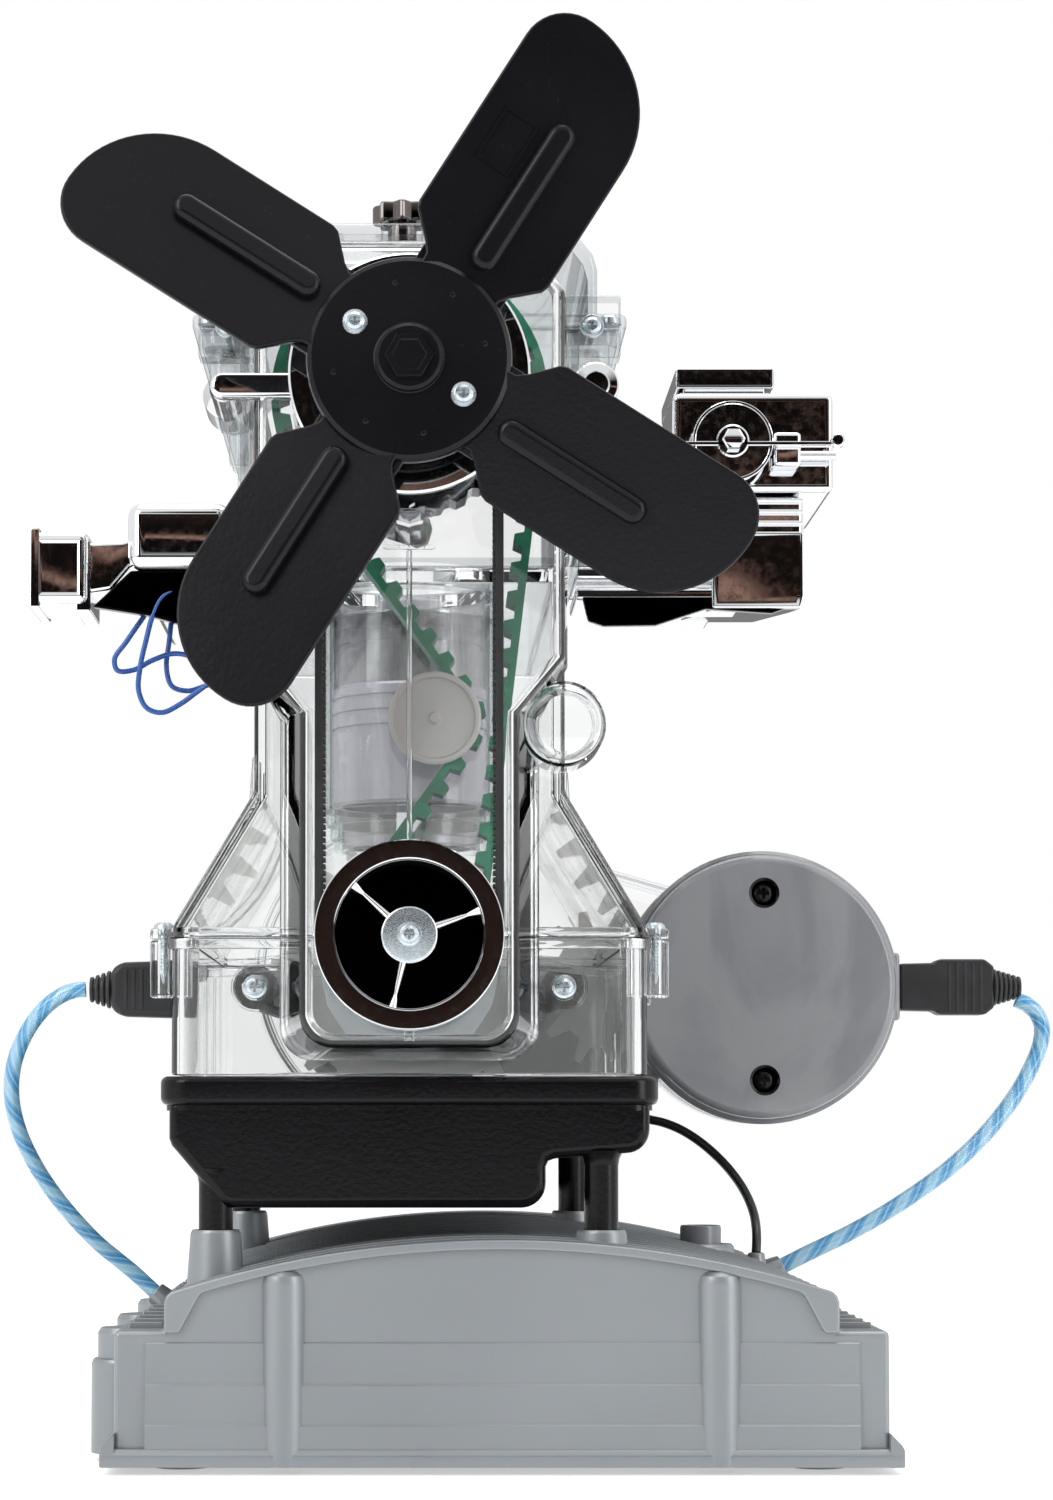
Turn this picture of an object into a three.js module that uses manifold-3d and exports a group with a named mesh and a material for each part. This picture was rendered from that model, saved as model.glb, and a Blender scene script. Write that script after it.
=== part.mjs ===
// Classroom model of an in-line four-cylinder engine, driven by a small motor, on a plastic base.
// Millimetres. X runs to the right, Y away from the viewer, Z up. The pieces are placed with the crank
// axis over x = 0, the base's front wall at y = 0 and the floor at z = 0, and the whole model is moved
// at the end so that its origin is the middle of its underside.
import * as THREE from 'three';
import { mergeVertices } from 'three/addons/utils/BufferGeometryUtils.js';
import Module from 'manifold-3d';

const wasm = await Module();
wasm.setup();

// Clearances and steps shared by all pieces
const seat_gap = 0.2; // between pieces that sit on each other
const run_gap = 0.4; // between pieces that turn or slide past each other
const overrun = 1; // how far a cut passes beyond the piece it cuts
const sink = 0.5; // how far a joined detail reaches into the piece that carries it
const fine_sides = 16;
const round_sides = 12;
const small_sides = 6;
const hex_sides = 6;
const cord_arc_steps = 4;
const arc_steps = 2;
const tip_steps = 4;
const full_round_share = 0.98; // of a bar's half width, for an end that is all but a half circle

// Engine layout
const base_half_width = 83.1;
const base_depth = 195;
const deck_height = 50.2; // the base's top, which the engine stands over
const case_inset = 30.1; // of the crankcase's side from the base's
const case_half_width = base_half_width - case_inset;
const crank_rise = 64.8; // of the crank over the deck
const cam_rise = 119; // of the cam over the crank
const stroke = 24.6;
const cylinder_pitch = 39.5;
const rod_length = 59.3;
const engine_front_y = 20;
const engine_front_reach = 25; // from the engine's front to the middle of its first cylinder
const first_cylinder_y = engine_front_y + engine_front_reach;
const engine_back_reach = 23.5;
const engine_back_y = first_cylinder_y + 3 * cylinder_pitch + engine_back_reach;
const phase_signs = [-1, 1, 1, -1]; // which cylinders stand with their throw down or up at rest
const pin_drop = 12.1; // of the gudgeon pin under a piston's crown
const crown_clearance = 0.1;
const head_rise = 18; // of the head's top over the cam
const throw_radius = stroke / 2;
const crank_height = deck_height + crank_rise;
const cam_height = crank_height + cam_rise;
const block_top = crank_height + throw_radius + rod_length + pin_drop - crown_clearance;
const head_top = cam_height + head_rise;
const cylinder_ys = phase_signs.map((sign, index) => first_cylinder_y + index * cylinder_pitch);

// Base shell
const base_middle_x = 19.8;
const base_flare = 2.9;
const base_wall = 2.4;
const foot_height = 1.6;
const flare_height = 4.3;
const flare_slope = 3.2;
const ledge_height = 30.6;
const ledge_width = 10.8;
const shoulder_half_width = base_half_width - ledge_width;
const shoulder_height = 38.6;
const lip_depth = 4.5;
const lip_step = 1.2;
const deck_rib_width = 3;
const deck_rib_rise = 0.9;
const deck_rib_count = 5;
const front_pillar_radius = 5.1;
const front_pillar_offset = 46.8;
const front_pillar_height = 43;
const front_pillar_set_back = 2;
const side_pillar_radius = 7.7;
const side_pillar_height = 29.7;
const side_pillar_ys = [30, 77, 135];
const arch_steps = 8;

// Post bosses on the deck and the posts under the oil pan
const post_radius = 3.8;
const post_inset = 10.2;
const post_spread = case_half_width - post_inset;
const post_middle_x = -0.2;
const post_front_inset = 2;
const post_front_y = engine_front_y - post_front_inset;
const post_back_inset = 32;
const post_back_y = engine_back_y - post_back_inset;
const boss_top_radius = 5.5;
const boss_foot_radius = 6.5;
const boss_rise = 1.2;
const boss_height = deck_height + boss_rise;
const boss_depth = 15.5;
const post_socket_depth = 8;

// Oil pan
const pan_flange_reach = 2.3;
const pan_flange_half_width = case_half_width + pan_flange_reach;
const pan_reach = 0.2;
const pan_half_width = case_half_width + pan_reach;
const pan_top_drop = 29.5;
const pan_top = crank_height - pan_top_drop;
const pan_clearance = 6.1;
const pan_sump_bottom = deck_height + pan_clearance;
const pan_flange_share = 0.23;
const pan_chamfer_share = 0.47;
const pan_shelf_left_share = 0.373;
const pan_shelf_right_share = 0.421;
const pan_depth = pan_top - pan_sump_bottom;
const pan_flange_bottom = pan_top - pan_flange_share * pan_depth;
const pan_chamfer_top = pan_sump_bottom + pan_chamfer_share * pan_depth;
const pan_shelf_left_height = pan_sump_bottom + pan_shelf_left_share * pan_depth;
const pan_shelf_right_height = pan_sump_bottom + pan_shelf_right_share * pan_depth;
const pan_sump_left_inset = 12.8;
const pan_sump_left = pan_half_width - pan_sump_left_inset;
const pan_sump_right_inset = 23;
const pan_sump_right = pan_half_width - pan_sump_right_inset;
const pan_curve_radius = 5.5;
const pan_wall = 2;
const pan_corner_radius = 7;
const pan_overhang = 2.3;

// Lower crankcase
const case_rise = 1;
const case_top = crank_height + case_rise;
const case_wall = 2.4;
const case_corner_radius = 6;
const case_lug_width = 5.2;
const case_lug_depth = 9;
const case_lug_height = 13;
const case_lug_count = 3;
const case_lug_back_inset = 47;
const case_lug_spacing = (engine_back_y - case_lug_back_inset - engine_front_y - case_lug_depth)
  / (case_lug_count - 1);
const bearing_wall = 3;
const bearing_ys = cylinder_ys.slice(1).map((y) => y - cylinder_pitch / 2);
const bearing_saddle_half_width = 15;

// Crankshaft
const nose_radius = 4;
const journal_radius = 5;
const crankpin_radius = 5;
const crankpin_length = 9.6;
const web_thickness = 3.4;
const web_hub_radius = 9;
const web_pin_radius = 7.5;
const counterweight_radius = 21;
const counterweight_half_angle = 57.6 * Math.PI / 180;
const web_hub_arc = 30 * Math.PI / 180;
const guide_ring_clearance = 1.05;
const guide_ring_width = 7.8;
const guide_ring_inner_radius = throw_radius / 2 + journal_radius + guide_ring_clearance;
const guide_ring_outer_radius = guide_ring_inner_radius + guide_ring_width;
const guide_ring_thickness = 4;

// Pistons and rods
const piston_gap = 3.8; // between neighbouring pistons
const piston_radius = (cylinder_pitch - piston_gap) / 2;
const piston_height = 27;
const piston_wall = 1.4;
const crown_thickness = 2.6;
const ring_groove_count = 2;
const ring_groove_depth = 0.8;
const ring_groove_width = 1.3;
const ring_groove_spacing = 3;
const first_ring_drop = 2;
const pin_radius = 2.2;
const pin_half_length = 6.2;
const pin_boss_radius = 3.8;
const rod_big_radius = 8;
const rod_big_thickness = 8;
const rod_small_radius = 3.2;
const rod_small_thickness = 6;
const rod_shank_thickness = 4;
const rod_shank_low_width = 8;
const rod_shank_high_width = 5.2;

// Cylinder block
const head_half_width = 38;
const block_inset = 3.5;
const block_half_width = head_half_width - block_inset;
const block_skirt_inset = 0.5;
const block_skirt_half_width = case_half_width - block_skirt_inset;
const block_skirt_rise = 33.5;
const block_skirt_top = crank_height + block_skirt_rise;
const block_wall = 2.4;
const block_deck_thickness = 3;
const block_flange_height = 2.4;
const liner_gap = 0.45;
const liner_wall = 2.1;
const liner_rise = 31;
const liner_bottom = crank_height + liner_rise;
const wire_stud_radius = 1.8;
const wire_stud_length = 2.2;
const wire_stud_high_drop = 5.6;
const wire_stud_high = block_top - wire_stud_high_drop;
const wire_stud_low_drop = 20.6;
const wire_stud_low = block_top - wire_stud_low_drop;

// Cylinder head and valve cover
const head_wall = 2.2;
const head_floor = 3.2;
const head_flange_reach = 8.5;
const head_flange_half_width = head_half_width + head_flange_reach;
const head_flange_height = 4;
const head_lug_radius = 4.4;
const head_lug_reach = 3.5;
const head_lug_offset = head_half_width + head_lug_reach;
const head_lug_depth = 9;
const bracket_boss_radius = 5;
const cover_reach = 4;
const cover_half_width = head_half_width + cover_reach;
const cover_side_rise = 14;
const cover_side_top = head_top + cover_side_rise;
const cover_crown_rise = 24.5;
const cover_crown_height = head_top + cover_crown_rise;
const cover_corner_radius = 4;
const cover_flange_reach = 10.5;
const cover_flange_half_width = head_half_width + cover_flange_reach;
const cover_flange_height = 4.5;
const cover_wall = 2;
const filler_x = -1.7;
const filler_y = 42;
const filler_neck_radius = 4.8;
const filler_neck_rise = 29;
const filler_neck_top = head_top + filler_neck_rise;
const filler_cap_radius = 6.8;
const filler_cap_height = 4.6;
const filler_cap_lobes = 8;
const filler_cap_lobe_depth = 0.7;
const filler_plug_radius = 3.2;
const filler_plug_length = 5;

// Camshaft
const cam_shaft_radius = 4;
const cam_lobe_radius = 6;
const cam_nose_reach = 9;
const cam_nose_radius = 2.6;
const cam_lobe_width = 5;
const cam_lobe_offset = 9;
const cam_front_y = 4;
const nose_steps = 3;
const lobe_angle_shares = [0, 0.75, 0.25, 0.5]; // firing order, as shares of a turn
const exhaust_lead_share = 0.3; // of a turn

// Timing drive
const belt_front_y = 5.6;
const belt_width = 8.8;
const belt_web = 1.7;
const belt_tooth_height = 2.1;
const belt_tooth_base_share = 0.56;
const belt_tooth_tip_share = 0.34;
const cam_sprocket_teeth = 28;
const belt_pitch_length = 6.4;
const tensioner_x = 5.5;
const tensioner_rise = 48;
const tensioner_height = crank_height + tensioner_rise;
const tensioner_roller_radius = 7;
const tensioner_disc_radius = 10.1;
const tensioner_disc_thickness = 1.2;
const tensioner_pin_radius = 2;
const sprocket_flange = 1.2;
const sprocket_notch_depth = 1;
const sprocket_dish_depth = 3.4;
const sprocket_hub_radius = 8;
const sprocket_rim_width = 4.5;
const nub_radius = 1.3;
const nub_height = 1.6;

// Front timing cover
const front_cover_front_half_width = 23.2;
const front_cover_back_half_width = 29.2;
const front_cover_front_drop = 23.3;
const front_cover_front_bottom = crank_height - front_cover_front_drop;
const front_cover_back_drop = 26.5;
const front_cover_back_bottom = crank_height - front_cover_back_drop;
const front_cover_wide_front_half_width = 33.6;
const front_cover_wide_back_half_width = 35.2;
const front_cover_widen_drop = 70;
const front_cover_widen_low = cam_height - front_cover_widen_drop;
const front_cover_widen_length = 12;
const front_cover_widen_high = front_cover_widen_low + front_cover_widen_length;
const front_cover_shoulder_rise = 22;
const front_cover_shoulder = cam_height + front_cover_shoulder_rise;
const front_cover_top_half_width = 27;
const front_cover_top_rise = 33;
const front_cover_top = cam_height + front_cover_top_rise;
const front_cover_wall = 1.5;
const front_cover_bottom_radius = 7.5;
const cover_bulge_x = 33.5;
const cover_bulge_rise = 47;
const cover_bulge_height = crank_height + cover_bulge_rise;
const cover_bulge_radius = 9.4;
const cover_bulge_front_y = 5;
const cover_ear_x = 34;
const cover_ear_rise = 16.5;
const cover_ear_height = front_cover_back_bottom + cover_ear_rise;
const cover_ear_radius = 5.2;
const cover_ear_thickness = 3.4;
const cover_frame_half_width = 5.8;
const cover_frame_half_height = 4.4;
const cover_frame_drop = 30.5;
const cover_frame_height = cam_height - cover_frame_drop;
const cover_frame_line = 0.9;
const cover_frame_rise = 0.7;
const cover_rib_half_width = 1.1;

// Crank pulley and fan belt
const pulley_front_y = -15;
const pulley_width = 9.4;
const pulley_flange = 1.4;
const belt_loop_radius = 18.9;
const fan_belt_half_thickness = 1.25;
const pulley_rim_inner_radius = 15.9;
const pulley_flange_radius = 20.1;
const pulley_hub_radius = 6;
const pulley_spoke_width = 1.7;
const pulley_spoke_depth = 3;
const pulley_spoke_angles = [19, 138, 257].map((degrees) => degrees * Math.PI / 180);
const washer_radius = 5.9;
const washer_thickness = 1.1;
const screw_head_radius = 2.65;
const screw_head_height = 1.9;
const screw_face_share = 0.6;
const screw_recess_radius = 1.2;
const screw_recess_depth = 1;
const screw_shank_radius = 1.4;

// Fan
const fan_tip_radius = 80.4;
const fan_hub_radius = 21.5;
const fan_hub_thickness = 3.2;
const fan_hub_front_y = -30;
const fan_boss_radius = 7;
const fan_boss_height = 1.8;
const fan_hex_radius = 5.2;
const fan_hex_height = 1.5;
const fan_blade_count = 4;
const fan_first_blade_angle = 57.5 * Math.PI / 180;
const fan_blade_half_width = 16.2;
const fan_blade_thickness = 1.8;
const fan_blade_pitch = 10 * Math.PI / 180;
const fan_blade_root_radius = 15;
const fan_blade_root_half_width = 9.5;
const fan_blade_shoulder_radius = 27;
const fan_blade_tight_corner = 10;
const fan_blade_wide_corner = 22;
const fan_rib_start_radius = 26.5;
const fan_rib_length = 32.5;
const fan_rib_half_width = 2.6;
const fan_rib_across = -1.5;
const fan_rib_height = 2.4;
const fan_screw_radius = 13.6;
const fan_screw_angles = [146, -34].map((degrees) => degrees * Math.PI / 180);
const fan_pulley_flange_radius = 25.7;
const fan_pulley_front_y = -16.4;
const fan_pulley_width = 10.8;
const fan_sleeve_radius = 9;

// Fan bracket and its stub axle
const bracket_reach = 5;
const bracket_half_length = head_half_width + bracket_reach;
const bracket_bar_radius = 2.8;
const bracket_front_y = -4.8;
const bracket_thickness = 4.2;
const bracket_eye_radius = 5;
const bracket_hub_radius = 8;
const bracket_leg_end_x = 47;
const bracket_leg_end_drop = 12;
const bracket_leg_end_height = cam_height - bracket_leg_end_drop;
const bracket_post_radius = 3;
const axle_radius = 2.5;

// Exhaust manifold, on the left, with its heights over the block's top
const exhaust_front_y = 40;
const exhaust_back_inset = 19;
const exhaust_back_y = engine_back_y - exhaust_back_inset;
const exhaust_gap = 3;
const exhaust_log_right = -head_half_width - exhaust_gap;
const exhaust_log_width = 23.6;
const exhaust_log_left = exhaust_log_right - exhaust_log_width;
const exhaust_log_bottom = 2.9;
const exhaust_log_top = 18.4;
const exhaust_corner_radius = 3;
const exhaust_runner_half_width = 7;
const exhaust_runner_bottom = 5.4;
const exhaust_runner_top = 16.4;
const exhaust_end_left = -87;
const exhaust_end_right = -73.3;
const exhaust_end_bottom = -5.3;
const exhaust_end_top = 11.7;
const exhaust_end_depth = 24;
const exhaust_link_bottom = -2.6;
const exhaust_link_top = 9.4;
const exhaust_web_left = -61;
const exhaust_web_right = -45;
const exhaust_web_bottom = -8.6;
const exhaust_web_set_back = 34;

// Intake manifold and carburettor, on the right, with their heights over the block's top
const intake_front_y = 50;
const intake_back_inset = 27;
const intake_back_y = engine_back_y - intake_back_inset;
const intake_box_left = 70;
const intake_box_step = 75.6;
const intake_box_right = 91;
const intake_box_bottom = -4.6;
const intake_box_low_top = -1.6;
const intake_box_top = 13.4;
const intake_prong_heights = [-1, 3.9, 8.8];
const intake_prong_half_height = 1.2;
const intake_prong_half_depth = 5;
const intake_neck_left = 79;
const intake_neck_right = 92;
const intake_neck_top = 22.2;
const intake_neck_depth = 26;
const carb_left = 61;
const carb_right = 98.5;
const carb_top = 45.8;
const carb_depth = 52;
const carb_corner_radius = 2.2;
const carb_slab_left = 62;
const carb_slab_right = 85;
const carb_slab_top = 52.4;
const carb_slab_bottom = 47.4;
const carb_slab_set_back = 3;
const carb_slab_depth = 44;
const throttle_x = 74.2;
const throttle_height = 32.8;
const throttle_radius = 9.3;
const throttle_thickness = 3.2;
const throttle_nut_radius = 2.7;
const throttle_nut_height = 1.8;
const throttle_arm_half_height = 2.2;
const throttle_arm_reach = 27.3;
const throttle_arm_left_reach = 12.8;
const arm_round_share = 0.6;
const throttle_boss_x = 87;
const throttle_boss_half_width = 3.2;
const throttle_boss_top = 35.4;
const throttle_boss_bottom = 27.4;
const throttle_boss_depth = 6;

// Motor housing, its motor and the gear train at the back
const motor_drop = 5;
const motor_height = crank_height - motor_drop;
const drum_front_radius = 34.6;
const drum_back_radius = 36;
const motor_clearance = 3.6; // between the crankcase and the drum
const motor_x = case_half_width + drum_back_radius + motor_clearance;
const drum_depth = 37;
const drum_front_y = engine_back_y - drum_depth;
const drum_cover_depth = 6;
const drum_back_y = engine_back_y;
const drum_wall = 2;
const drum_groove = 0.9;
const drum_screw_offset = 24.5;
const drum_screw_hole_radius = 4;
const drum_screw_hole_depth = 3.6;
const socket_half_height = 9;
const socket_half_depth = 6;
const socket_reach = 37.2;
const motor_can_radius = 12;
const motor_can_length = 26;
const motor_shaft_radius = 1.2;
const pinion_shaft_length = 8.7;
const crank_gear_teeth = 24;
const idler_gear_teeth = 14;
const motor_gear_teeth = 10;
const gear_set_back = 2.4;
const gear_front_y = engine_back_y + gear_set_back;
const gear_width = 5.6;
const gear_tooth_share = 0.4;
const gear_tip_share = 0.2;
const gear_addendum_share = 0.75;
const gear_dedendum_share = 1.1;
const gear_housing_margin = 2.6;
const gear_housing_wall = 1.8;
const gear_housing_reach = 12.5;
const gear_housing_back_y = engine_back_y + gear_housing_reach;
const idler_axle_radius = 2;

// Inside the base
const plate_thickness = 2;
const foot_radius = 7;
const foot_inset_x = 11;
const foot_inset_y = 14;
const door_x = -20;
const door_forward = 2.5;
const door_y = base_depth / 2 - door_forward;
const door_half_width = 26;
const door_half_depth = 33;
const door_thickness = 1.2;
const bay_half_width = 23;
const bay_half_depth = 30;
const bay_wall = 1.6;
const bay_height = 17;
const board_off_posts = 23.4;
const board_x = post_middle_x + post_spread + board_off_posts;
const board_back_inset = 83;
const board_y = base_depth - board_back_inset;
const board_half_width = 20;
const board_half_depth = 26;
const board_height = 26;
const board_thickness = 1.6;
const board_post_radius = 2.4;
const switch_half_width = 3;
const switch_height = 5;
const button_off_board_x = 7;
const button_x = board_x + button_off_board_x;
const button_off_board_y = 8;
const button_y = board_y + button_off_board_y;
const button_radius = 5.15;
const button_drop = 1.2; // of the button's face under the deck's height
const button_top = deck_height - button_drop;
const button_stem_radius = 3;
const button_travel = 2;
const speaker_x = board_x;
const speaker_back_inset = 33;
const speaker_y = base_depth - speaker_back_inset;
const speaker_radius = 16;
const speaker_height = 6;
const speaker_ring_wall = 1.4;
const speaker_cap_radius = 5.3;
const speaker_ring_bottom = 33.4;
const grille_slots = 3;
const grille_rows = 2;
const grille_half_width = 1.2;
const grille_half_depth = 4.2;
const grille_pitch_x = 5;
const grille_pitch_y = 11;

// Plugs and cords
const left_plug_gap = 0.3;
const left_plug_right = -case_half_width - left_plug_gap;
const left_plug_length = 15.7;
const left_plug_left = left_plug_right - left_plug_length;
const left_plug_relief_length = 5.4;
const left_plug_relief_end = left_plug_left - left_plug_relief_length;
const left_plug_y = 50;
const left_plug_drop = 9.4;
const left_plug_middle_height = crank_height - left_plug_drop;
const left_plug_half_height = 6.6;
const plug_half_thickness = 4.4;
const plug_chamfer = 1.6;
const left_relief_big_radius = 3.7;
const left_relief_small_radius = 2.5;
const right_plug_length = 25.4;
const right_plug_right = motor_x + socket_reach + right_plug_length;
const right_plug_set_back = 18;
const right_plug_y = drum_front_y + right_plug_set_back;
const right_plug_drop = 4.6;
const right_plug_middle_height = crank_height - right_plug_drop;
const right_plug_half_height = 7.4;
const right_relief_big_radius = 4.4;
const right_relief_small_radius = 2.9;
const left_cable_radius = 1.8;
const right_cable_radius = 2.1;
const motor_lead_radius = 1.2;
const wire_radius = 0.6;
const left_cable_steps = 16;
const right_cable_steps = 18;
const motor_lead_steps = 14;
const wire_steps = 11;
const gland_gap = 0.3;
const gland_length = 5;
const left_gland_radius = 3;
const right_gland_radius = 3.3;
const lead_gland_radius = 2.2;
const lead_gland_length = 6;
const left_exit_inset = 2.34; // of the left cable's exit from the base's side
const left_exit_y = 80;
const left_cable_exit_height = 34.5;
const right_exit_inset = 5.94;
const right_exit_y = 150;
const right_relief_length = 6.5;
const lead_entry_inset = 14.9;
const lead_entry_y = 130;
const lead_exit_offset = 30.5; // of the motor's lead to the left of the drum's middle
const lead_exit_set_back = 22;
const wire_end_gap = 0.5;
const right_cable_exit_height = 37.2;
const lead_entry_height = 41.6;
const lead_exit_drop = 25.5; // of the motor's lead under the middle of the drum
const right_plug_cord_drop = 3.3; // of the right cable's end under the middle of its plug

// Routes of the free cords, as points chosen by hand, each from its exit to its far end. When a size
// changes, each end goes with its socket and the points between follow in step.
function carried(route, start, end) {
  const last = route.length - 1;
  const shift = (from, to, share) => from.map((value, axis) => share * (to[axis] - value));
  return route.map((point, index) => {
    const near = shift(route[0], start, 1 - index / last);
    const far = shift(route[last], end, index / last);
    return point.map((value, axis) => value + near[axis] + far[axis]);
  });
}
const left_cable_exit = [
  base_middle_x - base_half_width + left_exit_inset, left_exit_y, left_cable_exit_height,
];
const left_cable_end = [left_plug_relief_end - gland_gap, left_plug_y, left_plug_middle_height];
const right_cable_exit = [
  base_middle_x + base_half_width - right_exit_inset, right_exit_y, right_cable_exit_height,
];
const right_cable_end = [
  right_plug_right + right_relief_length, right_plug_y, right_plug_middle_height - right_plug_cord_drop,
];
const lead_exit = [
  motor_x - lead_exit_offset, drum_front_y + lead_exit_set_back, motor_height - lead_exit_drop,
];
const lead_entry = [base_middle_x + base_half_width - lead_entry_inset, lead_entry_y, lead_entry_height];
const wire_stud_tip = -block_half_width - wire_stud_length - wire_end_gap;
const left_cable_route = carried([
  [-60.96, 80, 34.5], [-62.8, 80, 36.2], [-65.7, 79.6, 38.9], [-69.6, 78.6, 42.2], [-73.9, 77, 45.9],
  [-79.2, 74.6, 51.6], [-84.4, 71.6, 58.4], [-88.6, 68, 65.6], [-91.6, 63.9, 73.2], [-92.8, 59.8, 81],
  [-91.8, 56, 88.6], [-88.8, 53, 95.4], [-84.6, 51.1, 101], [-80.4, 50.2, 104.2], [-77.2, 50, 105.4],
  [-74.7, 50, 105.6],
], left_cable_exit, left_cable_end);
const right_cable_route = carried([
  [96.96, 150, 37.2], [99.2, 150, 38.3], [103.4, 150.1, 40.4], [109.4, 150.6, 43.2], [116.4, 151.6, 46.6],
  [124.4, 153.1, 51], [132.8, 155, 56.2], [141, 157.2, 61.9], [148.8, 159.8, 68.4], [155.6, 162.4, 75.4],
  [161.4, 164.8, 82.8], [165.6, 166.8, 89.8], [168, 167.8, 95.6], [168.4, 168, 99.8], [167, 168, 103.4],
  [164.5, 168, 105.8], [161.7, 168, 107.1],
], right_cable_exit, right_cable_end);
const motor_lead_route = carried([
  [62.1, 172, 84.5], [60.6, 172, 83.2], [59.3, 171.8, 81.2], [59.2, 171.3, 78.7], [60.7, 170.5, 76.5],
  [63.4, 169.3, 75.3], [67.2, 167.4, 74.4], [71.6, 164.9, 72.6], [76.2, 161.6, 69.6], [80.6, 157.2, 65.6],
  [84.4, 151.6, 60.9], [87, 145.2, 56], [88.3, 138.6, 51.2], [88.4, 133.4, 47.4], [88.2, 130.8, 44.2],
  [88, 130, 41.6],
], lead_exit, lead_entry);
const wire_routes = [
  [
    [-37.2, 44, 193], [-39.6, 44, 193], [-43.4, 43.9, 193.8], [-48.2, 43.6, 195.7], [-52.8, 43.2, 197],
    [-56.4, 43, 195.8], [-58.8, 43, 191.6], [-60.4, 43.2, 185.8], [-61.8, 43.6, 179.6], [-62.2, 44.2, 174],
    [-60.4, 45, 170.2], [-57, 45.6, 169.2], [-52.8, 46, 171.2], [-48.4, 46, 174.4], [-43.8, 45.2, 177.4],
    [-39.6, 44.2, 178], [-37.2, 44, 178],
  ],
  [
    [-37.2, 50, 193], [-39.6, 50, 193], [-43.6, 49.6, 194], [-49, 48.8, 197], [-54, 48, 198.2],
    [-58.4, 47.4, 195.6], [-62, 47, 190.6], [-65.4, 46.8, 185.6], [-68, 46.9, 181.8], [-67.4, 47.5, 179.2],
    [-63.8, 48.4, 179.4], [-59.4, 49.2, 181.8], [-54.6, 49.8, 183.4], [-49.4, 50, 182.4],
    [-44.2, 50, 179.6], [-39.8, 50, 178], [-37.2, 50, 178],
  ],
  [
    [-37.2, 56, 193], [-39.6, 56, 193], [-43.8, 55.4, 193.8], [-49, 54.2, 195.8], [-53.2, 53, 196.2],
    [-55, 52, 192.4], [-55.8, 51.6, 186.4], [-56.4, 51.6, 180.4], [-55.2, 52.2, 176.2], [-51.6, 53.4, 175.2],
    [-47.4, 54.8, 176.6], [-43.2, 55.8, 177.8], [-39.6, 56, 178], [-37.2, 56, 178],
  ],
].map((route) => carried(
  route, [wire_stud_tip, route[0][1], wire_stud_high], [wire_stud_tip, route[0][1], wire_stud_low],
));

// Finishes
function finish(color, roughness, metalness, opacity = 1) {
  return new THREE.MeshStandardMaterial({ color, roughness, metalness, opacity, transparent: opacity < 1 });
}
const silver_plastic = finish(0xa9abae, 0.4, 0.25);
const black_plastic = finish(0x232226, 0.45, 0);
const clear_plastic = finish(0xe9eef0, 0.08, 0, 0.3);
const chrome = finish(0xd8dadc, 0.08, 1);
const zinc = finish(0xc8d0d4, 0.3, 1);
const piston_plastic = finish(0x8f8c94, 0.35, 0.3);
const drum_plastic = finish(0x9a9a9a, 0.2, 0);
const steel = finish(0xb0b4b8, 0.3, 1);
const belt_rubber = finish(0x17171a, 0.7, 0);
const green_rubber = finish(0x106e50, 0.55, 0);
const roller_plastic = finish(0xa6a6a8, 0.35, 0);
const gear_plastic = finish(0xd9d4c6, 0.4, 0);
const board_green = finish(0x1f5a3a, 0.4, 0);
const cable_blue = finish(0x7cc4ea, 0.2, 0);
const wire_blue = finish(0x2a5ca8, 0.35, 0);
const lead_black = finish(0x1a1a1c, 0.4, 0);

// Solids

// A closed geometry as a solid that can be joined and cut, facing out whichever way it was drawn
function solid(geometry) {
  const bare = new THREE.BufferGeometry();
  bare.setAttribute('position', geometry.getAttribute('position'));
  if (geometry.index) bare.setIndex(geometry.index);
  const merged = mergeVertices(bare);
  const places = merged.getAttribute('position').array;
  const corners = [];
  let volume = 0;
  for (let i = 0; i < merged.index.count; i += 3) {
    const [a, b, c] = [0, 1, 2].map((k) => merged.index.getX(i + k));
    if (a === b || b === c || c === a) continue;
    corners.push(a, b, c);
    const [p, q, r] = [a, b, c].map((v) => new THREE.Vector3().fromArray(places, 3 * v));
    volume += p.dot(q.cross(r));
  }
  if (volume < 0) corners.reverse();
  return new wasm.Manifold(new wasm.Mesh({
    numProp: 3,
    vertProperties: new Float32Array(places),
    triVerts: new Uint32Array(corners),
  }));
}

function joined(...bodies) {
  return bodies.reduce((sum, body) => sum.add(body));
}

function cut(body, ...tools) {
  return tools.reduce((rest, tool) => rest.subtract(tool), body);
}

function extruded(outline, depth) {
  return new THREE.ExtrudeGeometry(outline, { depth, bevelEnabled: false, curveSegments: arc_steps });
}

// An outline in X and Z made a slab between two depths
function slabY(outline, front, back) {
  const geometry = extruded(outline, back - front);
  geometry.rotateX(Math.PI / 2);
  geometry.translate(0, back, 0);
  return solid(geometry);
}

// An outline in X and Y made a slab between two heights
function slabZ(outline, bottom, top) {
  const geometry = extruded(outline, top - bottom);
  geometry.translate(0, 0, bottom);
  return solid(geometry);
}

function block(left, right, front, back, bottom, top) {
  const geometry = new THREE.BoxGeometry(right - left, back - front, top - bottom);
  geometry.translate((left + right) / 2, (front + back) / 2, (bottom + top) / 2);
  return solid(geometry);
}

function rodY(x, z, radius, front, back, sides = round_sides, back_radius = radius) {
  const geometry = new THREE.CylinderGeometry(back_radius, radius, back - front, sides);
  geometry.translate(x, (front + back) / 2, z);
  return solid(geometry);
}

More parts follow.
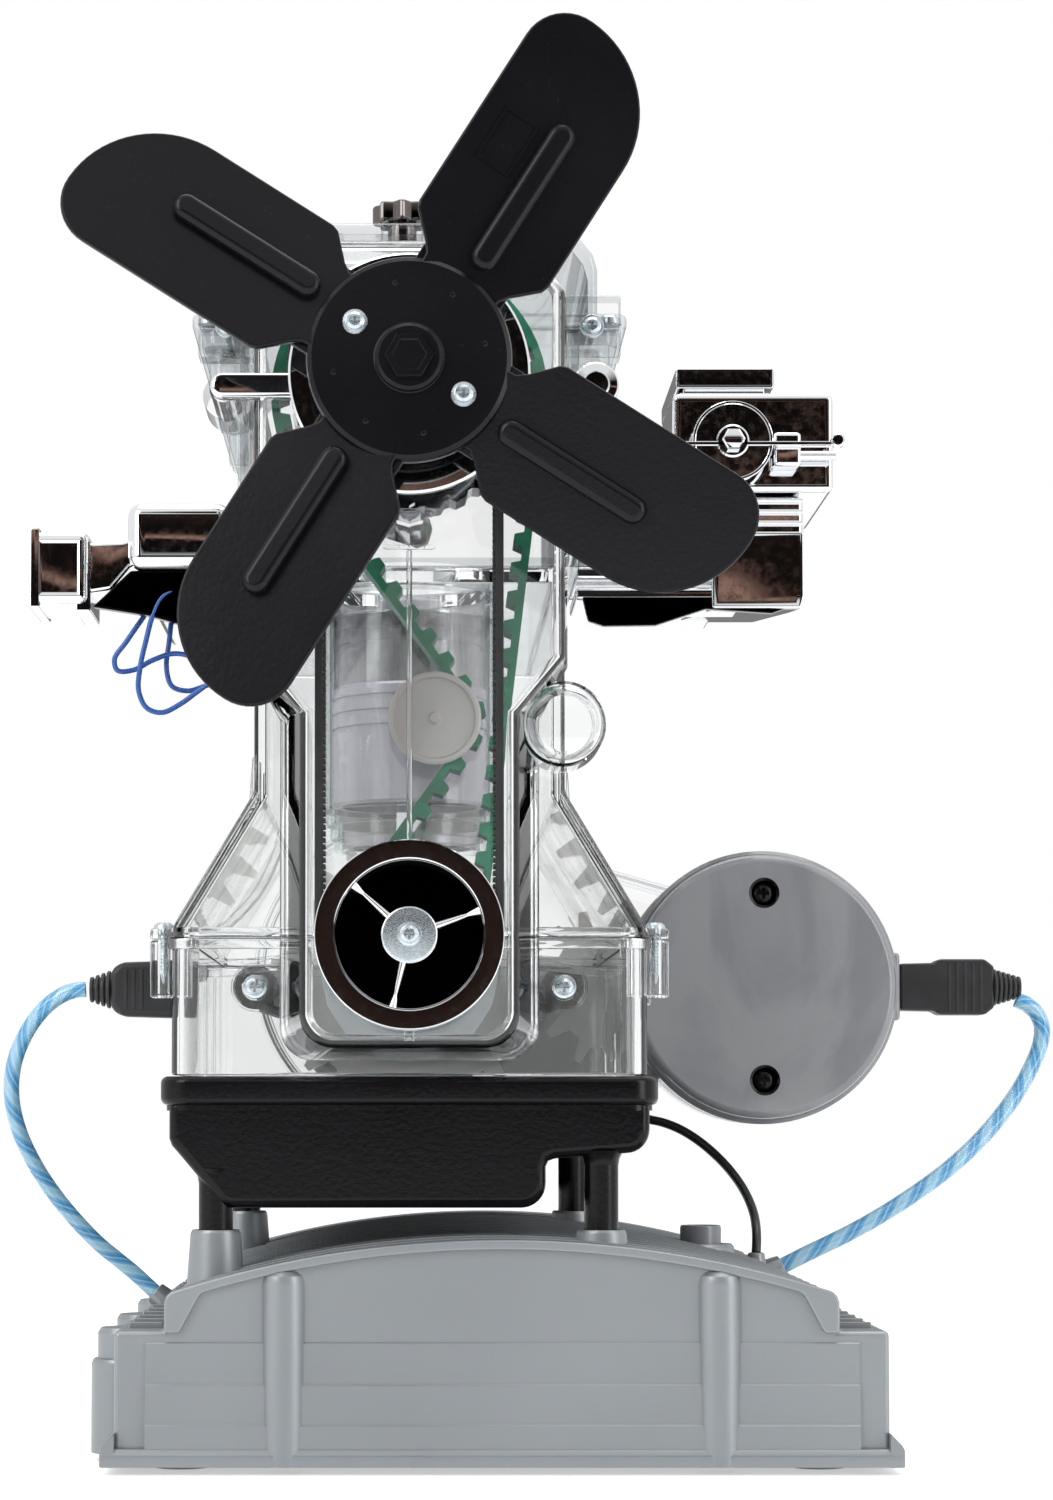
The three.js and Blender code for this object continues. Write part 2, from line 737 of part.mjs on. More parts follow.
function rodZ(x, y, radius, bottom, top, sides = round_sides, top_radius = radius) {
  const geometry = new THREE.CylinderGeometry(top_radius, radius, top - bottom, sides);
  geometry.rotateX(Math.PI / 2);
  geometry.translate(x, y, (bottom + top) / 2);
  return solid(geometry);
}

// A round bar from one point to another, with its own radius at each end
function bar(from, to, radius, sides = small_sides, end_radius = radius) {
  const start = new THREE.Vector3(...from);
  const along = new THREE.Vector3(...to).sub(start);
  const geometry = new THREE.CylinderGeometry(end_radius, radius, along.length(), sides);
  geometry.translate(0, along.length() / 2, 0);
  const up = new THREE.Vector3(0, 1, 0);
  geometry.applyQuaternion(new THREE.Quaternion().setFromUnitVectors(up, along.clone().normalize()));
  geometry.translate(...from);
  return solid(geometry);
}

// A profile of [radius, y] points turned about an axis along Y, closed on the axis or on itself
function turnedY(profile, x, z, sides = round_sides) {
  const geometry = new THREE.LatheGeometry(profile.map(([r, y]) => new THREE.Vector2(r, y)), sides);
  geometry.translate(x, 0, z);
  return solid(geometry);
}

function turnedZ(profile, x, y, sides = round_sides) {
  const geometry = new THREE.LatheGeometry(profile.map(([r, z]) => new THREE.Vector2(r, z)), sides);
  geometry.rotateX(Math.PI / 2);
  geometry.translate(x, y, 0);
  return solid(geometry);
}

// A ring profile: its last point is its first
function ring(profile) {
  return [...profile, profile[0]];
}

// Outlines

function polygon(points) {
  return new THREE.Shape(points.map(([a, b]) => new THREE.Vector2(a, b)));
}

function roundedBox(left, right, low, high, radius) {
  const outline = new THREE.Shape();
  outline.absarc(right - radius, low + radius, radius, -Math.PI / 2, 0, false);
  outline.absarc(right - radius, high - radius, radius, 0, Math.PI / 2, false);
  outline.absarc(left + radius, high - radius, radius, Math.PI / 2, Math.PI, false);
  outline.absarc(left + radius, low + radius, radius, Math.PI, 1.5 * Math.PI, false);
  outline.closePath();
  return outline;
}

function arcPoints(x, z, radius, from, to, steps) {
  const points = [];
  for (let i = 0; i <= steps; i += 1) {
    const angle = from + (to - from) * i / steps;
    points.push([x + radius * Math.cos(angle), z + radius * Math.sin(angle)]);
  }
  return points;
}

// A solid between two outlines of as many points, one at the front depth and one at the back
function lofted(front_points, front, back_points, back) {
  const count = front_points.length;
  const places = [
    ...front_points.map(([x, z]) => [x, front, z]),
    ...back_points.map(([x, z]) => [x, back, z]),
  ];
  const caps = THREE.ShapeUtils.triangulateShape(front_points.map(([x, z]) => new THREE.Vector2(x, z)), []);
  const corners = [];
  for (const [a, b, c] of caps) corners.push(a, b, c, a + count, c + count, b + count);
  for (let i = 0; i < count; i += 1) {
    const j = (i + 1) % count;
    corners.push(i, i + count, j, j, i + count, j + count);
  }
  const geometry = new THREE.BufferGeometry();
  geometry.setAttribute('position', new THREE.BufferAttribute(new Float32Array(places.flat()), 3));
  geometry.setIndex(corners);
  return solid(geometry);
}

const model = new THREE.Group();
const cords = new THREE.Group();

function place(name, body, material, group = model) {
  const { numProp, vertProperties, triVerts } = body.getMesh();
  const geometry = new THREE.BufferGeometry();
  geometry.setAttribute('position', new THREE.BufferAttribute(new Float32Array(vertProperties), numProp));
  geometry.setIndex(new THREE.BufferAttribute(new Uint32Array(triVerts), 1));
  const mesh = new THREE.Mesh(geometry, material);
  mesh.name = name;
  group.add(mesh);
  return mesh;
}

// Base shell

const arch_radius = (shoulder_half_width ** 2 + (deck_height - shoulder_height) ** 2)
  / (2 * (deck_height - shoulder_height));
const arch_centre_height = deck_height - arch_radius;

// The arch's height over a place on the deck, for a surface so much below the lip
function archHeight(x, below) {
  const radius = arch_radius - below;
  return arch_centre_height + Math.sqrt(radius ** 2 - (x - base_middle_x) ** 2);
}

function archPoints(half_width, below) {
  const radius = arch_radius - below;
  const reach = Math.acos(half_width / radius);
  return arcPoints(base_middle_x, arch_centre_height, radius, reach, Math.PI - reach, arch_steps);
}

// The shell's section: the walls, the side ledges and the arch, so much inside its outer faces
function baseSection(inset, bottom, below) {
  const wall = base_half_width - inset;
  const shoulder = shoulder_half_width - inset;
  const ledge = ledge_height - inset;
  return polygon([
    [base_middle_x - wall, bottom], [base_middle_x + wall, bottom], [base_middle_x + wall, ledge],
    [base_middle_x + shoulder, ledge], ...archPoints(shoulder, inset + below),
    [base_middle_x - shoulder, ledge], [base_middle_x - wall, ledge],
  ]);
}

function flareSection() {
  const wall = base_half_width;
  const flare = wall + base_flare;
  const low = foot_height + flare_height;
  const high = low + flare_slope;
  return polygon([
    [base_middle_x - flare, foot_height], [base_middle_x + flare, foot_height],
    [base_middle_x + flare, low], [base_middle_x + wall, high], [base_middle_x - wall, high],
    [base_middle_x - flare, low],
  ]);
}

const left_wall_x = base_middle_x - base_half_width;
const post_places = [];
for (const side of [-1, 1]) {
  for (const y of [post_front_y, post_back_y]) post_places.push([post_middle_x + side * post_spread, y]);
}
const button_flat_height = archHeight(button_x, lip_step);

// A short sleeve on a wall, in line with the first stretch of the cord that comes out of it
function sleeve(route, radius, length) {
  const start = new THREE.Vector3(...route[0]);
  const back = start.clone().sub(new THREE.Vector3(...route[1])).normalize();
  const mouth = start.clone().addScaledVector(back, gland_gap);
  const foot = mouth.clone().addScaledVector(back, length);
  return bar(foot.toArray(), mouth.toArray(), radius);
}

function makeBaseShell() {
  const lip = slabY(baseSection(0, foot_height, 0), 0, lip_depth);
  let shell = joined(
    slabY(baseSection(0, foot_height, lip_step), lip_depth - sink, base_depth),
    lip,
    slabY(flareSection(), -base_flare, base_depth),
  );
  for (let i = 1; i <= deck_rib_count; i += 1) {
    const y = i * base_depth / (deck_rib_count + 1);
    const band = archPoints(shoulder_half_width, lip_step - deck_rib_rise);
    const low = archPoints(shoulder_half_width, lip_step + sink).reverse();
    shell = shell.add(slabY(polygon([...band, ...low]), y - deck_rib_width / 2, y + deck_rib_width / 2));
  }
  for (const side of [-1, 1]) {
    const x = base_middle_x + side * front_pillar_offset;
    shell = shell.add(
      rodZ(x, front_pillar_set_back, front_pillar_radius, foot_height, front_pillar_height),
    );
  }
  for (const y of side_pillar_ys) {
    shell = shell.add(rodZ(left_wall_x, y, side_pillar_radius, foot_height, side_pillar_height));
  }
  shell = shell.add(sleeve(left_cable_route, left_gland_radius, gland_length));
  shell = shell.add(sleeve(right_cable_route, right_gland_radius, gland_length));
  const lead_end = [...motor_lead_route].reverse();
  shell = shell.add(sleeve(lead_end, lead_gland_radius, lead_gland_length));
  const inner_bottom = foot_height - overrun;
  shell = shell.subtract(
    slabY(baseSection(base_wall, inner_bottom, lip_step), base_wall, base_depth - base_wall),
  );
  for (const [x, y] of post_places) {
    shell = shell.add(
      rodZ(x, y, boss_foot_radius, boss_height - boss_depth, boss_height, round_sides, boss_top_radius),
    );
    const socket_bottom = boss_height - post_socket_depth;
    shell = shell.subtract(rodZ(x, y, post_radius + seat_gap, socket_bottom, boss_height + overrun));
  }
  const ring_outer = speaker_radius + seat_gap + speaker_ring_wall;
  const speaker_ring = cut(
    rodZ(speaker_x, speaker_y, ring_outer, speaker_ring_bottom, deck_height),
    rodZ(
      speaker_x, speaker_y, speaker_radius + seat_gap, speaker_ring_bottom - overrun, deck_height + overrun,
    ),
  );
  const under_deck = slabY(baseSection(base_wall - sink, foot_height, lip_step), 0, base_depth);
  shell = shell.add(speaker_ring.intersect(under_deck));
  for (let column = 0; column < grille_slots; column += 1) {
    for (let row = 0; row < grille_rows; row += 1) {
      const x = speaker_x + (column - (grille_slots - 1) / 2) * grille_pitch_x;
      const y = speaker_y + (row - (grille_rows - 1) / 2) * grille_pitch_y;
      shell = shell.subtract(block(
        x - grille_half_width, x + grille_half_width, y - grille_half_depth, y + grille_half_depth,
        speaker_ring_bottom, deck_height + overrun,
      ));
    }
  }
  return shell.subtract(
    rodZ(button_x, button_y, button_radius + run_gap, board_height, deck_height + overrun),
  );
}

// Bottom plate with its feet, the battery bay and the posts that carry the board
const plate_top = foot_height + plate_thickness;
const plate_half_width = base_half_width - base_wall - seat_gap;
const board_bottom = board_height;
const board_top = board_height + board_thickness;

function makeBasePlate() {
  const left = base_middle_x - plate_half_width;
  const right = base_middle_x + plate_half_width;
  const front = base_wall + seat_gap;
  const back = base_depth - base_wall - seat_gap;
  let plate = block(left, right, front, back, foot_height, plate_top);
  for (const x of [left + foot_inset_x, right - foot_inset_x]) {
    for (const y of [front + foot_inset_y, back - foot_inset_y]) {
      plate = plate.add(rodZ(x, y, foot_radius, 0, foot_height + sink));
    }
  }
  const bay_top = plate_top + bay_height;
  plate = plate.add(cut(
    block(
      door_x - bay_half_width - bay_wall, door_x + bay_half_width + bay_wall,
      door_y - bay_half_depth - bay_wall, door_y + bay_half_depth + bay_wall, plate_top - sink, bay_top,
    ),
    block(
      door_x - bay_half_width, door_x + bay_half_width, door_y - bay_half_depth, door_y + bay_half_depth,
      foot_height, bay_top - bay_wall,
    ),
  ));
  for (const side_x of [-1, 1]) {
    for (const side_y of [-1, 1]) {
      const x = board_x + side_x * (board_half_width - board_post_radius);
      const y = board_y + side_y * (board_half_depth - board_post_radius);
      plate = plate.add(
        rodZ(x, y, board_post_radius, plate_top - sink, board_bottom - seat_gap, small_sides),
      );
    }
  }
  const recess_width = door_half_width + run_gap;
  const recess_depth = door_half_depth + run_gap;
  return cut(
    plate,
    block(
      door_x - recess_width, door_x + recess_width, door_y - recess_depth, door_y + recess_depth,
      foot_height - overrun, foot_height + door_thickness + seat_gap,
    ),
    block(
      door_x - bay_half_width, door_x + bay_half_width, door_y - bay_half_depth, door_y + bay_half_depth,
      foot_height - overrun, bay_top - bay_wall,
    ),
  );
}

function makeBatteryDoor() {
  const outline = roundedBox(
    door_x - door_half_width, door_x + door_half_width, door_y - door_half_depth, door_y + door_half_depth,
    base_wall,
  );
  return slabZ(outline, foot_height, foot_height + door_thickness);
}

function makeCircuitBoard() {
  const board = block(
    board_x - board_half_width, board_x + board_half_width, board_y - board_half_depth,
    board_y + board_half_depth, board_bottom, board_top,
  );
  const switch_body = block(
    button_x - switch_half_width, button_x + switch_half_width, button_y - switch_half_width,
    button_y + switch_half_width, board_top - sink, board_top + switch_height,
  );
  return joined(board, switch_body);
}

function makeStartButton() {
  const stem_bottom = board_top + switch_height + button_travel + run_gap;
  const collar_top = button_flat_height - base_wall - button_travel - run_gap;
  const cap_bottom = collar_top;
  return joined(
    rodZ(button_x, button_y, button_radius, cap_bottom - sink, button_top),
    rodZ(button_x, button_y, button_stem_radius, stem_bottom, cap_bottom, small_sides),
  );
}

const speaker_shelf = archHeight(speaker_x + speaker_radius, lip_step + base_wall);

function makeSpeaker() {
  const top = speaker_shelf - seat_gap;
  const rim = speaker_radius;
  const cone = speaker_radius - speaker_ring_wall;
  return turnedZ([
    [0, top - speaker_height], [rim, top - speaker_height], [rim, top], [cone, top],
    [speaker_cap_radius, top - speaker_height / 2], [0, top - speaker_height / 2],
  ], speaker_x, speaker_y);
}

// Oil pan with the four posts moulded on it

function makeOilPan() {
  const front = engine_front_y - pan_overhang;
  const back = engine_back_y + pan_overhang;
  const hollow = (inset) => {
    const points = [
      [-pan_half_width + inset, pan_top + overrun], [-pan_half_width + inset, pan_chamfer_top + inset / 2],
      [-pan_sump_left + inset / 2, pan_sump_bottom + inset],
      ...arcPoints(
        pan_sump_right - pan_curve_radius, pan_sump_bottom + pan_curve_radius, pan_curve_radius - inset,
        -Math.PI / 2, 0, arc_steps,
      ),
      [pan_sump_right - inset, pan_shelf_left_height + inset],
      [pan_half_width - pan_curve_radius, pan_shelf_right_height - inset / 4 + inset],
      [pan_half_width - inset, pan_shelf_right_height + pan_curve_radius / 2 + inset],
      [pan_half_width - inset, pan_top + overrun],
    ];
    const prism = slabY(polygon(points), front - overrun, back + overrun);
    const plan = roundedBox(
      -pan_half_width + inset, pan_half_width - inset, engine_front_y + inset, engine_back_y - inset,
      pan_corner_radius - inset,
    );
    return prism.intersect(slabZ(plan, pan_sump_bottom - overrun, pan_top + overrun));
  };
  const flange = slabZ(
    roundedBox(-pan_flange_half_width, pan_flange_half_width, front, back, pan_corner_radius),
    pan_flange_bottom, pan_top,
  );
  const lid = slabZ(
    roundedBox(-pan_flange_half_width, pan_flange_half_width, front, back, pan_corner_radius),
    pan_sump_bottom - overrun, pan_top,
  );
  let pan = joined(flange, hollow(0)).intersect(lid);
  pan = pan.subtract(hollow(pan_wall));
  for (const [x, y] of post_places) {
    const post_top = x < 0 ? pan_sump_bottom + 2 * pan_curve_radius : pan_flange_bottom - pan_wall;
    pan = pan.add(rodZ(x, y, post_radius, boss_height - post_socket_depth + seat_gap, post_top));
  }
  return pan;
}

// Lower crankcase: an open ring with bearing walls, the front and back holes for the shaft and the lugs
const case_bottom = pan_top + seat_gap;
const lug_ys = [];
for (let i = 0; i < case_lug_count; i += 1) {
  lug_ys.push(engine_front_y + case_lug_depth + i * case_lug_spacing);
}
const shaft_hole_radius = journal_radius + run_gap;

function lugs(bottom, top) {
  const bodies = [];
  for (const y of lug_ys) {
    for (const side of [-1, 1]) {
      const inner = side * (case_half_width - case_wall);
      const outer = side * (case_half_width + case_lug_width);
      bodies.push(block(
        Math.min(inner, outer), Math.max(inner, outer), y - case_lug_depth / 2, y + case_lug_depth / 2,
        bottom, top,
      ));
    }
  }
  return bodies;
}

function makeLowerCrankcase() {
  const outer = roundedBox(
    -case_half_width, case_half_width, engine_front_y, engine_back_y, case_corner_radius,
  );
  const inner = roundedBox(
    case_wall - case_half_width, case_half_width - case_wall, engine_front_y + case_wall,
    engine_back_y - case_wall, case_corner_radius - case_wall,
  );
  const ring_body = cut(
    joined(slabZ(outer, case_bottom, case_top), ...lugs(case_top - case_lug_height, case_top)),
    slabZ(inner, case_bottom - overrun, case_top + overrun),
  );
  const walls = bearing_ys.map((y) => block(
    sink - case_half_width, case_half_width - sink, y - bearing_wall / 2, y + bearing_wall / 2,
    case_bottom, case_top,
  ));
  const windows = [];
  for (const y of bearing_ys) {
    for (const side of [-1, 1]) {
      const near = side * bearing_saddle_half_width;
      const far = side * (case_half_width - 2 * case_wall);
      windows.push(block(
        Math.min(near, far), Math.max(near, far), y - bearing_wall, y + bearing_wall,
        case_bottom + 2 * case_wall, case_top + overrun,
      ));
    }
  }
  const shaft = rodY(0, crank_height, shaft_hole_radius, 0, engine_back_y + overrun);
  return cut(joined(ring_body, ...walls), ...windows, shaft);
}

// Cylinder block: a sloped skirt, upright walls, four liners and a top deck
const block_bottom = case_top + seat_gap;
const bore_radius = piston_radius + liner_gap;
const liner_radius = bore_radius + liner_wall;

function blockSection(inset, top) {
  const skirt = block_skirt_half_width - inset;
  const wall = block_half_width - inset;
  const bottom = inset > 0 ? block_bottom - overrun : block_bottom;
  return polygon([
    [-skirt, bottom], [skirt, bottom], [skirt, block_bottom + block_flange_height], [wall, block_skirt_top],
    [wall, top], [-wall, top], [-wall, block_skirt_top], [-skirt, block_bottom + block_flange_height],
  ]);
}

const wire_ys = wire_routes.map((route) => route[0][1]);

function makeCylinderBlock() {
  const roof = block_top - block_deck_thickness;
  const shell = cut(
    joined(
      slabY(blockSection(0, block_top), engine_front_y, engine_back_y),
      ...lugs(block_bottom, block_bottom + block_flange_height),
    ),
    slabY(blockSection(block_wall, roof), engine_front_y + block_wall, engine_back_y - block_wall),
  );
  const liners = cylinder_ys.map((y) => rodZ(0, y, liner_radius, liner_bottom, roof + sink, fine_sides));
  const walls = bearing_ys.map((y) => cut(
    slabY(blockSection(sink, block_skirt_top), y - bearing_wall / 2, y + bearing_wall / 2),
    slabZ(roundedBox(-case_half_width, case_half_width, 0, base_depth, case_wall), 0, block_bottom),
  ));
  const studs = [];
  for (const y of wire_ys) {
    for (const z of [wire_stud_high, wire_stud_low]) {
      studs.push(bar(
        [-block_half_width + sink, y, z], [-block_half_width - wire_stud_length, y, z],
        wire_stud_radius,
      ));
    }
  }
  const bores = cylinder_ys.map((y) => rodZ(
    0, y, bore_radius, liner_bottom - overrun, block_top + overrun, fine_sides,
  ));
  const shaft = rodY(0, crank_height, shaft_hole_radius, 0, engine_back_y + overrun);
  return cut(joined(shell, ...liners, ...walls, ...studs), ...bores, shaft);
}

// Crankshaft: nose, journals, webs with counterweights, crankpins and the tail

function webOutline(sign) {
  const turn = sign > 0 ? 0 : Math.PI;
  const down = -Math.PI / 2;
  const points = [
    ...arcPoints(
      0, 0, counterweight_radius, down - counterweight_half_angle, down + counterweight_half_angle,
      2 * arc_steps,
    ),
    ...arcPoints(0, 0, web_hub_radius, 0, web_hub_arc, 1),
    ...arcPoints(0, throw_radius, web_pin_radius, 0, Math.PI, 2 * arc_steps),
    ...arcPoints(0, 0, web_hub_radius, Math.PI - web_hub_arc, Math.PI, 1),
  ];
  return polygon(points.map(([x, z]) => [
    x * Math.cos(turn) - z * Math.sin(turn),
    crank_height + x * Math.sin(turn) + z * Math.cos(turn),
  ]));
}

const web_reach = crankpin_length / 2 + web_thickness;
const shaft_front_y = pulley_front_y + washer_thickness;
const gear_back_y = gear_front_y + gear_width;
// The guide rings lie in front of the first and second throws' front webs, round the journal and the pin
const guide_ring_places = [0, 1].map((index) => ({
  y: cylinder_ys[index] - web_reach - seat_gap,
  z: crank_height + phase_signs[index] * throw_radius / 2,
}));

function makeCrankshaft() {
  const parts = [];
  let from = shaft_front_y;
  for (const [index, y] of cylinder_ys.entries()) {
    const radius = index === 0 ? nose_radius : journal_radius;
    parts.push(rodY(0, crank_height, radius, from, y - web_reach + sink));
    const outline = webOutline(phase_signs[index]);
    const pin_height = crank_height + phase_signs[index] * throw_radius;
    parts.push(slabY(outline, y - web_reach, y - crankpin_length / 2));
    parts.push(rodY(0, pin_height, crankpin_radius, y - web_reach + sink, y + web_reach - sink));
    parts.push(slabY(outline, y + crankpin_length / 2, y + web_reach));
    from = y + web_reach - sink;
  }
  parts.push(rodY(0, crank_height, journal_radius, from, engine_back_y));
  parts.push(rodY(0, crank_height, nose_radius, engine_back_y - sink, gear_back_y));
  const front_journal = rodY(
    0, crank_height, journal_radius, engine_front_y, cylinder_ys[0] - web_reach + sink,
  );
  return joined(...parts, front_journal);
}

function makeGuideRing({ y, z }) {
  const front = y - guide_ring_thickness;
  return cut(
    rodY(0, z, guide_ring_outer_radius, front, y, fine_sides),
    rodY(0, z, guide_ring_inner_radius, front - overrun, y + overrun, fine_sides),
  );
}

// Pistons and rods

function makePiston(y, sign) {
  const pin_height = crank_height + sign * throw_radius + rod_length;
  const crown = pin_height + pin_drop;
  const skirt = crown - piston_height;
  const inner = piston_radius - piston_wall;
  const grooves = [];
  for (let i = ring_groove_count - 1; i >= 0; i -= 1) {
    const top = crown - first_ring_drop - i * ring_groove_spacing;
    const bottom = top - ring_groove_width;
    const depth = piston_radius - ring_groove_depth;
    grooves.push([piston_radius, bottom], [depth, bottom], [depth, top], [piston_radius, top]);
  }
  const cup = turnedZ([
    [0, crown - crown_thickness], [inner, crown - crown_thickness], [inner, skirt], [piston_radius, skirt],
    ...grooves, [piston_radius, crown], [0, crown],
  ], 0, y);
  const boss_start = pin_half_length + run_gap;
  const bosses = [-1, 1].map((side) => bar(
    [0, y + side * boss_start, pin_height], [0, y + side * (inner + sink), pin_height], pin_boss_radius,
  ));
  return joined(cup, ...bosses);
}

function makeRod(y, sign) {
  const low = crank_height + sign * throw_radius;
  const high = low + rod_length;
  const half_thick = rod_shank_thickness / 2;
  const shank = slabY(polygon([
    [-rod_shank_low_width / 2, low], [rod_shank_low_width / 2, low], [rod_shank_high_width / 2, high],
    [-rod_shank_high_width / 2, high],
  ]), y - half_thick, y + half_thick);
  const big_half = rod_big_thickness / 2;
  const small_half = rod_small_thickness / 2;
  return cut(
    joined(
      shank,
      rodY(0, low, rod_big_radius, y - big_half, y + big_half),
      rodY(0, high, rod_small_radius, y - small_half, y + small_half, small_sides),
      rodY(0, high, pin_radius, y - pin_half_length, y + pin_half_length, small_sides),
    ),
    rodY(0, low, crankpin_radius + run_gap, y - big_half - overrun, y + big_half + overrun),
  );
}

// Cylinder head: an open box with cam bearing walls, flange, front lugs and bosses for the fan bracket
const head_bottom = block_top + seat_gap;
const cam_back_y = engine_back_y - head_wall - run_gap;

function headOutline(half_width, inset) {
  return roundedBox(
    -half_width + inset, half_width - inset, engine_front_y + inset, engine_back_y - inset,
    cover_corner_radius,
  );
}

function makeCylinderHead() {
  const shell = cut(
    joined(
      slabZ(headOutline(head_half_width, 0), head_bottom, head_top),
      slabZ(headOutline(head_flange_half_width, 0), head_top - head_flange_height, head_top),
    ),
    slabZ(headOutline(head_half_width, head_wall), head_bottom + head_floor, head_top + overrun),
  );
  const walls = bearing_ys.map((y) => block(
    sink - head_half_width, head_half_width - sink, y - bearing_wall / 2, y + bearing_wall / 2,
    head_bottom + sink, cam_height + 2 * cam_shaft_radius,
  ));
  const lug_bodies = [];
  for (const side of [-1, 1]) {
    lug_bodies.push(rodY(
      side * head_lug_offset, head_top - head_flange_height - head_lug_radius + sink, head_lug_radius,
      engine_front_y, engine_front_y + head_lug_depth, small_sides,
    ));
    lug_bodies.push(rodY(
      side * (bracket_half_length - bracket_bar_radius), cam_height, bracket_boss_radius, engine_front_y,
      engine_front_y + head_lug_depth, small_sides,
    ));
  }
  const cam_hole = rodY(
    0, cam_height, cam_shaft_radius + run_gap, engine_front_y - overrun, cam_back_y - sink,
  );
  return cut(joined(shell, ...walls, ...lug_bodies), cam_hole);
}

const cover_bottom = head_top + seat_gap;

function coverSection(inset, bottom) {
  const half = cover_half_width - inset;
  const rise = cover_crown_height - cover_side_top;
  const radius = (half ** 2 + rise ** 2) / (2 * rise);
  const reach = Math.asin(half / radius);
  return polygon([
    [-half, bottom], [half, bottom],
    ...arcPoints(
      0, cover_crown_height - inset - radius, radius, Math.PI / 2 - reach, Math.PI / 2 + reach,
      2 * arc_steps,
    ),
  ]);
}

function makeValveCover() {
  const shell = cut(
    joined(
      slabY(coverSection(0, cover_bottom), engine_front_y, engine_back_y),
      slabZ(
        headOutline(cover_flange_half_width, 0), cover_bottom, cover_bottom + cover_flange_height,
      ),
      rodZ(filler_x, filler_y, filler_neck_radius, cover_side_top, filler_neck_top),
    ),
    slabY(
      coverSection(cover_wall, cover_bottom - overrun), engine_front_y + cover_wall,
      engine_back_y - cover_wall,
    ),
  );
  const neck = rodZ(
    filler_x, filler_y, filler_neck_radius, cover_crown_height - 2 * cover_wall, filler_neck_top,
  );
  const mouth = rodZ(
    filler_x, filler_y, filler_plug_radius + seat_gap, cover_side_top - overrun,
    filler_neck_top + overrun,
  );
  return cut(shell.add(neck), mouth);
}

function makeFillerCap() {
  const outline = [];
  const steps = 4 * filler_cap_lobes;
  for (let i = 0; i < steps; i += 1) {
    const angle = 2 * Math.PI * i / steps;
    const wave = (1 - Math.cos(filler_cap_lobes * angle)) / 2;
    const radius = filler_cap_radius - filler_cap_lobe_depth * wave;
    outline.push([filler_x + radius * Math.cos(angle), filler_y + radius * Math.sin(angle)]);
  }
  const bottom = filler_neck_top + seat_gap;
  return joined(
    slabZ(polygon(outline), bottom, bottom + filler_cap_height),
    rodZ(filler_x, filler_y, filler_plug_radius, bottom - filler_plug_length, bottom + sink, small_sides),
  );
}

// Camshaft

function lobeOutline(angle) {
  const side = Math.PI / 2 + Math.asin((cam_lobe_radius - cam_nose_radius) / cam_nose_reach);
  const points = [
    ...arcPoints(0, 0, cam_lobe_radius, side, 2 * Math.PI - side, 2 * arc_steps),
    ...arcPoints(
      cam_nose_reach - cam_nose_radius, 0, cam_nose_radius, side - Math.PI, Math.PI - side, nose_steps,
    ),
  ];
  return polygon(points.map(([x, z]) => [
    x * Math.cos(angle) - z * Math.sin(angle), cam_height + x * Math.sin(angle) + z * Math.cos(angle),
  ]));
}

function makeCamshaft() {
  let shaft = rodY(0, cam_height, cam_shaft_radius, cam_front_y, cam_back_y - run_gap, small_sides + 2);
  for (const [index, y] of cylinder_ys.entries()) {
    const angle = 2 * Math.PI * lobe_angle_shares[index];
    for (const side of [-1, 1]) {
      const middle = y + side * cam_lobe_offset;
      const turn = side > 0 ? angle : angle + 2 * Math.PI * exhaust_lead_share;
      shaft = shaft.add(slabY(
        lobeOutline(turn), middle - cam_lobe_width / 2, middle + cam_lobe_width / 2,
      ));
    }
  }
  return shaft;
}

// Timing drive: both sprockets, the toothed belt and the tensioner
const cam_pitch_radius = cam_sprocket_teeth * belt_pitch_length / (2 * Math.PI);
const crank_pitch_radius = cam_pitch_radius / 2;
const belt_back_y = belt_front_y + belt_width;
const belt_back_offset = belt_web;
const belt_tip_offset = -belt_tooth_height;

// The belt's pitch line as lines and arcs, clockwise seen from the front: over the cam sprocket, down
// the right strand, round the crank sprocket, up the left strand with its back against the roller
function beltPath() {
  const cam = { x: 0, z: cam_height, r: cam_pitch_radius, turn: -1 };
  const crank = { x: 0, z: crank_height, r: crank_pitch_radius, turn: -1 };
  const idler = {
    x: tensioner_x, z: tensioner_height, r: tensioner_roller_radius + belt_back_offset + run_gap, turn: 1,
  };
  const wheels = [cam, crank, idler];
  const lines = wheels.map((from, index) => {
    const to = wheels[(index + 1) % wheels.length];
    const gap = Math.hypot(to.x - from.x, to.z - from.z);
    const along = Math.atan2(to.z - from.z, to.x - from.x);
    const lean = Math.asin((to.r * to.turn - from.r * from.turn) / gap);
    const heading = along - lean;
    const normal = heading + Math.PI / 2;
    const at = (wheel) => [
      wheel.x - wheel.turn * wheel.r * Math.cos(normal), wheel.z - wheel.turn * wheel.r * Math.sin(normal),
    ];
    return { from: at(from), to: at(to), heading };
  });
  const pieces = [];
  lines.forEach((line, index) => {
    const length = Math.hypot(line.to[0] - line.from[0], line.to[1] - line.from[1]);
    pieces.push({ kind: 'line', ...line, length });
    const wheel = wheels[(index + 1) % wheels.length];
    const next = lines[(index + 1) % lines.length];
    let sweep = (next.heading - line.heading) * wheel.turn;
    while (sweep < 0) sweep += 2 * Math.PI;
    pieces.push({ kind: 'arc', wheel, heading: line.heading, sweep, length: sweep * wheel.r });
  });
  return pieces;
}

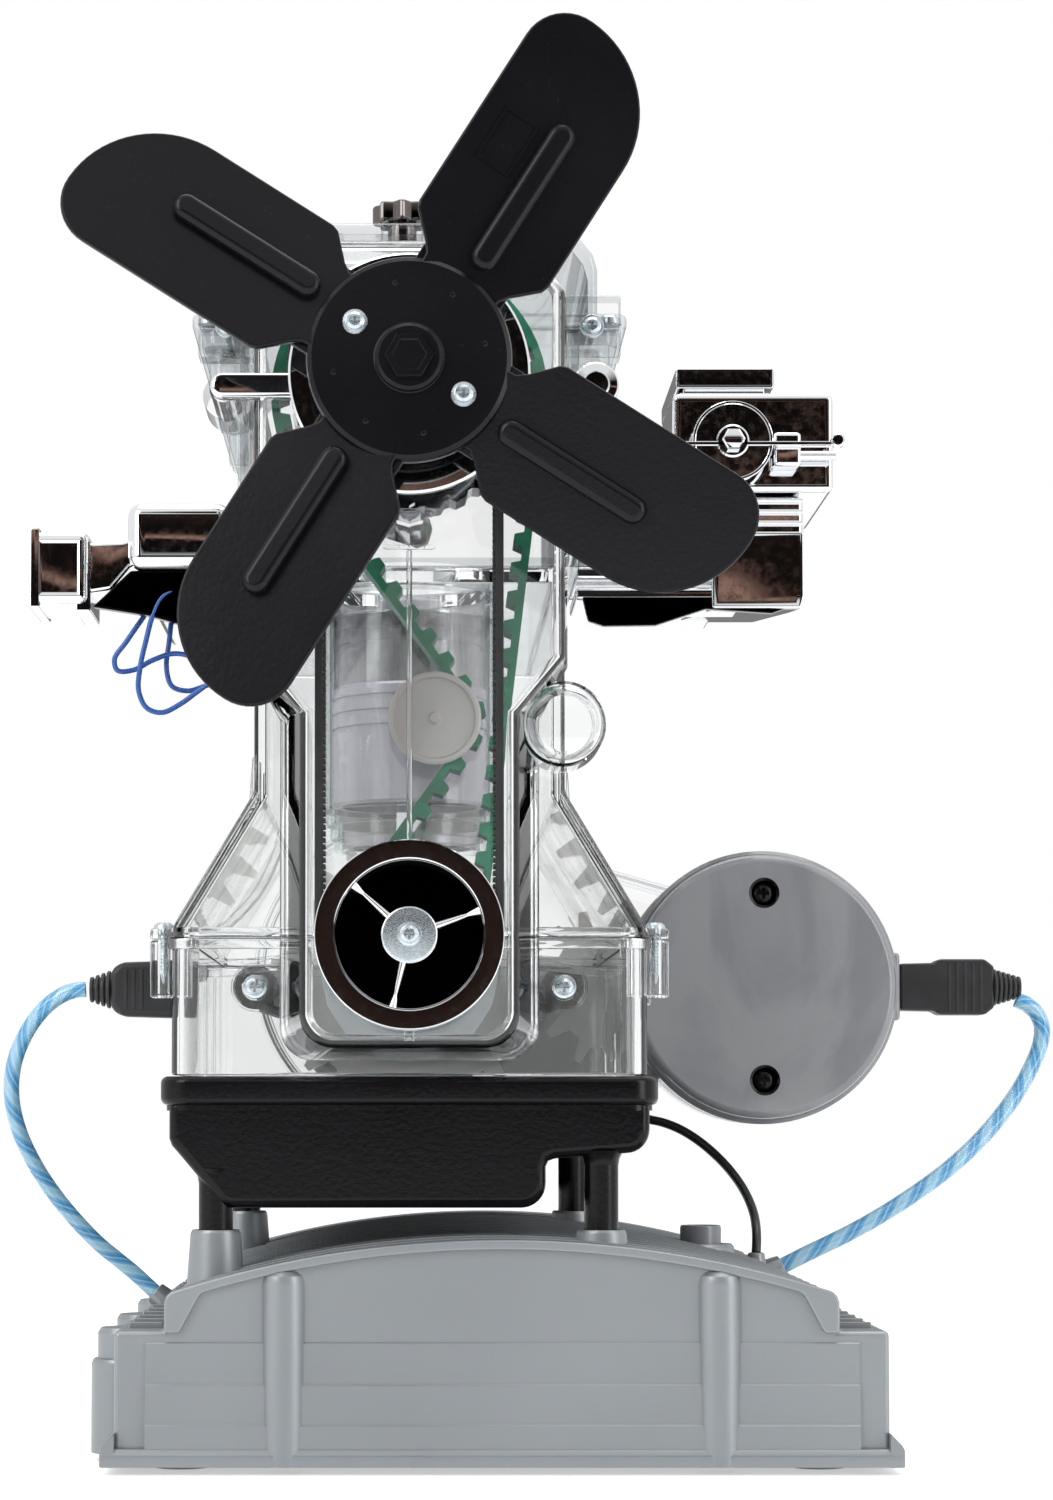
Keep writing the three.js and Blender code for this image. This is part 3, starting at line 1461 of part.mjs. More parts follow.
// A point so far along the pitch line, moved out of the loop by an offset
function beltPoint(pieces, distance, offset) {
  let rest = distance;
  for (const piece of pieces) {
    if (rest > piece.length) {
      rest -= piece.length;
      continue;
    }
    if (piece.kind === 'line') {
      const out = piece.heading + Math.PI / 2;
      return [
        piece.from[0] + rest * Math.cos(piece.heading) + offset * Math.cos(out),
        piece.from[1] + rest * Math.sin(piece.heading) + offset * Math.sin(out),
      ];
    }
    const { wheel } = piece;
    const heading = piece.heading + wheel.turn * rest / wheel.r;
    const out = heading + Math.PI / 2;
    const radius = -wheel.turn * wheel.r + offset;
    return [wheel.x + radius * Math.cos(out), wheel.z + radius * Math.sin(out)];
  }
  return beltPoint(pieces, 0, offset);
}

function makeTimingBelt() {
  const pieces = beltPath();
  const total = pieces.reduce((sum, piece) => sum + piece.length, 0);
  const teeth = Math.round(total / belt_pitch_length);
  const pitch = total / teeth;
  const outer = [];
  const inner = [];
  for (let i = 0; i < teeth; i += 1) {
    const middle = (i + 0.5) * pitch;
    outer.push(beltPoint(pieces, middle - pitch / 4, belt_back_offset));
    outer.push(beltPoint(pieces, middle + pitch / 4, belt_back_offset));
    const root = belt_tooth_base_share * pitch / 2;
    const tip = belt_tooth_tip_share * pitch / 2;
    inner.push(beltPoint(pieces, middle - root, 0));
    inner.push(beltPoint(pieces, middle - tip, belt_tip_offset));
    inner.push(beltPoint(pieces, middle + tip, belt_tip_offset));
    inner.push(beltPoint(pieces, middle + root, 0));
  }
  return cut(
    slabY(polygon(outer), belt_front_y, belt_back_y),
    slabY(polygon(inner), belt_front_y - overrun, belt_back_y + overrun),
  );
}

// A sprocket's tip circle stays inside the tips of the belt's teeth
function sprocketRadius(pitch_radius) {
  return (pitch_radius - belt_tooth_height) * Math.cos(Math.PI / cam_sprocket_teeth) - run_gap;
}

function toothed(radius, count, depth, front, back, x, z) {
  const points = [];
  for (let i = 0; i < count; i += 1) {
    const step = 2 * Math.PI / count;
    const angle = i * step;
    points.push(...arcPoints(
      x, z, radius, angle - step * gear_tip_share, angle + step * gear_tip_share, 1,
    ));
    points.push(...arcPoints(
      x, z, radius - depth, angle + step * gear_tooth_share, angle + step * (1 - gear_tooth_share), 1,
    ));
  }
  return slabY(polygon(points), front, back);
}

function makeCamSprocket() {
  const front = belt_front_y - sprocket_flange;
  const radius = sprocketRadius(cam_pitch_radius);
  const rim = radius - sprocket_rim_width;
  const dish = turnedY([
    [0, front - overrun], [rim, front - overrun], [rim - sprocket_dish_depth, front + sprocket_dish_depth],
    [0, front + sprocket_dish_depth],
  ], 0, cam_height);
  const hub = rodY(0, cam_height, sprocket_hub_radius, front + sink, front + sprocket_dish_depth + sink);
  const nub_place = radius - sprocket_rim_width / 2;
  const nub = rodY(0, cam_height - nub_place, nub_radius, front - nub_height, front + sink, small_sides);
  return cut(
    joined(
      cut(toothed(
        radius, cam_sprocket_teeth, sprocket_notch_depth, front, belt_back_y, 0, cam_height,
      ), dish),
      hub, nub,
    ),
    rodY(0, cam_height, cam_shaft_radius + seat_gap, front - overrun, belt_back_y + overrun),
  );
}

function makeCrankSprocket() {
  const front = belt_front_y - sprocket_flange;
  return cut(
    toothed(
      sprocketRadius(crank_pitch_radius), cam_sprocket_teeth / 2, sprocket_notch_depth, front,
      belt_back_y + sprocket_flange, 0, crank_height,
    ),
    rodY(0, crank_height, nose_radius + seat_gap, front - overrun, belt_back_y + 2 * overrun),
  );
}

const tensioner_front_y = belt_front_y - run_gap - tensioner_disc_thickness;

function makeTensioner() {
  const bore = tensioner_pin_radius + run_gap;
  const disc_back = tensioner_front_y + tensioner_disc_thickness;
  return turnedY([
    [0, tensioner_front_y], [tensioner_disc_radius, tensioner_front_y], [tensioner_disc_radius, disc_back],
    [tensioner_roller_radius, disc_back], [tensioner_roller_radius, belt_back_y], [bore, belt_back_y],
    [bore, disc_back + overrun], [0, disc_back + overrun],
  ], tensioner_x, tensioner_height);
}

function makeTensionerPin() {
  const front = tensioner_front_y + tensioner_disc_thickness + overrun + run_gap;
  const shoulder = belt_back_y + run_gap;
  return joined(
    rodY(tensioner_x, tensioner_height, tensioner_pin_radius, front, shoulder + sink, small_sides),
    rodY(
      tensioner_x, tensioner_height, 2 * tensioner_pin_radius, shoulder, engine_front_y - seat_gap,
      small_sides,
    ),
  );
}

// Front timing cover: a clear tub, open at the back, narrow below and wide round the cam sprocket
const front_cover_back_y = engine_front_y - seat_gap;

function coverOutline(low_half, high_half, bottom, inset) {
  const low = low_half - inset;
  const high = high_half - inset;
  const corner = front_cover_bottom_radius - inset;
  const right = [
    ...arcPoints(low - corner, bottom + inset + corner, corner, -Math.PI / 2, 0, arc_steps),
    [low, front_cover_widen_low], [high, front_cover_widen_high], [high, front_cover_shoulder - inset],
    [front_cover_top_half_width - inset / 2, front_cover_top - inset],
  ];
  const left = right.map(([x, z]) => [-x, z]).reverse();
  return [...right, ...left];
}

function makeFrontCover() {
  const outer = lofted(
    coverOutline(
      front_cover_front_half_width, front_cover_wide_front_half_width, front_cover_front_bottom, 0,
    ), 0,
    coverOutline(
      front_cover_back_half_width, front_cover_wide_back_half_width, front_cover_back_bottom, 0,
    ), front_cover_back_y,
  );
  const inner = lofted(
    coverOutline(
      front_cover_front_half_width, front_cover_wide_front_half_width, front_cover_front_bottom,
      front_cover_wall,
    ), front_cover_wall,
    coverOutline(
      front_cover_back_half_width, front_cover_wide_back_half_width, front_cover_back_bottom,
      front_cover_wall,
    ), front_cover_back_y + overrun,
  );
  const bulge_front = cover_bulge_front_y;
  const bulge = rodY(
    cover_bulge_x, cover_bulge_height, cover_bulge_radius, bulge_front, front_cover_back_y,
  );
  const bulge_hollow = rodY(
    cover_bulge_x, cover_bulge_height, cover_bulge_radius - front_cover_wall,
    bulge_front + front_cover_wall, front_cover_back_y + overrun,
  );
  const ear_front = front_cover_back_y - cover_ear_thickness;
  const ears = [-1, 1].map((side) => rodY(
    side * cover_ear_x, cover_ear_height, cover_ear_radius, ear_front, front_cover_back_y,
  ));
  const rim_width = cover_frame_half_width + cover_frame_line;
  const rim_height = cover_frame_half_height + cover_frame_line;
  const frame = cut(
    block(
      -rim_width, rim_width, -cover_frame_rise, sink, cover_frame_height - rim_height,
      cover_frame_height + rim_height,
    ),
    block(
      -cover_frame_half_width, cover_frame_half_width, -overrun, sink + overrun,
      cover_frame_height - cover_frame_half_height, cover_frame_height + cover_frame_half_height,
    ),
  );
  const rib = block(
    -cover_rib_half_width, cover_rib_half_width, -cover_frame_rise, sink,
    crank_height + pulley_flange_radius, cover_frame_height - cover_frame_half_height,
  );
  const ear_pins = [-1, 1].map((side) => rodY(
    side * cover_ear_x, cover_ear_height, screw_shank_radius + seat_gap, ear_front - overrun,
    front_cover_back_y + overrun, small_sides,
  ));
  return cut(
    joined(cut(joined(outer, bulge, ...ears), inner, bulge_hollow), frame, rib),
    ...ear_pins,
    rodY(0, crank_height, pulley_hub_radius + 2 * run_gap, -overrun, front_cover_wall + overrun),
    rodY(0, cam_height, bracket_hub_radius, -overrun, sink),
  );
}

// A pan-head screw facing the viewer, with a recess in its head
function makeScrew(x, z, seat_y, shank_length) {
  const front = seat_y - screw_head_height;
  return cut(
    turnedY([
      [0, front], [screw_head_radius * screw_face_share, front],
      [screw_head_radius, front + screw_head_height / 2], [screw_head_radius, seat_y],
      [screw_shank_radius, seat_y], [screw_shank_radius, seat_y + shank_length], [0, seat_y + shank_length],
    ], x, z, small_sides),
    rodY(x, z, screw_recess_radius, front - overrun, front + screw_recess_depth, hex_sides),
  );
}

// Crank pulley, its screw with washer, and the fan belt
const pulley_back_y = pulley_front_y + pulley_width;
const fan_belt_front_y = pulley_front_y + pulley_flange + run_gap;
const fan_belt_back_y = pulley_back_y - pulley_flange - run_gap;
const groove_radius = belt_loop_radius - fan_belt_half_thickness - run_gap;

function makeCrankPulley() {
  const groove_front = pulley_front_y + pulley_flange;
  const groove_back = pulley_back_y - pulley_flange;
  const rim = turnedY(ring([
    [pulley_rim_inner_radius, pulley_front_y], [pulley_flange_radius, pulley_front_y],
    [pulley_flange_radius, groove_front], [groove_radius, groove_front], [groove_radius, groove_back],
    [pulley_flange_radius, groove_back], [pulley_flange_radius, pulley_back_y],
    [pulley_rim_inner_radius, pulley_back_y],
  ]), 0, crank_height, fine_sides);
  const spoke_front = pulley_front_y + pulley_width / 2 - pulley_spoke_depth / 2;
  const spokes = pulley_spoke_angles.map((angle) => {
    const across = pulley_spoke_width / 2;
    const near = pulley_hub_radius - sink;
    const far = pulley_rim_inner_radius + sink;
    const points = [[near, -across], [far, -across], [far, across], [near, across]];
    return slabY(polygon(points.map(([r, w]) => [
      r * Math.cos(angle) - w * Math.sin(angle), crank_height + r * Math.sin(angle) + w * Math.cos(angle),
    ])), spoke_front, spoke_front + pulley_spoke_depth);
  });
  const hub_front = shaft_front_y + seat_gap;
  const hub_back = belt_front_y - sprocket_flange - seat_gap;
  const hub = rodY(0, crank_height, pulley_hub_radius, hub_front, hub_back);
  return cut(
    joined(rim, hub, ...spokes),
    rodY(0, crank_height, nose_radius + seat_gap, pulley_front_y - overrun, belt_front_y),
  );
}

function makePulleyScrew() {
  const washer_back = shaft_front_y - seat_gap;
  const washer_front = washer_back - washer_thickness;
  const head_front = washer_front - screw_head_height;
  return cut(
    turnedY([
      [0, head_front], [screw_head_radius * screw_face_share, head_front],
      [screw_head_radius, head_front + screw_head_height / 2], [screw_head_radius, washer_front],
      [washer_radius, washer_front], [washer_radius, washer_back], [0, washer_back],
    ], 0, crank_height),
    rodY(
      0, crank_height, screw_recess_radius, head_front - overrun, head_front + screw_recess_depth, hex_sides,
    ),
  );
}

function makeFanBelt() {
  const loop = (radius) => polygon([
    ...arcPoints(0, cam_height, radius, 0, Math.PI, fine_sides / 2),
    ...arcPoints(0, crank_height, radius, Math.PI, 2 * Math.PI, fine_sides / 2),
  ]);
  return cut(
    slabY(loop(belt_loop_radius + fan_belt_half_thickness), fan_belt_front_y, fan_belt_back_y),
    slabY(
      loop(belt_loop_radius - fan_belt_half_thickness), fan_belt_front_y - overrun,
      fan_belt_back_y + overrun,
    ),
  );
}

// Fan, its pulley and screws
const fan_hub_back_y = fan_hub_front_y + fan_hub_thickness;
const fan_blade_middle_y = fan_hub_front_y + fan_hub_thickness / 2;

// A blade lies along X in its own frame, is pitched about its length and turned to its place
function bladeBody(angle) {
  const half = fan_blade_half_width;
  const wide = fan_blade_wide_corner;
  const tight = fan_blade_tight_corner;
  const tip = fan_tip_radius;
  const root = fan_blade_root_half_width;
  const outline = polygon([
    [fan_blade_root_radius, -root], [fan_hub_radius, -root], [fan_blade_shoulder_radius, -half],
    ...arcPoints(tip - wide, wide - half, wide, -Math.PI / 2, 0, tip_steps),
    ...arcPoints(tip - tight, half - tight, tight, 0, Math.PI / 2, tip_steps),
    [fan_blade_shoulder_radius, half], [fan_hub_radius, root], [fan_blade_root_radius, root],
  ]);
  const thick = fan_blade_thickness / 2;
  const sheet = extruded(outline, fan_blade_thickness);
  sheet.translate(0, 0, -thick);
  const rib_end = fan_rib_start_radius + fan_rib_length;
  const rib_shape = roundedBox(
    fan_rib_start_radius, rib_end, fan_rib_across - fan_rib_half_width,
    fan_rib_across + fan_rib_half_width, fan_rib_half_width * full_round_share,
  );
  const rib = extruded(rib_shape, fan_rib_height + thick);
  // In the blade's own frame the front is +Z, which becomes -Y when the blade is stood up
  for (const geometry of [sheet, rib]) {
    geometry.rotateX(fan_blade_pitch);
    geometry.rotateX(Math.PI / 2);
    geometry.rotateY(-angle);
    geometry.translate(0, fan_blade_middle_y, cam_height);
  }
  return joined(solid(sheet), solid(rib));
}

function fanScrewPlaces() {
  return fan_screw_angles.map((angle) => [
    fan_screw_radius * Math.cos(angle), cam_height + fan_screw_radius * Math.sin(angle),
  ]);
}

function makeFan() {
  const boss_front = fan_hub_front_y - fan_boss_height;
  const hub = turnedY([
    [0, boss_front], [fan_boss_radius, boss_front], [fan_boss_radius, fan_hub_front_y],
    [fan_hub_radius - fan_hub_thickness / 2, fan_hub_front_y],
    [fan_hub_radius, fan_hub_front_y + fan_hub_thickness / 2], [fan_hub_radius, fan_hub_back_y],
    [fan_sleeve_radius, fan_hub_back_y], [fan_sleeve_radius, fan_pulley_front_y - seat_gap],
    [0, fan_pulley_front_y - seat_gap],
  ], 0, cam_height, fine_sides);
  const hex = rodY(0, cam_height, fan_hex_radius, boss_front - fan_hex_height, boss_front + sink, hex_sides);
  const blades = [];
  for (let i = 0; i < fan_blade_count; i += 1) {
    blades.push(bladeBody(fan_first_blade_angle + i * 2 * Math.PI / fan_blade_count));
  }
  const holes = fanScrewPlaces().map(([x, z]) => rodY(
    x, z, screw_shank_radius + seat_gap, fan_hub_front_y - overrun, fan_hub_back_y + overrun, small_sides,
  ));
  const bore = rodY(
    0, cam_height, axle_radius + run_gap, fan_hub_front_y + fan_hub_thickness, fan_pulley_front_y,
    small_sides,
  );
  return cut(joined(hub, hex, ...blades), ...holes, bore);
}

function makeFanPulley() {
  const back = fan_pulley_front_y + fan_pulley_width;
  const groove_front = pulley_front_y + pulley_flange;
  const groove_back = pulley_back_y - pulley_flange;
  const bore = axle_radius + run_gap;
  const dish = sprocket_dish_depth;
  return turnedY(ring([
    [bore, fan_pulley_front_y], [fan_pulley_flange_radius, fan_pulley_front_y],
    [fan_pulley_flange_radius, groove_front], [groove_radius, groove_front], [groove_radius, groove_back],
    [pulley_flange_radius, groove_back], [pulley_flange_radius, back],
    [groove_radius - pulley_flange, back], [groove_radius - pulley_flange, back - dish],
    [bore, back - dish],
  ]), 0, cam_height, fine_sides);
}

// Bright bracket that carries the fan: a bar across the front, an eye and leg at the right, a stub axle
const bracket_back_y = bracket_front_y + bracket_thickness;

function makeFanBracket() {
  const end_x = bracket_half_length - bracket_bar_radius;
  const half = bracket_bar_radius;
  const bar_body = slabY(
    roundedBox(-bracket_half_length, end_x, cam_height - half, cam_height + half, half * full_round_share),
    bracket_front_y, bracket_back_y,
  );
  const eye = rodY(end_x, cam_height, bracket_eye_radius, bracket_front_y, bracket_back_y);
  const leg = slabY(polygon([
    [end_x - half, cam_height], [end_x + half, cam_height], [bracket_leg_end_x, bracket_leg_end_height],
    [bracket_leg_end_x - bracket_bar_radius, bracket_leg_end_height],
  ]), bracket_front_y, bracket_back_y);
  const posts = [-1, 1].map((side) => rodY(
    side * end_x, cam_height, bracket_post_radius, bracket_back_y - sink, engine_front_y - seat_gap,
    small_sides,
  ));
  const hub = rodY(0, cam_height, bracket_hub_radius, bracket_front_y, bracket_back_y);
  const axle = rodY(
    0, cam_height, axle_radius, fan_hub_back_y + run_gap, bracket_front_y + sink, small_sides,
  );
  return joined(bar_body, eye, leg, ...posts, hub, axle);
}

// Exhaust manifold: a log with four runners, a hanging web and an outlet box at the far left

function makeExhaustManifold() {
  const log = slabY(
    roundedBox(
      exhaust_log_left, exhaust_log_right, exhaust_log_bottom, exhaust_log_top, exhaust_corner_radius,
    ), exhaust_front_y, exhaust_back_y,
  );
  const runners = cylinder_ys.map((y) => block(
    exhaust_log_right - sink, -head_half_width - seat_gap,
    Math.max(y - exhaust_runner_half_width, exhaust_front_y),
    Math.min(y + exhaust_runner_half_width, exhaust_back_y), exhaust_runner_bottom, exhaust_runner_top,
  ));
  const web = slabY(polygon([
    [exhaust_web_left, exhaust_log_bottom + sink],
    [exhaust_web_left + exhaust_corner_radius, exhaust_web_bottom],
    [exhaust_web_right - exhaust_corner_radius, exhaust_web_bottom],
    [exhaust_web_right, exhaust_log_bottom + sink],
  ]), exhaust_front_y + exhaust_web_set_back, exhaust_back_y - exhaust_web_set_back);
  const outlet_back = exhaust_front_y + exhaust_end_depth;
  const outlet = slabY(
    roundedBox(
      exhaust_end_left, exhaust_end_right, exhaust_end_bottom, exhaust_end_top, exhaust_corner_radius / 2,
    ), exhaust_front_y, outlet_back,
  );
  const link_end = exhaust_log_left + exhaust_corner_radius;
  const link = slabY(polygon([
    [exhaust_end_right - sink, exhaust_link_bottom], [link_end, exhaust_log_bottom],
    [link_end, exhaust_link_top], [exhaust_end_right - sink, exhaust_link_top],
  ]), exhaust_front_y + exhaust_corner_radius, outlet_back - exhaust_corner_radius);
  return joined(log, ...runners, web, outlet, link).translate([0, 0, block_top]);
}

// Intake manifold, on the right: prongs to the head, a long box and the neck under the carburettor

function makeIntakeManifold() {
  const box = slabY(polygon([
    [intake_box_left, intake_box_bottom], [intake_box_right - sink, intake_box_bottom],
    [intake_box_right, intake_box_low_top], [intake_box_right, intake_box_top],
    [intake_box_step, intake_box_top], [intake_box_step, intake_box_low_top],
    [intake_box_left, intake_box_low_top],
  ]), intake_front_y, intake_back_y);
  const prongs = [];
  for (const z of intake_prong_heights) {
    for (const y of cylinder_ys.slice(0, 3)) {
      prongs.push(block(
        head_half_width + seat_gap, intake_box_step + sink,
        y + cylinder_pitch / 2 - intake_prong_half_depth, y + cylinder_pitch / 2 + intake_prong_half_depth,
        z - intake_prong_half_height, z + intake_prong_half_height,
      ));
    }
  }
  const neck = block(
    intake_neck_left, intake_neck_right - sink, intake_front_y + carb_corner_radius,
    intake_front_y + intake_neck_depth, intake_box_top - sink, intake_neck_top,
  );
  return joined(box, ...prongs, neck).translate([0, 0, block_top]);
}

function makeCarburettor() {
  const bottom = intake_neck_top + seat_gap;
  const back = intake_front_y + carb_depth;
  const body = slabY(
    roundedBox(carb_left, carb_right, bottom, carb_top, carb_corner_radius), intake_front_y, back,
  );
  const slab_front = intake_front_y + carb_slab_set_back;
  const slab = slabY(
    roundedBox(carb_slab_left, carb_slab_right, carb_slab_bottom, carb_slab_top, carb_corner_radius / 2),
    slab_front, slab_front + carb_slab_depth,
  );
  const inset = carb_corner_radius;
  const neck = block(
    carb_slab_left + inset, carb_slab_right - inset, slab_front + inset,
    slab_front + carb_slab_depth - inset, carb_top - sink, carb_slab_bottom + sink,
  );
  const boss = block(
    throttle_boss_x - throttle_boss_half_width, throttle_boss_x + throttle_boss_half_width,
    intake_front_y - throttle_boss_depth, intake_front_y + sink, throttle_boss_bottom, throttle_boss_top,
  );
  return joined(body, slab, neck, boss).translate([0, 0, block_top]);
}

function makeThrottleDisc() {
  const back = intake_front_y - throttle_boss_depth - seat_gap;
  const front = back - throttle_thickness;
  const disc = turnedY([
    [0, front], [throttle_radius - carb_corner_radius / 2, front],
    [throttle_radius, front + carb_corner_radius / 2], [throttle_radius, back],
    [throttle_radius / 2, back], [throttle_radius / 2, intake_front_y - seat_gap],
    [0, intake_front_y - seat_gap],
  ], throttle_x, throttle_height);
  const nut = rodY(
    throttle_x, throttle_height, throttle_nut_radius, front - throttle_nut_height, front + sink, hex_sides,
  );
  const arm_half = throttle_arm_half_height;
  const arm = slabY(
    roundedBox(
      throttle_x - throttle_arm_left_reach, throttle_x + throttle_arm_reach,
      throttle_height - arm_half, throttle_height + arm_half, arm_half * arm_round_share,
    ), back - throttle_thickness / 2, back,
  );
  return joined(disc, nut, arm).translate([0, 0, block_top]);
}

// Motor housing: a drum with a front cover, and the motor inside it
const drum_cover_back_y = drum_front_y + drum_cover_depth;
const socket_right = motor_x + socket_reach;

function makeDrumCover() {
  const inner = drum_front_radius - drum_wall;
  const step = drum_groove;
  const cap = turnedY([
    [0, drum_front_y], [drum_front_radius - step, drum_front_y], [drum_front_radius, drum_front_y + step],
    [drum_front_radius, drum_cover_back_y - step], [drum_front_radius - step, drum_cover_back_y],
    [inner, drum_cover_back_y], [inner, drum_front_y + drum_wall], [0, drum_front_y + drum_wall],
  ], motor_x, motor_height, fine_sides);
  const tubes = [];
  const holes = [];
  for (const side of [-1, 1]) {
    const z = motor_height + side * drum_screw_offset;
    const depth = drum_front_y + drum_screw_hole_depth;
    tubes.push(rodY(
      motor_x, z, drum_screw_hole_radius + drum_wall / 2, drum_front_y + sink, depth + drum_wall / 2,
    ));
    holes.push(rodY(motor_x, z, drum_screw_hole_radius, drum_front_y - overrun, depth));
  }
  return cut(joined(cap, ...tubes), ...holes);
}

function makeMotorHousing() {
  const front = drum_cover_back_y + seat_gap;
  const groove_front = front + drum_cover_depth;
  const inner = drum_front_radius - drum_wall;
  const shell = turnedY(ring([
    [inner, front], [drum_back_radius - drum_groove, front], [drum_back_radius, front + drum_groove],
    [drum_back_radius, groove_front], [drum_back_radius - drum_groove, groove_front + drum_groove],
    [drum_back_radius - drum_groove, groove_front + 2 * drum_groove],
    [drum_back_radius, groove_front + 3 * drum_groove], [drum_back_radius, drum_back_y],
    [motor_shaft_radius + 2 * run_gap, drum_back_y],
    [motor_shaft_radius + 2 * run_gap, drum_back_y - drum_wall], [inner, drum_back_y - drum_wall],
  ]), motor_x, motor_height, fine_sides);
  const socket = cut(
    block(
      motor_x + inner + sink, socket_right, right_plug_y - socket_half_depth,
      right_plug_y + socket_half_depth, right_plug_middle_height - socket_half_height,
      right_plug_middle_height + socket_half_height,
    ),
    rodY(
      motor_x, motor_height, inner + sink, drum_cover_back_y, drum_back_y - drum_wall - sink, fine_sides,
    ),
  );
  return joined(
    cut(
      joined(shell, sleeve(motor_lead_route, lead_gland_radius, lead_gland_length)),
      rodY(motor_x, motor_height, inner, front - overrun, drum_back_y - drum_wall, fine_sides),
    ),
    socket,
  );
}

const motor_back_y = drum_back_y - drum_wall - seat_gap;

function makeMotor() {
  return cut(
    rodY(motor_x, motor_height, motor_can_radius, motor_back_y - motor_can_length, motor_back_y),
    rodY(
      motor_x, motor_height, motor_shaft_radius + run_gap, motor_back_y - pinion_shaft_length,
      motor_back_y + overrun, small_sides,
    ),
  );
}

// Gear train: the three gears share one module, set by the distance from the crank to the motor
const gear_span = Math.hypot(motor_x, crank_height - motor_height);
const gear_module = 2 * gear_span / (crank_gear_teeth + 2 * idler_gear_teeth + motor_gear_teeth);
const crank_gear_radius = gear_module * crank_gear_teeth / 2;
const idler_gear_radius = gear_module * idler_gear_teeth / 2;
const motor_gear_radius = gear_module * motor_gear_teeth / 2;
const gear_line_angle = Math.atan2(motor_height - crank_height, motor_x);
const idler_distance = crank_gear_radius + idler_gear_radius;
const idler_x = idler_distance * Math.cos(gear_line_angle);
const idler_height = crank_height + idler_distance * Math.sin(gear_line_angle);

// A gear whose tooth, or whose gap when phase is a half, points along an angle
function gearBody(x, z, teeth, angle, phase) {
  const radius = gear_module * teeth / 2;
  const tip = radius + gear_module * gear_addendum_share;
  const foot = radius - gear_module * gear_dedendum_share;
  const step = 2 * Math.PI / teeth;
  const points = [];
  for (let i = 0; i < teeth; i += 1) {
    const middle = angle + (i + phase) * step;
    const narrow = step * gear_tip_share / 2;
    const wide = step * (gear_tooth_share + gear_tip_share) / 2;
    points.push([x + foot * Math.cos(middle - wide), z + foot * Math.sin(middle - wide)]);
    points.push([x + tip * Math.cos(middle - narrow), z + tip * Math.sin(middle - narrow)]);
    points.push([x + tip * Math.cos(middle + narrow), z + tip * Math.sin(middle + narrow)]);
    points.push([x + foot * Math.cos(middle + wide), z + foot * Math.sin(middle + wide)]);
  }
  return slabY(polygon(points), gear_front_y, gear_back_y);
}

function makeCrankGear() {
  return cut(
    gearBody(0, crank_height, crank_gear_teeth, gear_line_angle, 0),
    rodY(0, crank_height, nose_radius + seat_gap, gear_front_y - overrun, gear_back_y + overrun),
  );
}

// The idler's gap faces the crank gear's tooth, and its tooth or gap on the far side sets the pinion's
function makeIdlerGear() {
  return cut(
    gearBody(idler_x, idler_height, idler_gear_teeth, gear_line_angle + Math.PI, 0.5),
    rodY(
      idler_x, idler_height, idler_axle_radius + run_gap, gear_front_y - overrun,
      gear_back_y + overrun, small_sides,
    ),
  );
}

function makeMotorPinion() {
  const far_phase = (idler_gear_teeth / 2 + 0.5) % 1;
  return joined(
    gearBody(motor_x, motor_height, motor_gear_teeth, gear_line_angle + Math.PI, (far_phase + 0.5) % 1),
    rodY(
      motor_x, motor_height, motor_shaft_radius, motor_back_y - pinion_shaft_length + run_gap,
      gear_front_y + sink, small_sides,
    ),
  );
}

function makeGearHousing() {
  const section = (extra) => {
    const tip = gear_module * gear_addendum_share + gear_housing_margin + extra;
    const up = gear_line_angle + Math.PI / 2;
    const spread = Math.asin((crank_gear_radius - motor_gear_radius) / gear_span);
    return polygon([
      ...arcPoints(
        motor_x, motor_height, motor_gear_radius + tip, up - Math.PI + spread, up - spread, 2 * arc_steps,
      ),
      ...arcPoints(
        0, crank_height, crank_gear_radius + tip, up - spread, up + Math.PI + spread, 4 * arc_steps,
      ),
    ]);
  };
  const front = engine_back_y + pan_overhang + seat_gap;
  const inner_back = gear_housing_back_y - gear_housing_wall;
  return joined(
    cut(
      slabY(section(gear_housing_wall), front, gear_housing_back_y),
      slabY(section(0), front - overrun, inner_back),
    ),
    rodY(idler_x, idler_height, idler_axle_radius, gear_front_y, gear_housing_back_y - sink, small_sides),
    rodY(idler_x, idler_height, 2 * idler_axle_radius, gear_back_y + run_gap, inner_back + sink, small_sides),
  );
}

// Plugs: a moulded grip with a tapered relief

function plugBody(left, right, y, z, half_height) {
  const outline = roundedBox(left, right, z - half_height, z + half_height, plug_chamfer);
  return slabY(outline, y - plug_half_thickness, y + plug_half_thickness);
}

function makeLeftPlug() {
  const z = left_plug_middle_height;
  return joined(
    plugBody(left_plug_left, left_plug_right, left_plug_y, z, left_plug_half_height),
    bar(
      [left_plug_left + sink, left_plug_y, z], [left_plug_relief_end, left_plug_y, z],
      left_relief_big_radius, small_sides, left_relief_small_radius,
    ),
  );
}

function makeRightPlug() {
  const left = socket_right + seat_gap;
  const z = right_plug_middle_height;
  const end = right_cable_route[right_cable_route.length - 1];
  const before = right_cable_route[right_cable_route.length - 2];
  const start = new THREE.Vector3(...end);
  const back = start.clone().sub(new THREE.Vector3(...before)).normalize();
  const mouth = start.clone().addScaledVector(back, gland_gap);
  return joined(
    plugBody(left, right_plug_right, right_plug_y, z, right_plug_half_height),
    bar(
      [right_plug_right - plug_chamfer, right_plug_y, z], mouth.toArray(), right_relief_big_radius,
      small_sides, right_relief_small_radius,
    ),
  );
}

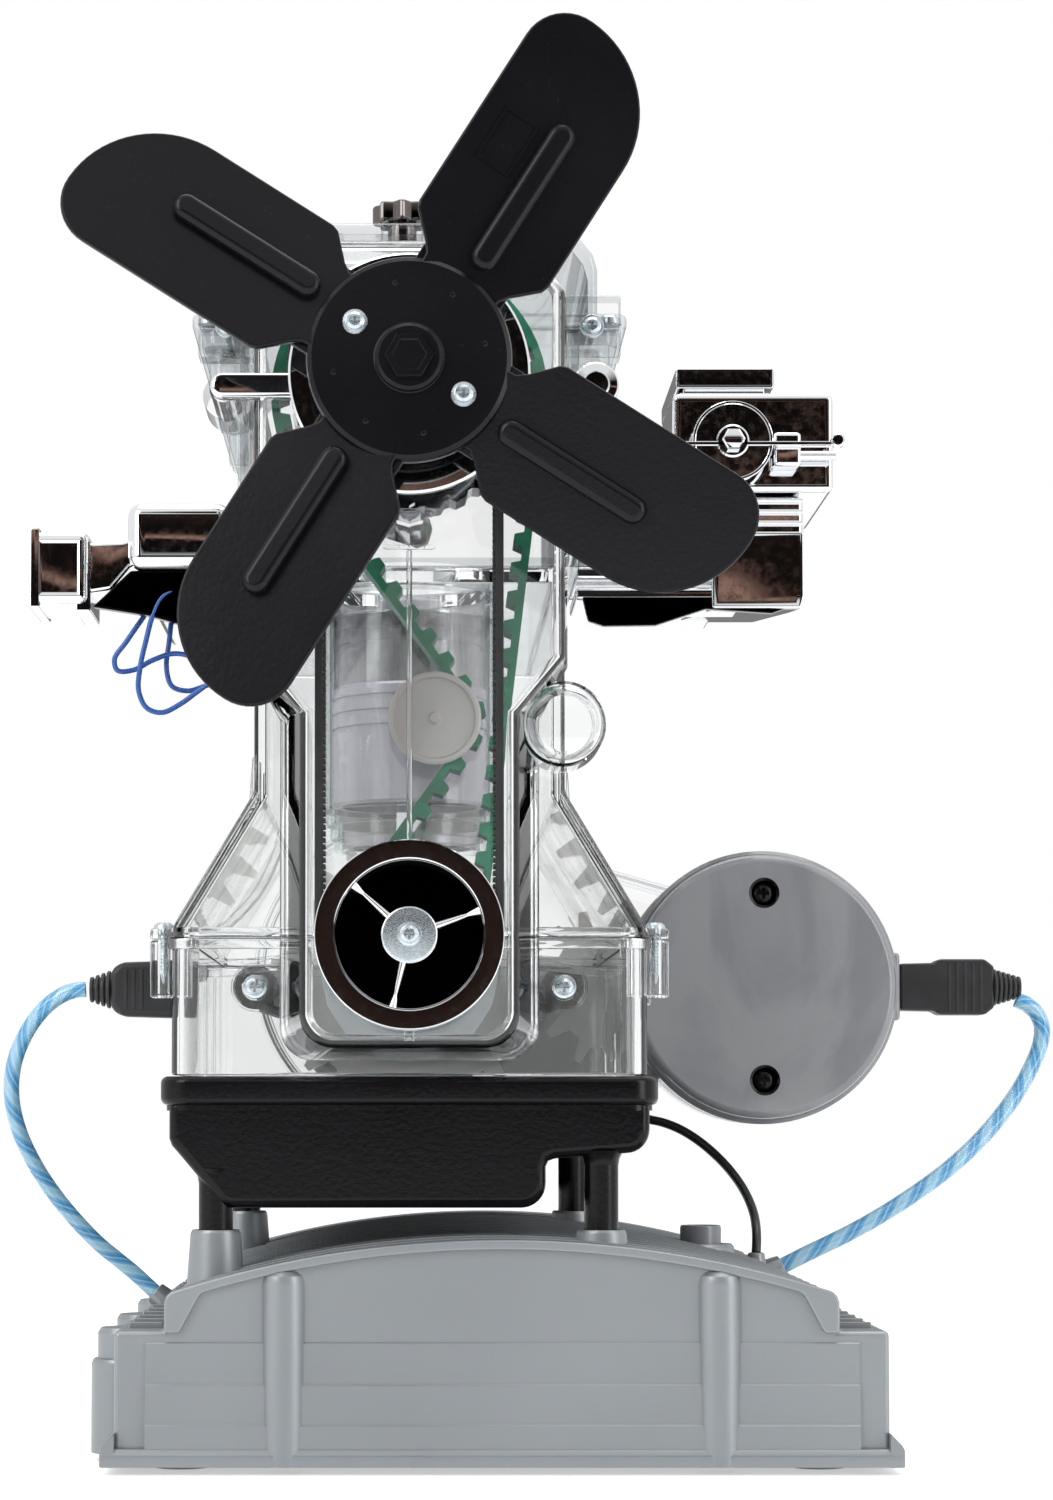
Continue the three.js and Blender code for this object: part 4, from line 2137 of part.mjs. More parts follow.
// A round cord along its route, whose steps follow its thickness
function cordBody(route, radius, steps) {
  const points = route.map((point) => new THREE.Vector3(...point));
  const path = new THREE.CatmullRomCurve3(points, false, 'centripetal');
  const section = new THREE.Shape();
  section.absarc(0, 0, radius, 0, 2 * Math.PI, false);
  const geometry = new THREE.ExtrudeGeometry(section, {
    steps, extrudePath: path, curveSegments: cord_arc_steps,
  });
  return solid(geometry);
}

const model_pieces = [
  ['base_shell', makeBaseShell, silver_plastic],
  ['base_plate', makeBasePlate, silver_plastic],
  ['battery_door', makeBatteryDoor, silver_plastic],
  ['circuit_board', makeCircuitBoard, board_green],
  ['speaker', makeSpeaker, black_plastic],
  ['start_button', makeStartButton, drum_plastic],
  ['oil_pan', makeOilPan, black_plastic],
  ['lower_crankcase', makeLowerCrankcase, clear_plastic],
  ['cylinder_block', makeCylinderBlock, clear_plastic],
  ['front_cover', makeFrontCover, clear_plastic],
  ['cylinder_head', makeCylinderHead, clear_plastic],
  ['valve_cover', makeValveCover, clear_plastic],
  ['oil_filler_cap', makeFillerCap, chrome],
  ['crankshaft', makeCrankshaft, chrome],
  ['crank_pulley', makeCrankPulley, chrome],
  ['crank_pulley_screw', makePulleyScrew, zinc],
  ['crank_sprocket', makeCrankSprocket, chrome],
  ['crank_gear', makeCrankGear, gear_plastic],
  ['camshaft', makeCamshaft, chrome],
  ['cam_sprocket', makeCamSprocket, chrome],
  ['timing_belt', makeTimingBelt, green_rubber],
  ['tensioner_roller', makeTensioner, roller_plastic],
  ['tensioner_pin', makeTensionerPin, steel],
  ['fan', makeFan, black_plastic],
  ['fan_pulley', makeFanPulley, chrome],
  ['fan_belt', makeFanBelt, belt_rubber],
  ['fan_bracket', makeFanBracket, chrome],
  ['exhaust_manifold', makeExhaustManifold, chrome],
  ['intake_manifold', makeIntakeManifold, chrome],
  ['carburettor', makeCarburettor, chrome],
  ['throttle_disc', makeThrottleDisc, chrome],
  ['motor_housing', makeMotorHousing, drum_plastic],
  ['motor_cover', makeDrumCover, drum_plastic],
  ['motor', makeMotor, steel],
  ['motor_pinion', makeMotorPinion, gear_plastic],
  ['idler_gear', makeIdlerGear, gear_plastic],
  ['gear_housing', makeGearHousing, chrome],
];
for (const [name, make, material] of model_pieces) place(name, make(), material);

for (const [index, y] of cylinder_ys.entries()) {
  const sign = phase_signs[index];
  place(`piston_${index + 1}`, makePiston(y, sign), piston_plastic);
  place(`connecting_rod_${index + 1}`, makeRod(y, sign), chrome);
}
place('guide_ring_outer', makeGuideRing(guide_ring_places[0]), steel);
place('guide_ring_inner', makeGuideRing(guide_ring_places[1]), steel);

const [fan_screw_left, fan_screw_right] = fanScrewPlaces();
const fan_screw_shank = fan_hub_thickness + seat_gap;
const fan_screw_seat = fan_hub_front_y - seat_gap;
place('fan_screw_left', makeScrew(...fan_screw_left, fan_screw_seat, fan_screw_shank), zinc);
place('fan_screw_right', makeScrew(...fan_screw_right, fan_screw_seat, fan_screw_shank), zinc);
const ear_screw_seat = front_cover_back_y - cover_ear_thickness - seat_gap;
for (const [name, x] of [['cover_screw_left', -cover_ear_x], ['cover_screw_right', cover_ear_x]]) {
  place(name, makeScrew(x, cover_ear_height, ear_screw_seat, cover_ear_thickness), zinc);
}

place('left_plug', makeLeftPlug(), black_plastic, cords);
place('right_plug', makeRightPlug(), black_plastic, cords);
place('left_cable', cordBody(left_cable_route, left_cable_radius, left_cable_steps), cable_blue, cords);
place('right_cable', cordBody(right_cable_route, right_cable_radius, right_cable_steps), cable_blue, cords);
place('motor_lead', cordBody(motor_lead_route, motor_lead_radius, motor_lead_steps), lead_black, cords);
for (const [index, route] of wire_routes.entries()) {
  place(`plug_wire_${index + 1}`, cordBody(route, wire_radius, wire_steps), wire_blue, cords);
}

// The origin is the middle of the underside, measured without the cords and their plugs
const reach = new THREE.Box3().setFromObject(model);
const engine = new THREE.Group();
engine.add(model, cords);
engine.position.set(-(reach.min.x + reach.max.x) / 2, -(reach.min.y + reach.max.y) / 2, -reach.min.z);

export default engine;
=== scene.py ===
import math
import bpy
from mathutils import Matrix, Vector


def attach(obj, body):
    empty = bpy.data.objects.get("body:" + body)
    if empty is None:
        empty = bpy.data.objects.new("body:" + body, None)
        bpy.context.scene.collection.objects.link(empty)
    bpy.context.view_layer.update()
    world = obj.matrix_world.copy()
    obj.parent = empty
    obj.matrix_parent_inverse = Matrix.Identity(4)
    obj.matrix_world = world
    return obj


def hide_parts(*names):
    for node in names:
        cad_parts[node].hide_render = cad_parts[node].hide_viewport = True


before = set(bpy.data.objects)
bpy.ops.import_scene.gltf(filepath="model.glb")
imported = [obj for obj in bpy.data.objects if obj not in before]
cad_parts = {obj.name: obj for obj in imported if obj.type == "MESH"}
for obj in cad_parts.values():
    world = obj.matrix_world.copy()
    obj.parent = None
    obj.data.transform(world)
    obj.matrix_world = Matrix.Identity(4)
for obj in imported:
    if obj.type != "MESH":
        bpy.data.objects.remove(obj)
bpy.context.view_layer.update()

# Lengths below are in millimetres, from the crank axis in x, the base's front wall in y and the floor in z
MM = 0.001
AXIS_X = -0.0214
FRONT_Y = -0.0831
CRANK = 115.0
CAM = 234.0
THROW = 12.3
PITCH = 39.5
CYLINDERS = [45 + PITCH * i for i in range(4)]
SIGNS = [-1, 1, 1, -1]
TURN = 2 * math.pi
RIGHT = math.pi / 2


def at(x, y, z):
    return Vector((x * MM + AXIS_X, y * MM + FRONT_Y, z * MM))


# Camera: in front, at the height of the oil pan and tilted slightly up, as fitted to the photograph
camera_data = bpy.data.cameras.new("camera")
camera = bpy.data.objects.new("camera", camera_data)
bpy.context.scene.collection.objects.link(camera)
bpy.context.scene.camera = camera
camera.location = (-0.0204, -0.7831, 0.079)
camera.rotation_euler = (math.radians(90 + 2.29), 0, 0)
camera_data.sensor_width = 36
camera_data.lens = 78.14
camera_data.shift_x = 0.075
camera_data.shift_y = 0.15
camera_data.clip_start = 0.01
camera_data.clip_end = 20
bpy.context.scene.view_settings.view_transform = "Standard"


# Modelling steps

def only(*pieces):
    """Only these pieces are selected, in object mode"""
    if bpy.context.mode != "OBJECT":
        bpy.ops.object.mode_set(mode="OBJECT")
    bpy.ops.object.select_all(action="DESELECT")
    for piece in pieces:
        piece.select_set(True)
    if pieces:
        bpy.context.view_layer.objects.active = pieces[0]


def named(name):
    """The piece just made gets its name, with its place and size kept in the mesh"""
    piece = bpy.context.object
    piece.name = piece.data.name = name
    bpy.ops.object.transform_apply(location=True, rotation=True, scale=True)
    return piece


def drawn(name, places):
    """A chain of points, drawn one after the other, still in edit mode"""
    only()
    bpy.ops.mesh.primitive_plane_add(size=MM, location=places[0])
    piece = named(name)
    bpy.ops.object.mode_set(mode="EDIT")
    bpy.ops.mesh.select_all(action="SELECT")
    bpy.ops.mesh.merge(type="CENTER")
    for before, after in zip(places, places[1:]):
        bpy.ops.mesh.extrude_vertices_move(TRANSFORM_OT_translate={"value": after - before})
    bpy.ops.mesh.select_all(action="SELECT")
    return piece


def outward():
    """Ends edit mode with doubles merged and all faces pointing out"""
    bpy.ops.mesh.select_all(action="SELECT")
    bpy.ops.mesh.remove_doubles(threshold=1e-6)
    bpy.ops.mesh.normals_make_consistent(inside=False)
    bpy.ops.object.mode_set(mode="OBJECT")


def extruded(name, places, step):
    """A closed outline, filled and drawn out by a step in metres"""
    piece = drawn(name, places)
    bpy.ops.mesh.edge_face_add()
    bpy.ops.mesh.extrude_region_move(TRANSFORM_OT_translate={"value": step})
    outward()
    return piece


def spun(name, places, centre, axis, steps):
    """A profile spun once about a line"""
    piece = drawn(name, places)
    bpy.ops.mesh.spin(steps=steps, angle=TURN, center=centre, axis=axis)
    outward()
    return piece


def slab(name, outline, front, back):
    """An outline of x and z, drawn at the front depth and extruded to the back one"""
    return extruded(name, [at(x, front, z) for x, z in outline], (0, (back - front) * MM, 0))


def plate(name, outline, bottom, top):
    """An outline of x and y, drawn at one height and extruded to another"""
    return extruded(name, [at(x, y, bottom) for x, y in outline], (0, 0, (top - bottom) * MM))


def turned(name, profile, x, z, steps=64):
    """A profile of radius and depth, spun about a line along y"""
    return spun(name, [at(x + radius, y, z) for radius, y in profile], at(x, 0, z), (0, 1, 0), steps)


def upright(name, profile, x, y, steps=48):
    """A profile of radius and height, spun about an upright line"""
    return spun(name, [at(x + radius, y, z) for radius, z in profile], at(x, y, 0), (0, 0, 1), steps)


def box(name, left, right, front, back, bottom, top):
    """A cube primitive at its size and place"""
    only()
    low, high = at(left, front, bottom), at(right, back, top)
    bpy.ops.mesh.primitive_cube_add(size=1, location=(low + high) / 2, scale=high - low)
    return named(name)


def beam(name, outline, left, right):
    """An outline of y and z, drawn at the left and extruded to the right"""
    return extruded(name, [at(left, y, z) for y, z in outline], ((right - left) * MM, 0, 0))


def bridged(name, near, front, far, back):
    """Two outlines of x and z, with as many points each, joined by walls and closed at both ends"""
    pieces = []
    for outline, depth in ((near, front), (far, back)):
        piece = drawn(name, [at(x, depth, z) for x, z in outline])
        bpy.ops.mesh.edge_face_add()
        bpy.ops.mesh.delete(type="ONLY_FACE")
        bpy.ops.object.mode_set(mode="OBJECT")
        pieces.append(piece)
    piece = together(*pieces)
    bpy.ops.object.mode_set(mode="EDIT")
    bpy.ops.mesh.select_all(action="SELECT")
    bpy.ops.mesh.bridge_edge_loops()
    bpy.ops.mesh.select_all(action="SELECT")
    bpy.ops.mesh.fill_holes(sides=0)
    outward()
    return piece


def rod(name, start, end, radius, sides=32, end_radius=None):
    """A round bar between two points given in millimetres"""
    only()
    low, high = at(*start), at(*end)
    along = high - low
    tilt = along.to_track_quat("Z", "Y").to_euler()
    bpy.ops.mesh.primitive_cone_add(
        vertices=sides, radius1=radius * MM, radius2=(radius if end_radius is None else end_radius) * MM,
        depth=along.length, location=(low + high) / 2, rotation=tilt)
    return named(name)


def modified(piece, kind, **settings):
    """A modifier that is applied at once"""
    only(piece)
    modifier = piece.modifiers.new("step", kind)
    for key, value in settings.items():
        setattr(modifier, key, value)
    bpy.ops.object.modifier_apply(modifier=modifier.name)
    return piece


def rounded(piece, width, segments=3, angle=35):
    """Edges sharper than the angle get a radius"""
    return modified(
        piece, "BEVEL", width=width * MM, segments=segments, limit_method="ANGLE",
        angle_limit=math.radians(angle), harden_normals=False, use_clamp_overlap=True)


def smooth(piece, angle=35):
    only(piece)
    bpy.ops.object.shade_smooth_by_angle(angle=math.radians(angle))
    modified(piece, "WEIGHTED_NORMAL", keep_sharp=True)
    return piece


def together(piece, *others):
    """Shells that overlap, as one piece"""
    only(piece, *others)
    bpy.ops.object.join()
    return piece


def combined(piece, how, *tools):
    """Another solid united with, cut from or kept in common with a piece"""
    for tool in tools:
        modified(piece, "BOOLEAN", operation=how, object=tool, solver="EXACT")
        bpy.data.objects.remove(tool)
    return piece


def copied(piece, name, step=(0, 0, 0)):
    """A copy with its own mesh, moved by a step in millimetres"""
    only(piece)
    bpy.ops.object.duplicate(linked=False)
    bpy.ops.transform.translate(value=Vector(step) * MM)
    return named(name)


def arc(x, z, radius, start, end, steps):
    """Points on a circle, by angles from the right, upwards"""
    return [
        (x + radius * math.cos(start + (end - start) * i / steps),
         z + radius * math.sin(start + (end - start) * i / steps))
        for i in range(steps + 1)]


def rounded_outline(left, right, low, high, radius, steps=6):
    return [
        *arc(right - radius, low + radius, radius, -RIGHT, 0, steps),
        *arc(right - radius, high - radius, radius, 0, RIGHT, steps),
        *arc(left + radius, high - radius, radius, RIGHT, 2 * RIGHT, steps),
        *arc(left + radius, low + radius, radius, 2 * RIGHT, 3 * RIGHT, steps)]


def hollowed(piece, half, front, back, radius, bottom, top):
    """A room with rounded corners, as wide to the left as to the right, is cut out of the piece"""
    room = plate("room", rounded_outline(-half, half, front, back, radius, 6), bottom, top)
    return combined(piece, "DIFFERENCE", room)


# Materials

def hue(code):
    """An sRGB hex colour as linear red, green, blue and alpha"""
    parts = [int(code[i:i + 2], 16) / 255 for i in (1, 3, 5)]
    return tuple(c / 12.92 if c <= 0.04045 else ((c + 0.055) / 1.055) ** 2.4 for c in parts) + (1.0,)


def add(tree, kind, inputs, **settings):
    """A node. Each input is a value, a socket, or a node whose first live output it takes"""
    node = tree.nodes.new(kind)
    for key, value in settings.items():
        setattr(node, key, value)
    for key, value in inputs.items():
        if isinstance(value, bpy.types.Node):
            value = next(output for output in value.outputs if output.enabled)
        if isinstance(value, bpy.types.NodeSocket):
            tree.links.new(value, node.inputs[key])
        else:
            node.inputs[key].default_value = value
    return node


def noise(tree, place, scale, detail):
    return add(tree, "ShaderNodeTexNoise", {"Vector": place, "Scale": scale, "Detail": detail})


def spread(tree, value, low, high, start, end):
    """A value between low and high, stretched to run from start to end"""
    return add(tree, "ShaderNodeMapRange", {
        "Value": value, "From Min": low, "From Max": high, "To Min": start, "To Max": end})


def tinted(tree, share, first, second):
    """A mix of two colours"""
    return add(tree, "ShaderNodeMix", {"Factor": share, 6: first, 7: second}, data_type="RGBA")


def raised(tree, height, distance):
    """Relief, as deep as this many millimetres"""
    return add(tree, "ShaderNodeBump", {"Height": height, "Distance": distance * MM})


def reckoned(tree, operation, *values):
    return add(tree, "ShaderNodeMath", dict(enumerate(values)), operation=operation)


def material(name):
    """A new material, its emptied tree and the place on the piece, in metres"""
    made = bpy.data.materials.new(name)
    made.use_nodes = True
    tree = made.node_tree
    tree.nodes.clear()
    return made, tree, add(tree, "ShaderNodeTexCoord", {}).outputs["Object"]


def finished(made, tree, shader):
    add(tree, "ShaderNodeOutputMaterial", {"Surface": shader})
    return made


def surfaced(made, tree, colour, dull, bump, more=None):
    """The material ends in a surface of this colour, roughness and relief"""
    return finished(made, tree, add(tree, "ShaderNodeBsdfPrincipled", {
        "Base Color": colour, "Roughness": dull, "Normal": bump, **(more or {})}))


def silver_abs():
    """ABS moulded with aluminium flakes: a satin cool grey, slightly clouded where the melt flowed"""
    made, tree, place = material("silver_abs_moulded")
    clouds = noise(tree, place, 18, 2)
    share = spread(tree, clouds, 0.3, 0.7, 0.0, 1.0)
    colour = tinted(tree, share, hue("#8E9295"), hue("#969A9D"))
    dull = spread(tree, clouds, 0.3, 0.7, 0.32, 0.4)
    flakes = noise(tree, place, 5200, 1)
    # the flakes are 0.2 mm across, a little coarser than real ones, so that they show
    grain = raised(tree, flakes, 0.012)
    return surfaced(made, tree, colour, dull, grain, {"Metallic": 0.5, "Specular IOR Level": 0.5})


def black_styrene(name, dark, light, low, high):
    """Black moulded polystyrene: near black, with a soft sheen broken by a slight orange peel"""
    made, tree, place = material(name)
    clouds = noise(tree, place, 26, 5)
    peel = noise(tree, place, 900, 2)
    fine = noise(tree, place, 4000, 2)
    specks = noise(tree, place, 1300, 6)
    dust = spread(tree, specks, 0.66, 0.74, 0.0, 0.35)
    body = tinted(tree, clouds, hue(dark), hue(light))
    colour = tinted(tree, dust, body, hue("#303033"))
    dull = spread(tree, clouds, 0.3, 0.7, low, high)
    waves = raised(tree, peel, 0.03)
    skin = add(tree, "ShaderNodeBump", {"Height": fine, "Distance": 0.008 * MM, "Normal": waves})
    return surfaced(made, tree, colour, dull, skin, {"Specular IOR Level": 0.22})


def clear_styrene():
    """Clear polystyrene, index 1.59: colourless walls with marked edges, and lamps shine through"""
    made, tree, place = material("clear_styrene_outer")
    slow = add(tree, "ShaderNodeMapping", {"Vector": place, "Scale": (1, 1, 0.5)})
    waves = noise(tree, slow, 42, 2)
    bump = raised(tree, waves, 0.05)
    marks = noise(tree, place, 320, 3)
    dull = spread(tree, marks, 0.45, 0.75, 0.0, 0.03)
    solid = add(tree, "ShaderNodeBsdfPrincipled", {
        "Base Color": hue("#FDFEFE"), "Roughness": dull, "Normal": bump, "Transmission Weight": 1.0,
        "IOR": 1.59})
    lamps = add(tree, "ShaderNodeLightPath", {})
    open_way = add(tree, "ShaderNodeBsdfTransparent", {"Color": hue("#F6F8F9")})
    return finished(made, tree, add(tree, "ShaderNodeMixShader", {
        0: lamps.outputs["Is Shadow Ray"], 1: solid, 2: open_way}))


def thin_clear(name, face, edge):
    """Clear polystyrene too thin to bend the view: it turns grey and bright where it is seen edge-on"""
    made, tree, place = material(name)
    waves = noise(tree, place, 55, 2)
    bump = raised(tree, waves, 0.06)
    marks = noise(tree, place, 300, 3)
    dull = spread(tree, marks, 0.4, 0.75, 0.02, 0.08)
    slant = add(tree, "ShaderNodeLayerWeight", {"Blend": 0.5})
    length = spread(tree, slant.outputs["Facing"], 0.5, 0.98, 0.0, 1.0)
    tint = tinted(tree, length, hue(face), hue(edge))
    through = add(tree, "ShaderNodeBsdfTransparent", {"Color": tint})
    gloss = add(tree, "ShaderNodeBsdfAnisotropic", {
        "Color": hue("#F8FAFA"), "Roughness": dull, "Normal": bump})
    rim = add(tree, "ShaderNodeFresnel", {"IOR": 1.5, "Normal": bump})
    # a ray on its way out goes straight on, so only the outer face shines
    side = add(tree, "ShaderNodeNewGeometry", {})
    outer = reckoned(tree, "SUBTRACT", 1.0, side.outputs["Backfacing"])
    shine = reckoned(tree, "MULTIPLY", rim, outer)
    return finished(made, tree, add(tree, "ShaderNodeMixShader", {0: shine, 1: through, 2: gloss}))


def plated(name, tint, roughness):
    """Chrome plated on moulded plastic: a mirror, slightly wavy because the plastic under it is"""
    made, tree, place = material(name)
    waves = noise(tree, place, 95, 2)
    haze = noise(tree, place, 600, 4)
    dull = spread(tree, haze, 0.4, 0.75, roughness, roughness + 0.07)
    bump = raised(tree, waves, 0.012)
    return surfaced(made, tree, hue(tint), dull, bump, {"Metallic": 1.0})


def zinc_steel():
    """Zinc-plated steel: pale and faintly blue, with fine scratches from the tumbler"""
    made, tree, place = material("zinc_plated_steel")
    clouds = noise(tree, place, 700, 5)
    drawn_out = add(tree, "ShaderNodeMapping", {"Vector": place, "Scale": (1, 1, 7)})
    scratches = noise(tree, drawn_out, 1600, 3)
    colour = tinted(tree, clouds, hue("#AAB6BD"), hue("#DDE4E8"))
    dull = spread(tree, scratches, 0.3, 0.7, 0.16, 0.34)
    bump = raised(tree, scratches, 0.02)
    return surfaced(made, tree, colour, dull, bump, {"Metallic": 1.0})


def gloss_grey(name, dark, light, metallic, low, high):
    """Polystyrene with a grey pigment, glossy: marbled streaks where the melt met in the mould"""
    made, tree, place = material(name)
    drawn_out = add(tree, "ShaderNodeMapping", {"Vector": place, "Scale": (1, 1, 0.45)})
    swirl = add(tree, "ShaderNodeTexNoise", {
        "Vector": drawn_out, "Scale": 26, "Detail": 5, "Distortion": 2.4})
    share = spread(tree, swirl, 0.42, 0.6, 0.0, 1.0)
    colour = tinted(tree, share, hue(light), hue(dark))
    clouds = noise(tree, place, 60, 3)
    dull = spread(tree, clouds, 0.3, 0.7, low, high)
    peel = noise(tree, place, 420, 2)
    bump = raised(tree, peel, 0.018)
    return surfaced(made, tree, colour, dull, bump, {
        "Metallic": metallic, "Coat Weight": 0.25, "Coat Roughness": 0.05})


def acetal(name, dark, light):
    """Natural acetal: milky and waxy, letting a little light in"""
    made, tree, place = material(name)
    clouds = noise(tree, place, 90, 4)
    colour = tinted(tree, clouds, hue(dark), hue(light))
    fine = noise(tree, place, 900, 2)
    dull = spread(tree, fine, 0.3, 0.7, 0.4, 0.52)
    bump = raised(tree, fine, 0.012)
    return surfaced(made, tree, colour, dull, bump, {
        "Subsurface Weight": 0.15, "Subsurface Scale": 0.004})


def rubber(name, dark, light, roughness, bloom):
    """Moulded rubber: dull, with a dusty bloom and a fine pebbled skin"""
    made, tree, place = material(name)
    dust = noise(tree, place, 240, 6)
    share = spread(tree, dust, 0.4, 0.75, 0.0, bloom)
    colour = tinted(tree, share, hue(dark), hue(light))
    dull = spread(tree, dust, 0.3, 0.7, roughness, roughness + 0.15)
    pebbles = noise(tree, place, 3600, 3)
    bump = raised(tree, pebbles, 0.02)
    return surfaced(made, tree, colour, dull, bump, {"Sheen Weight": 0.08, "Sheen Roughness": 0.5})


def drawn_steel():
    """Deep-drawn steel: fine lines along the draw and a dull grey shine"""
    made, tree, place = material("drawn_steel")
    drawn_out = add(tree, "ShaderNodeMapping", {"Vector": place, "Scale": (0.2, 6, 0.2)})
    lines = noise(tree, drawn_out, 900, 3)
    colour = tinted(tree, lines, hue("#8E9396"), hue("#BDC2C5"))
    dull = spread(tree, lines, 0.3, 0.7, 0.25, 0.42)
    bump = raised(tree, lines, 0.015)
    return surfaced(made, tree, colour, dull, bump, {"Metallic": 1.0})


def circuit_laminate():
    """Glass-fibre laminate under green solder mask: a weave that just shows through the gloss"""
    made, tree, place = material("green_glass_laminate")
    weave = add(tree, "ShaderNodeTexBrick", {
        "Vector": place, "Scale": 700.0, "Color1": hue("#17512F"), "Color2": hue("#1F6B3E"),
        "Mortar": hue("#123F26")})
    marks = noise(tree, place, 500, 2)
    dull = spread(tree, marks, 0.3, 0.7, 0.25, 0.4)
    bump = raised(tree, weave.outputs["Fac"], 0.02)
    return surfaced(made, tree, weave, dull, bump)


def twisted_cable():
    """Clear light-blue PVC over twisted wires: the strands show as slanting bands, bright and deep"""
    made, tree, _ = material("clear_blue_pvc_cable")
    own = add(tree, "ShaderNodeUVMap", {}, uv_map="lay")
    parts = add(tree, "ShaderNodeSeparateXYZ", {0: own})
    around = reckoned(tree, "MULTIPLY", parts.outputs["Y"], 2.0)
    both = reckoned(tree, "ADD", parts.outputs["X"], around)
    angle = reckoned(tree, "MULTIPLY", both, TURN)
    wave = reckoned(tree, "SINE", angle)
    share = spread(tree, wave, -0.9, 0.9, 0.0, 1.0)
    third = reckoned(tree, "MULTIPLY", angle, 3.0)
    ripple = reckoned(tree, "SINE", third)
    strand = spread(tree, ripple, 0.2, 1.0, 0.0, 0.5)
    band = tinted(tree, share, hue("#3FA4DC"), hue("#A9DDF5"))
    colour = tinted(tree, strand, band, hue("#DDF3FC"))
    dull = add(tree, "ShaderNodeMapRange", {"Value": share, "To Min": 0.22, "To Max": 0.12})
    bump = raised(tree, share, 0.14)
    return surfaced(made, tree, colour, dull, bump, {
        "Transmission Weight": 0.25, "IOR": 1.5, "Coat Weight": 0.6, "Coat Roughness": 0.08,
        "Subsurface Weight": 0.2, "Subsurface Scale": 0.002})


def soft_pvc(name, dark, light, roughness):
    """Extruded PVC sleeve: even colour, a soft gloss and slow waves along it"""
    made, tree, place = material(name)
    waves = noise(tree, place, 260, 3)
    colour = tinted(tree, waves, hue(dark), hue(light))
    dull = spread(tree, waves, 0.3, 0.7, roughness, roughness + 0.1)
    fine = noise(tree, place, 1800, 2)
    bump = raised(tree, fine, 0.01)
    return surfaced(made, tree, colour, dull, bump, {"Coat Weight": 0.2, "Coat Roughness": 0.15})


SILVER = silver_abs()
FAN_BLACK = black_styrene("black_styrene_satin", "#0B0A0D", "#121116", 0.22, 0.3)
PAN_BLACK = black_styrene("black_styrene_gloss", "#070608", "#0C0B0E", 0.17, 0.24)
CLEAR = clear_styrene()
INNER_CLEAR = thin_clear("clear_styrene_inner", "#FEFEFE", "#C4C9CC")
CHROME = plated("chrome_on_abs", "#E6E7E9", 0.035)
DARK_CHROME = plated("chrome_on_abs_smoked", "#6A6462", 0.05)
# near-black chrome that stands in for shade: painted shade on pieces set where parts would lie in shadow
PAINTED_SHADE = plated("chrome_painted_shade", "#0B0908", 0.12)
ZINC = zinc_steel()
PISTON = gloss_grey("grey_styrene_pistons", "#8F8C95", "#ABA8B1", 0.1, 0.2, 0.3)
DRUM = gloss_grey("grey_styrene_drum", "#8C8D90", "#9A9B9D", 0.0, 0.14, 0.22)
BUTTON = gloss_grey("grey_styrene_button", "#7E8083", "#8B8D90", 0.1, 0.25, 0.35)
ROLLER = acetal("acetal_grey_roller", "#A9A6A4", "#BDBAB7")
GEAR = acetal("acetal_natural_gears", "#CBC9C2", "#DCDBD5")
BELT = rubber("neoprene_black_belt", "#0C0C0E", "#262628", 0.5, 0.6)
GREEN = rubber("green_rubber_belt", "#0C5F45", "#1B8460", 0.42, 0.8)
STEEL = drawn_steel()
LAMINATE = circuit_laminate()
GRIP = rubber("black_pvc_grip", "#131315", "#242428", 0.42, 0.7)
CABLE = twisted_cable()
WIRE = soft_pvc("blue_pvc_wire", "#214E9A", "#2F63B4", 0.28)
LEAD = soft_pvc("black_pvc_lead", "#121214", "#1E1E22", 0.3)


# Cords: the same points as the plain solids follow, in millimetres

def along_route(points, fine=8):
    """Points on one smooth curve through the route, close enough to have its length"""
    ends = [2 * points[0] - points[1], *points, 2 * points[-1] - points[-2]]
    path = []
    for i in range(len(points) - 1):
        a, b, c, d = ends[i:i + 4]
        gaps = [(q - p).length ** 0.5 for p, q in ((a, b), (b, c), (c, d))]
        steps = [0, gaps[0], gaps[0] + gaps[1], sum(gaps)]
        for k in range(fine):
            t = steps[1] + (steps[2] - steps[1]) * k / fine
            ab = a.lerp(b, (t - steps[0]) / (steps[1] - steps[0]))
            bc = b.lerp(c, (t - steps[1]) / (steps[2] - steps[1]))
            cd = c.lerp(d, (t - steps[2]) / (steps[3] - steps[2]))
            abc = ab.lerp(bc, (t - steps[0]) / (steps[2] - steps[0]))
            bcd = bc.lerp(cd, (t - steps[1]) / (steps[3] - steps[1]))
            path.append(abc.lerp(bcd, (t - steps[1]) / (steps[2] - steps[1])))
    return path + [points[-1]]


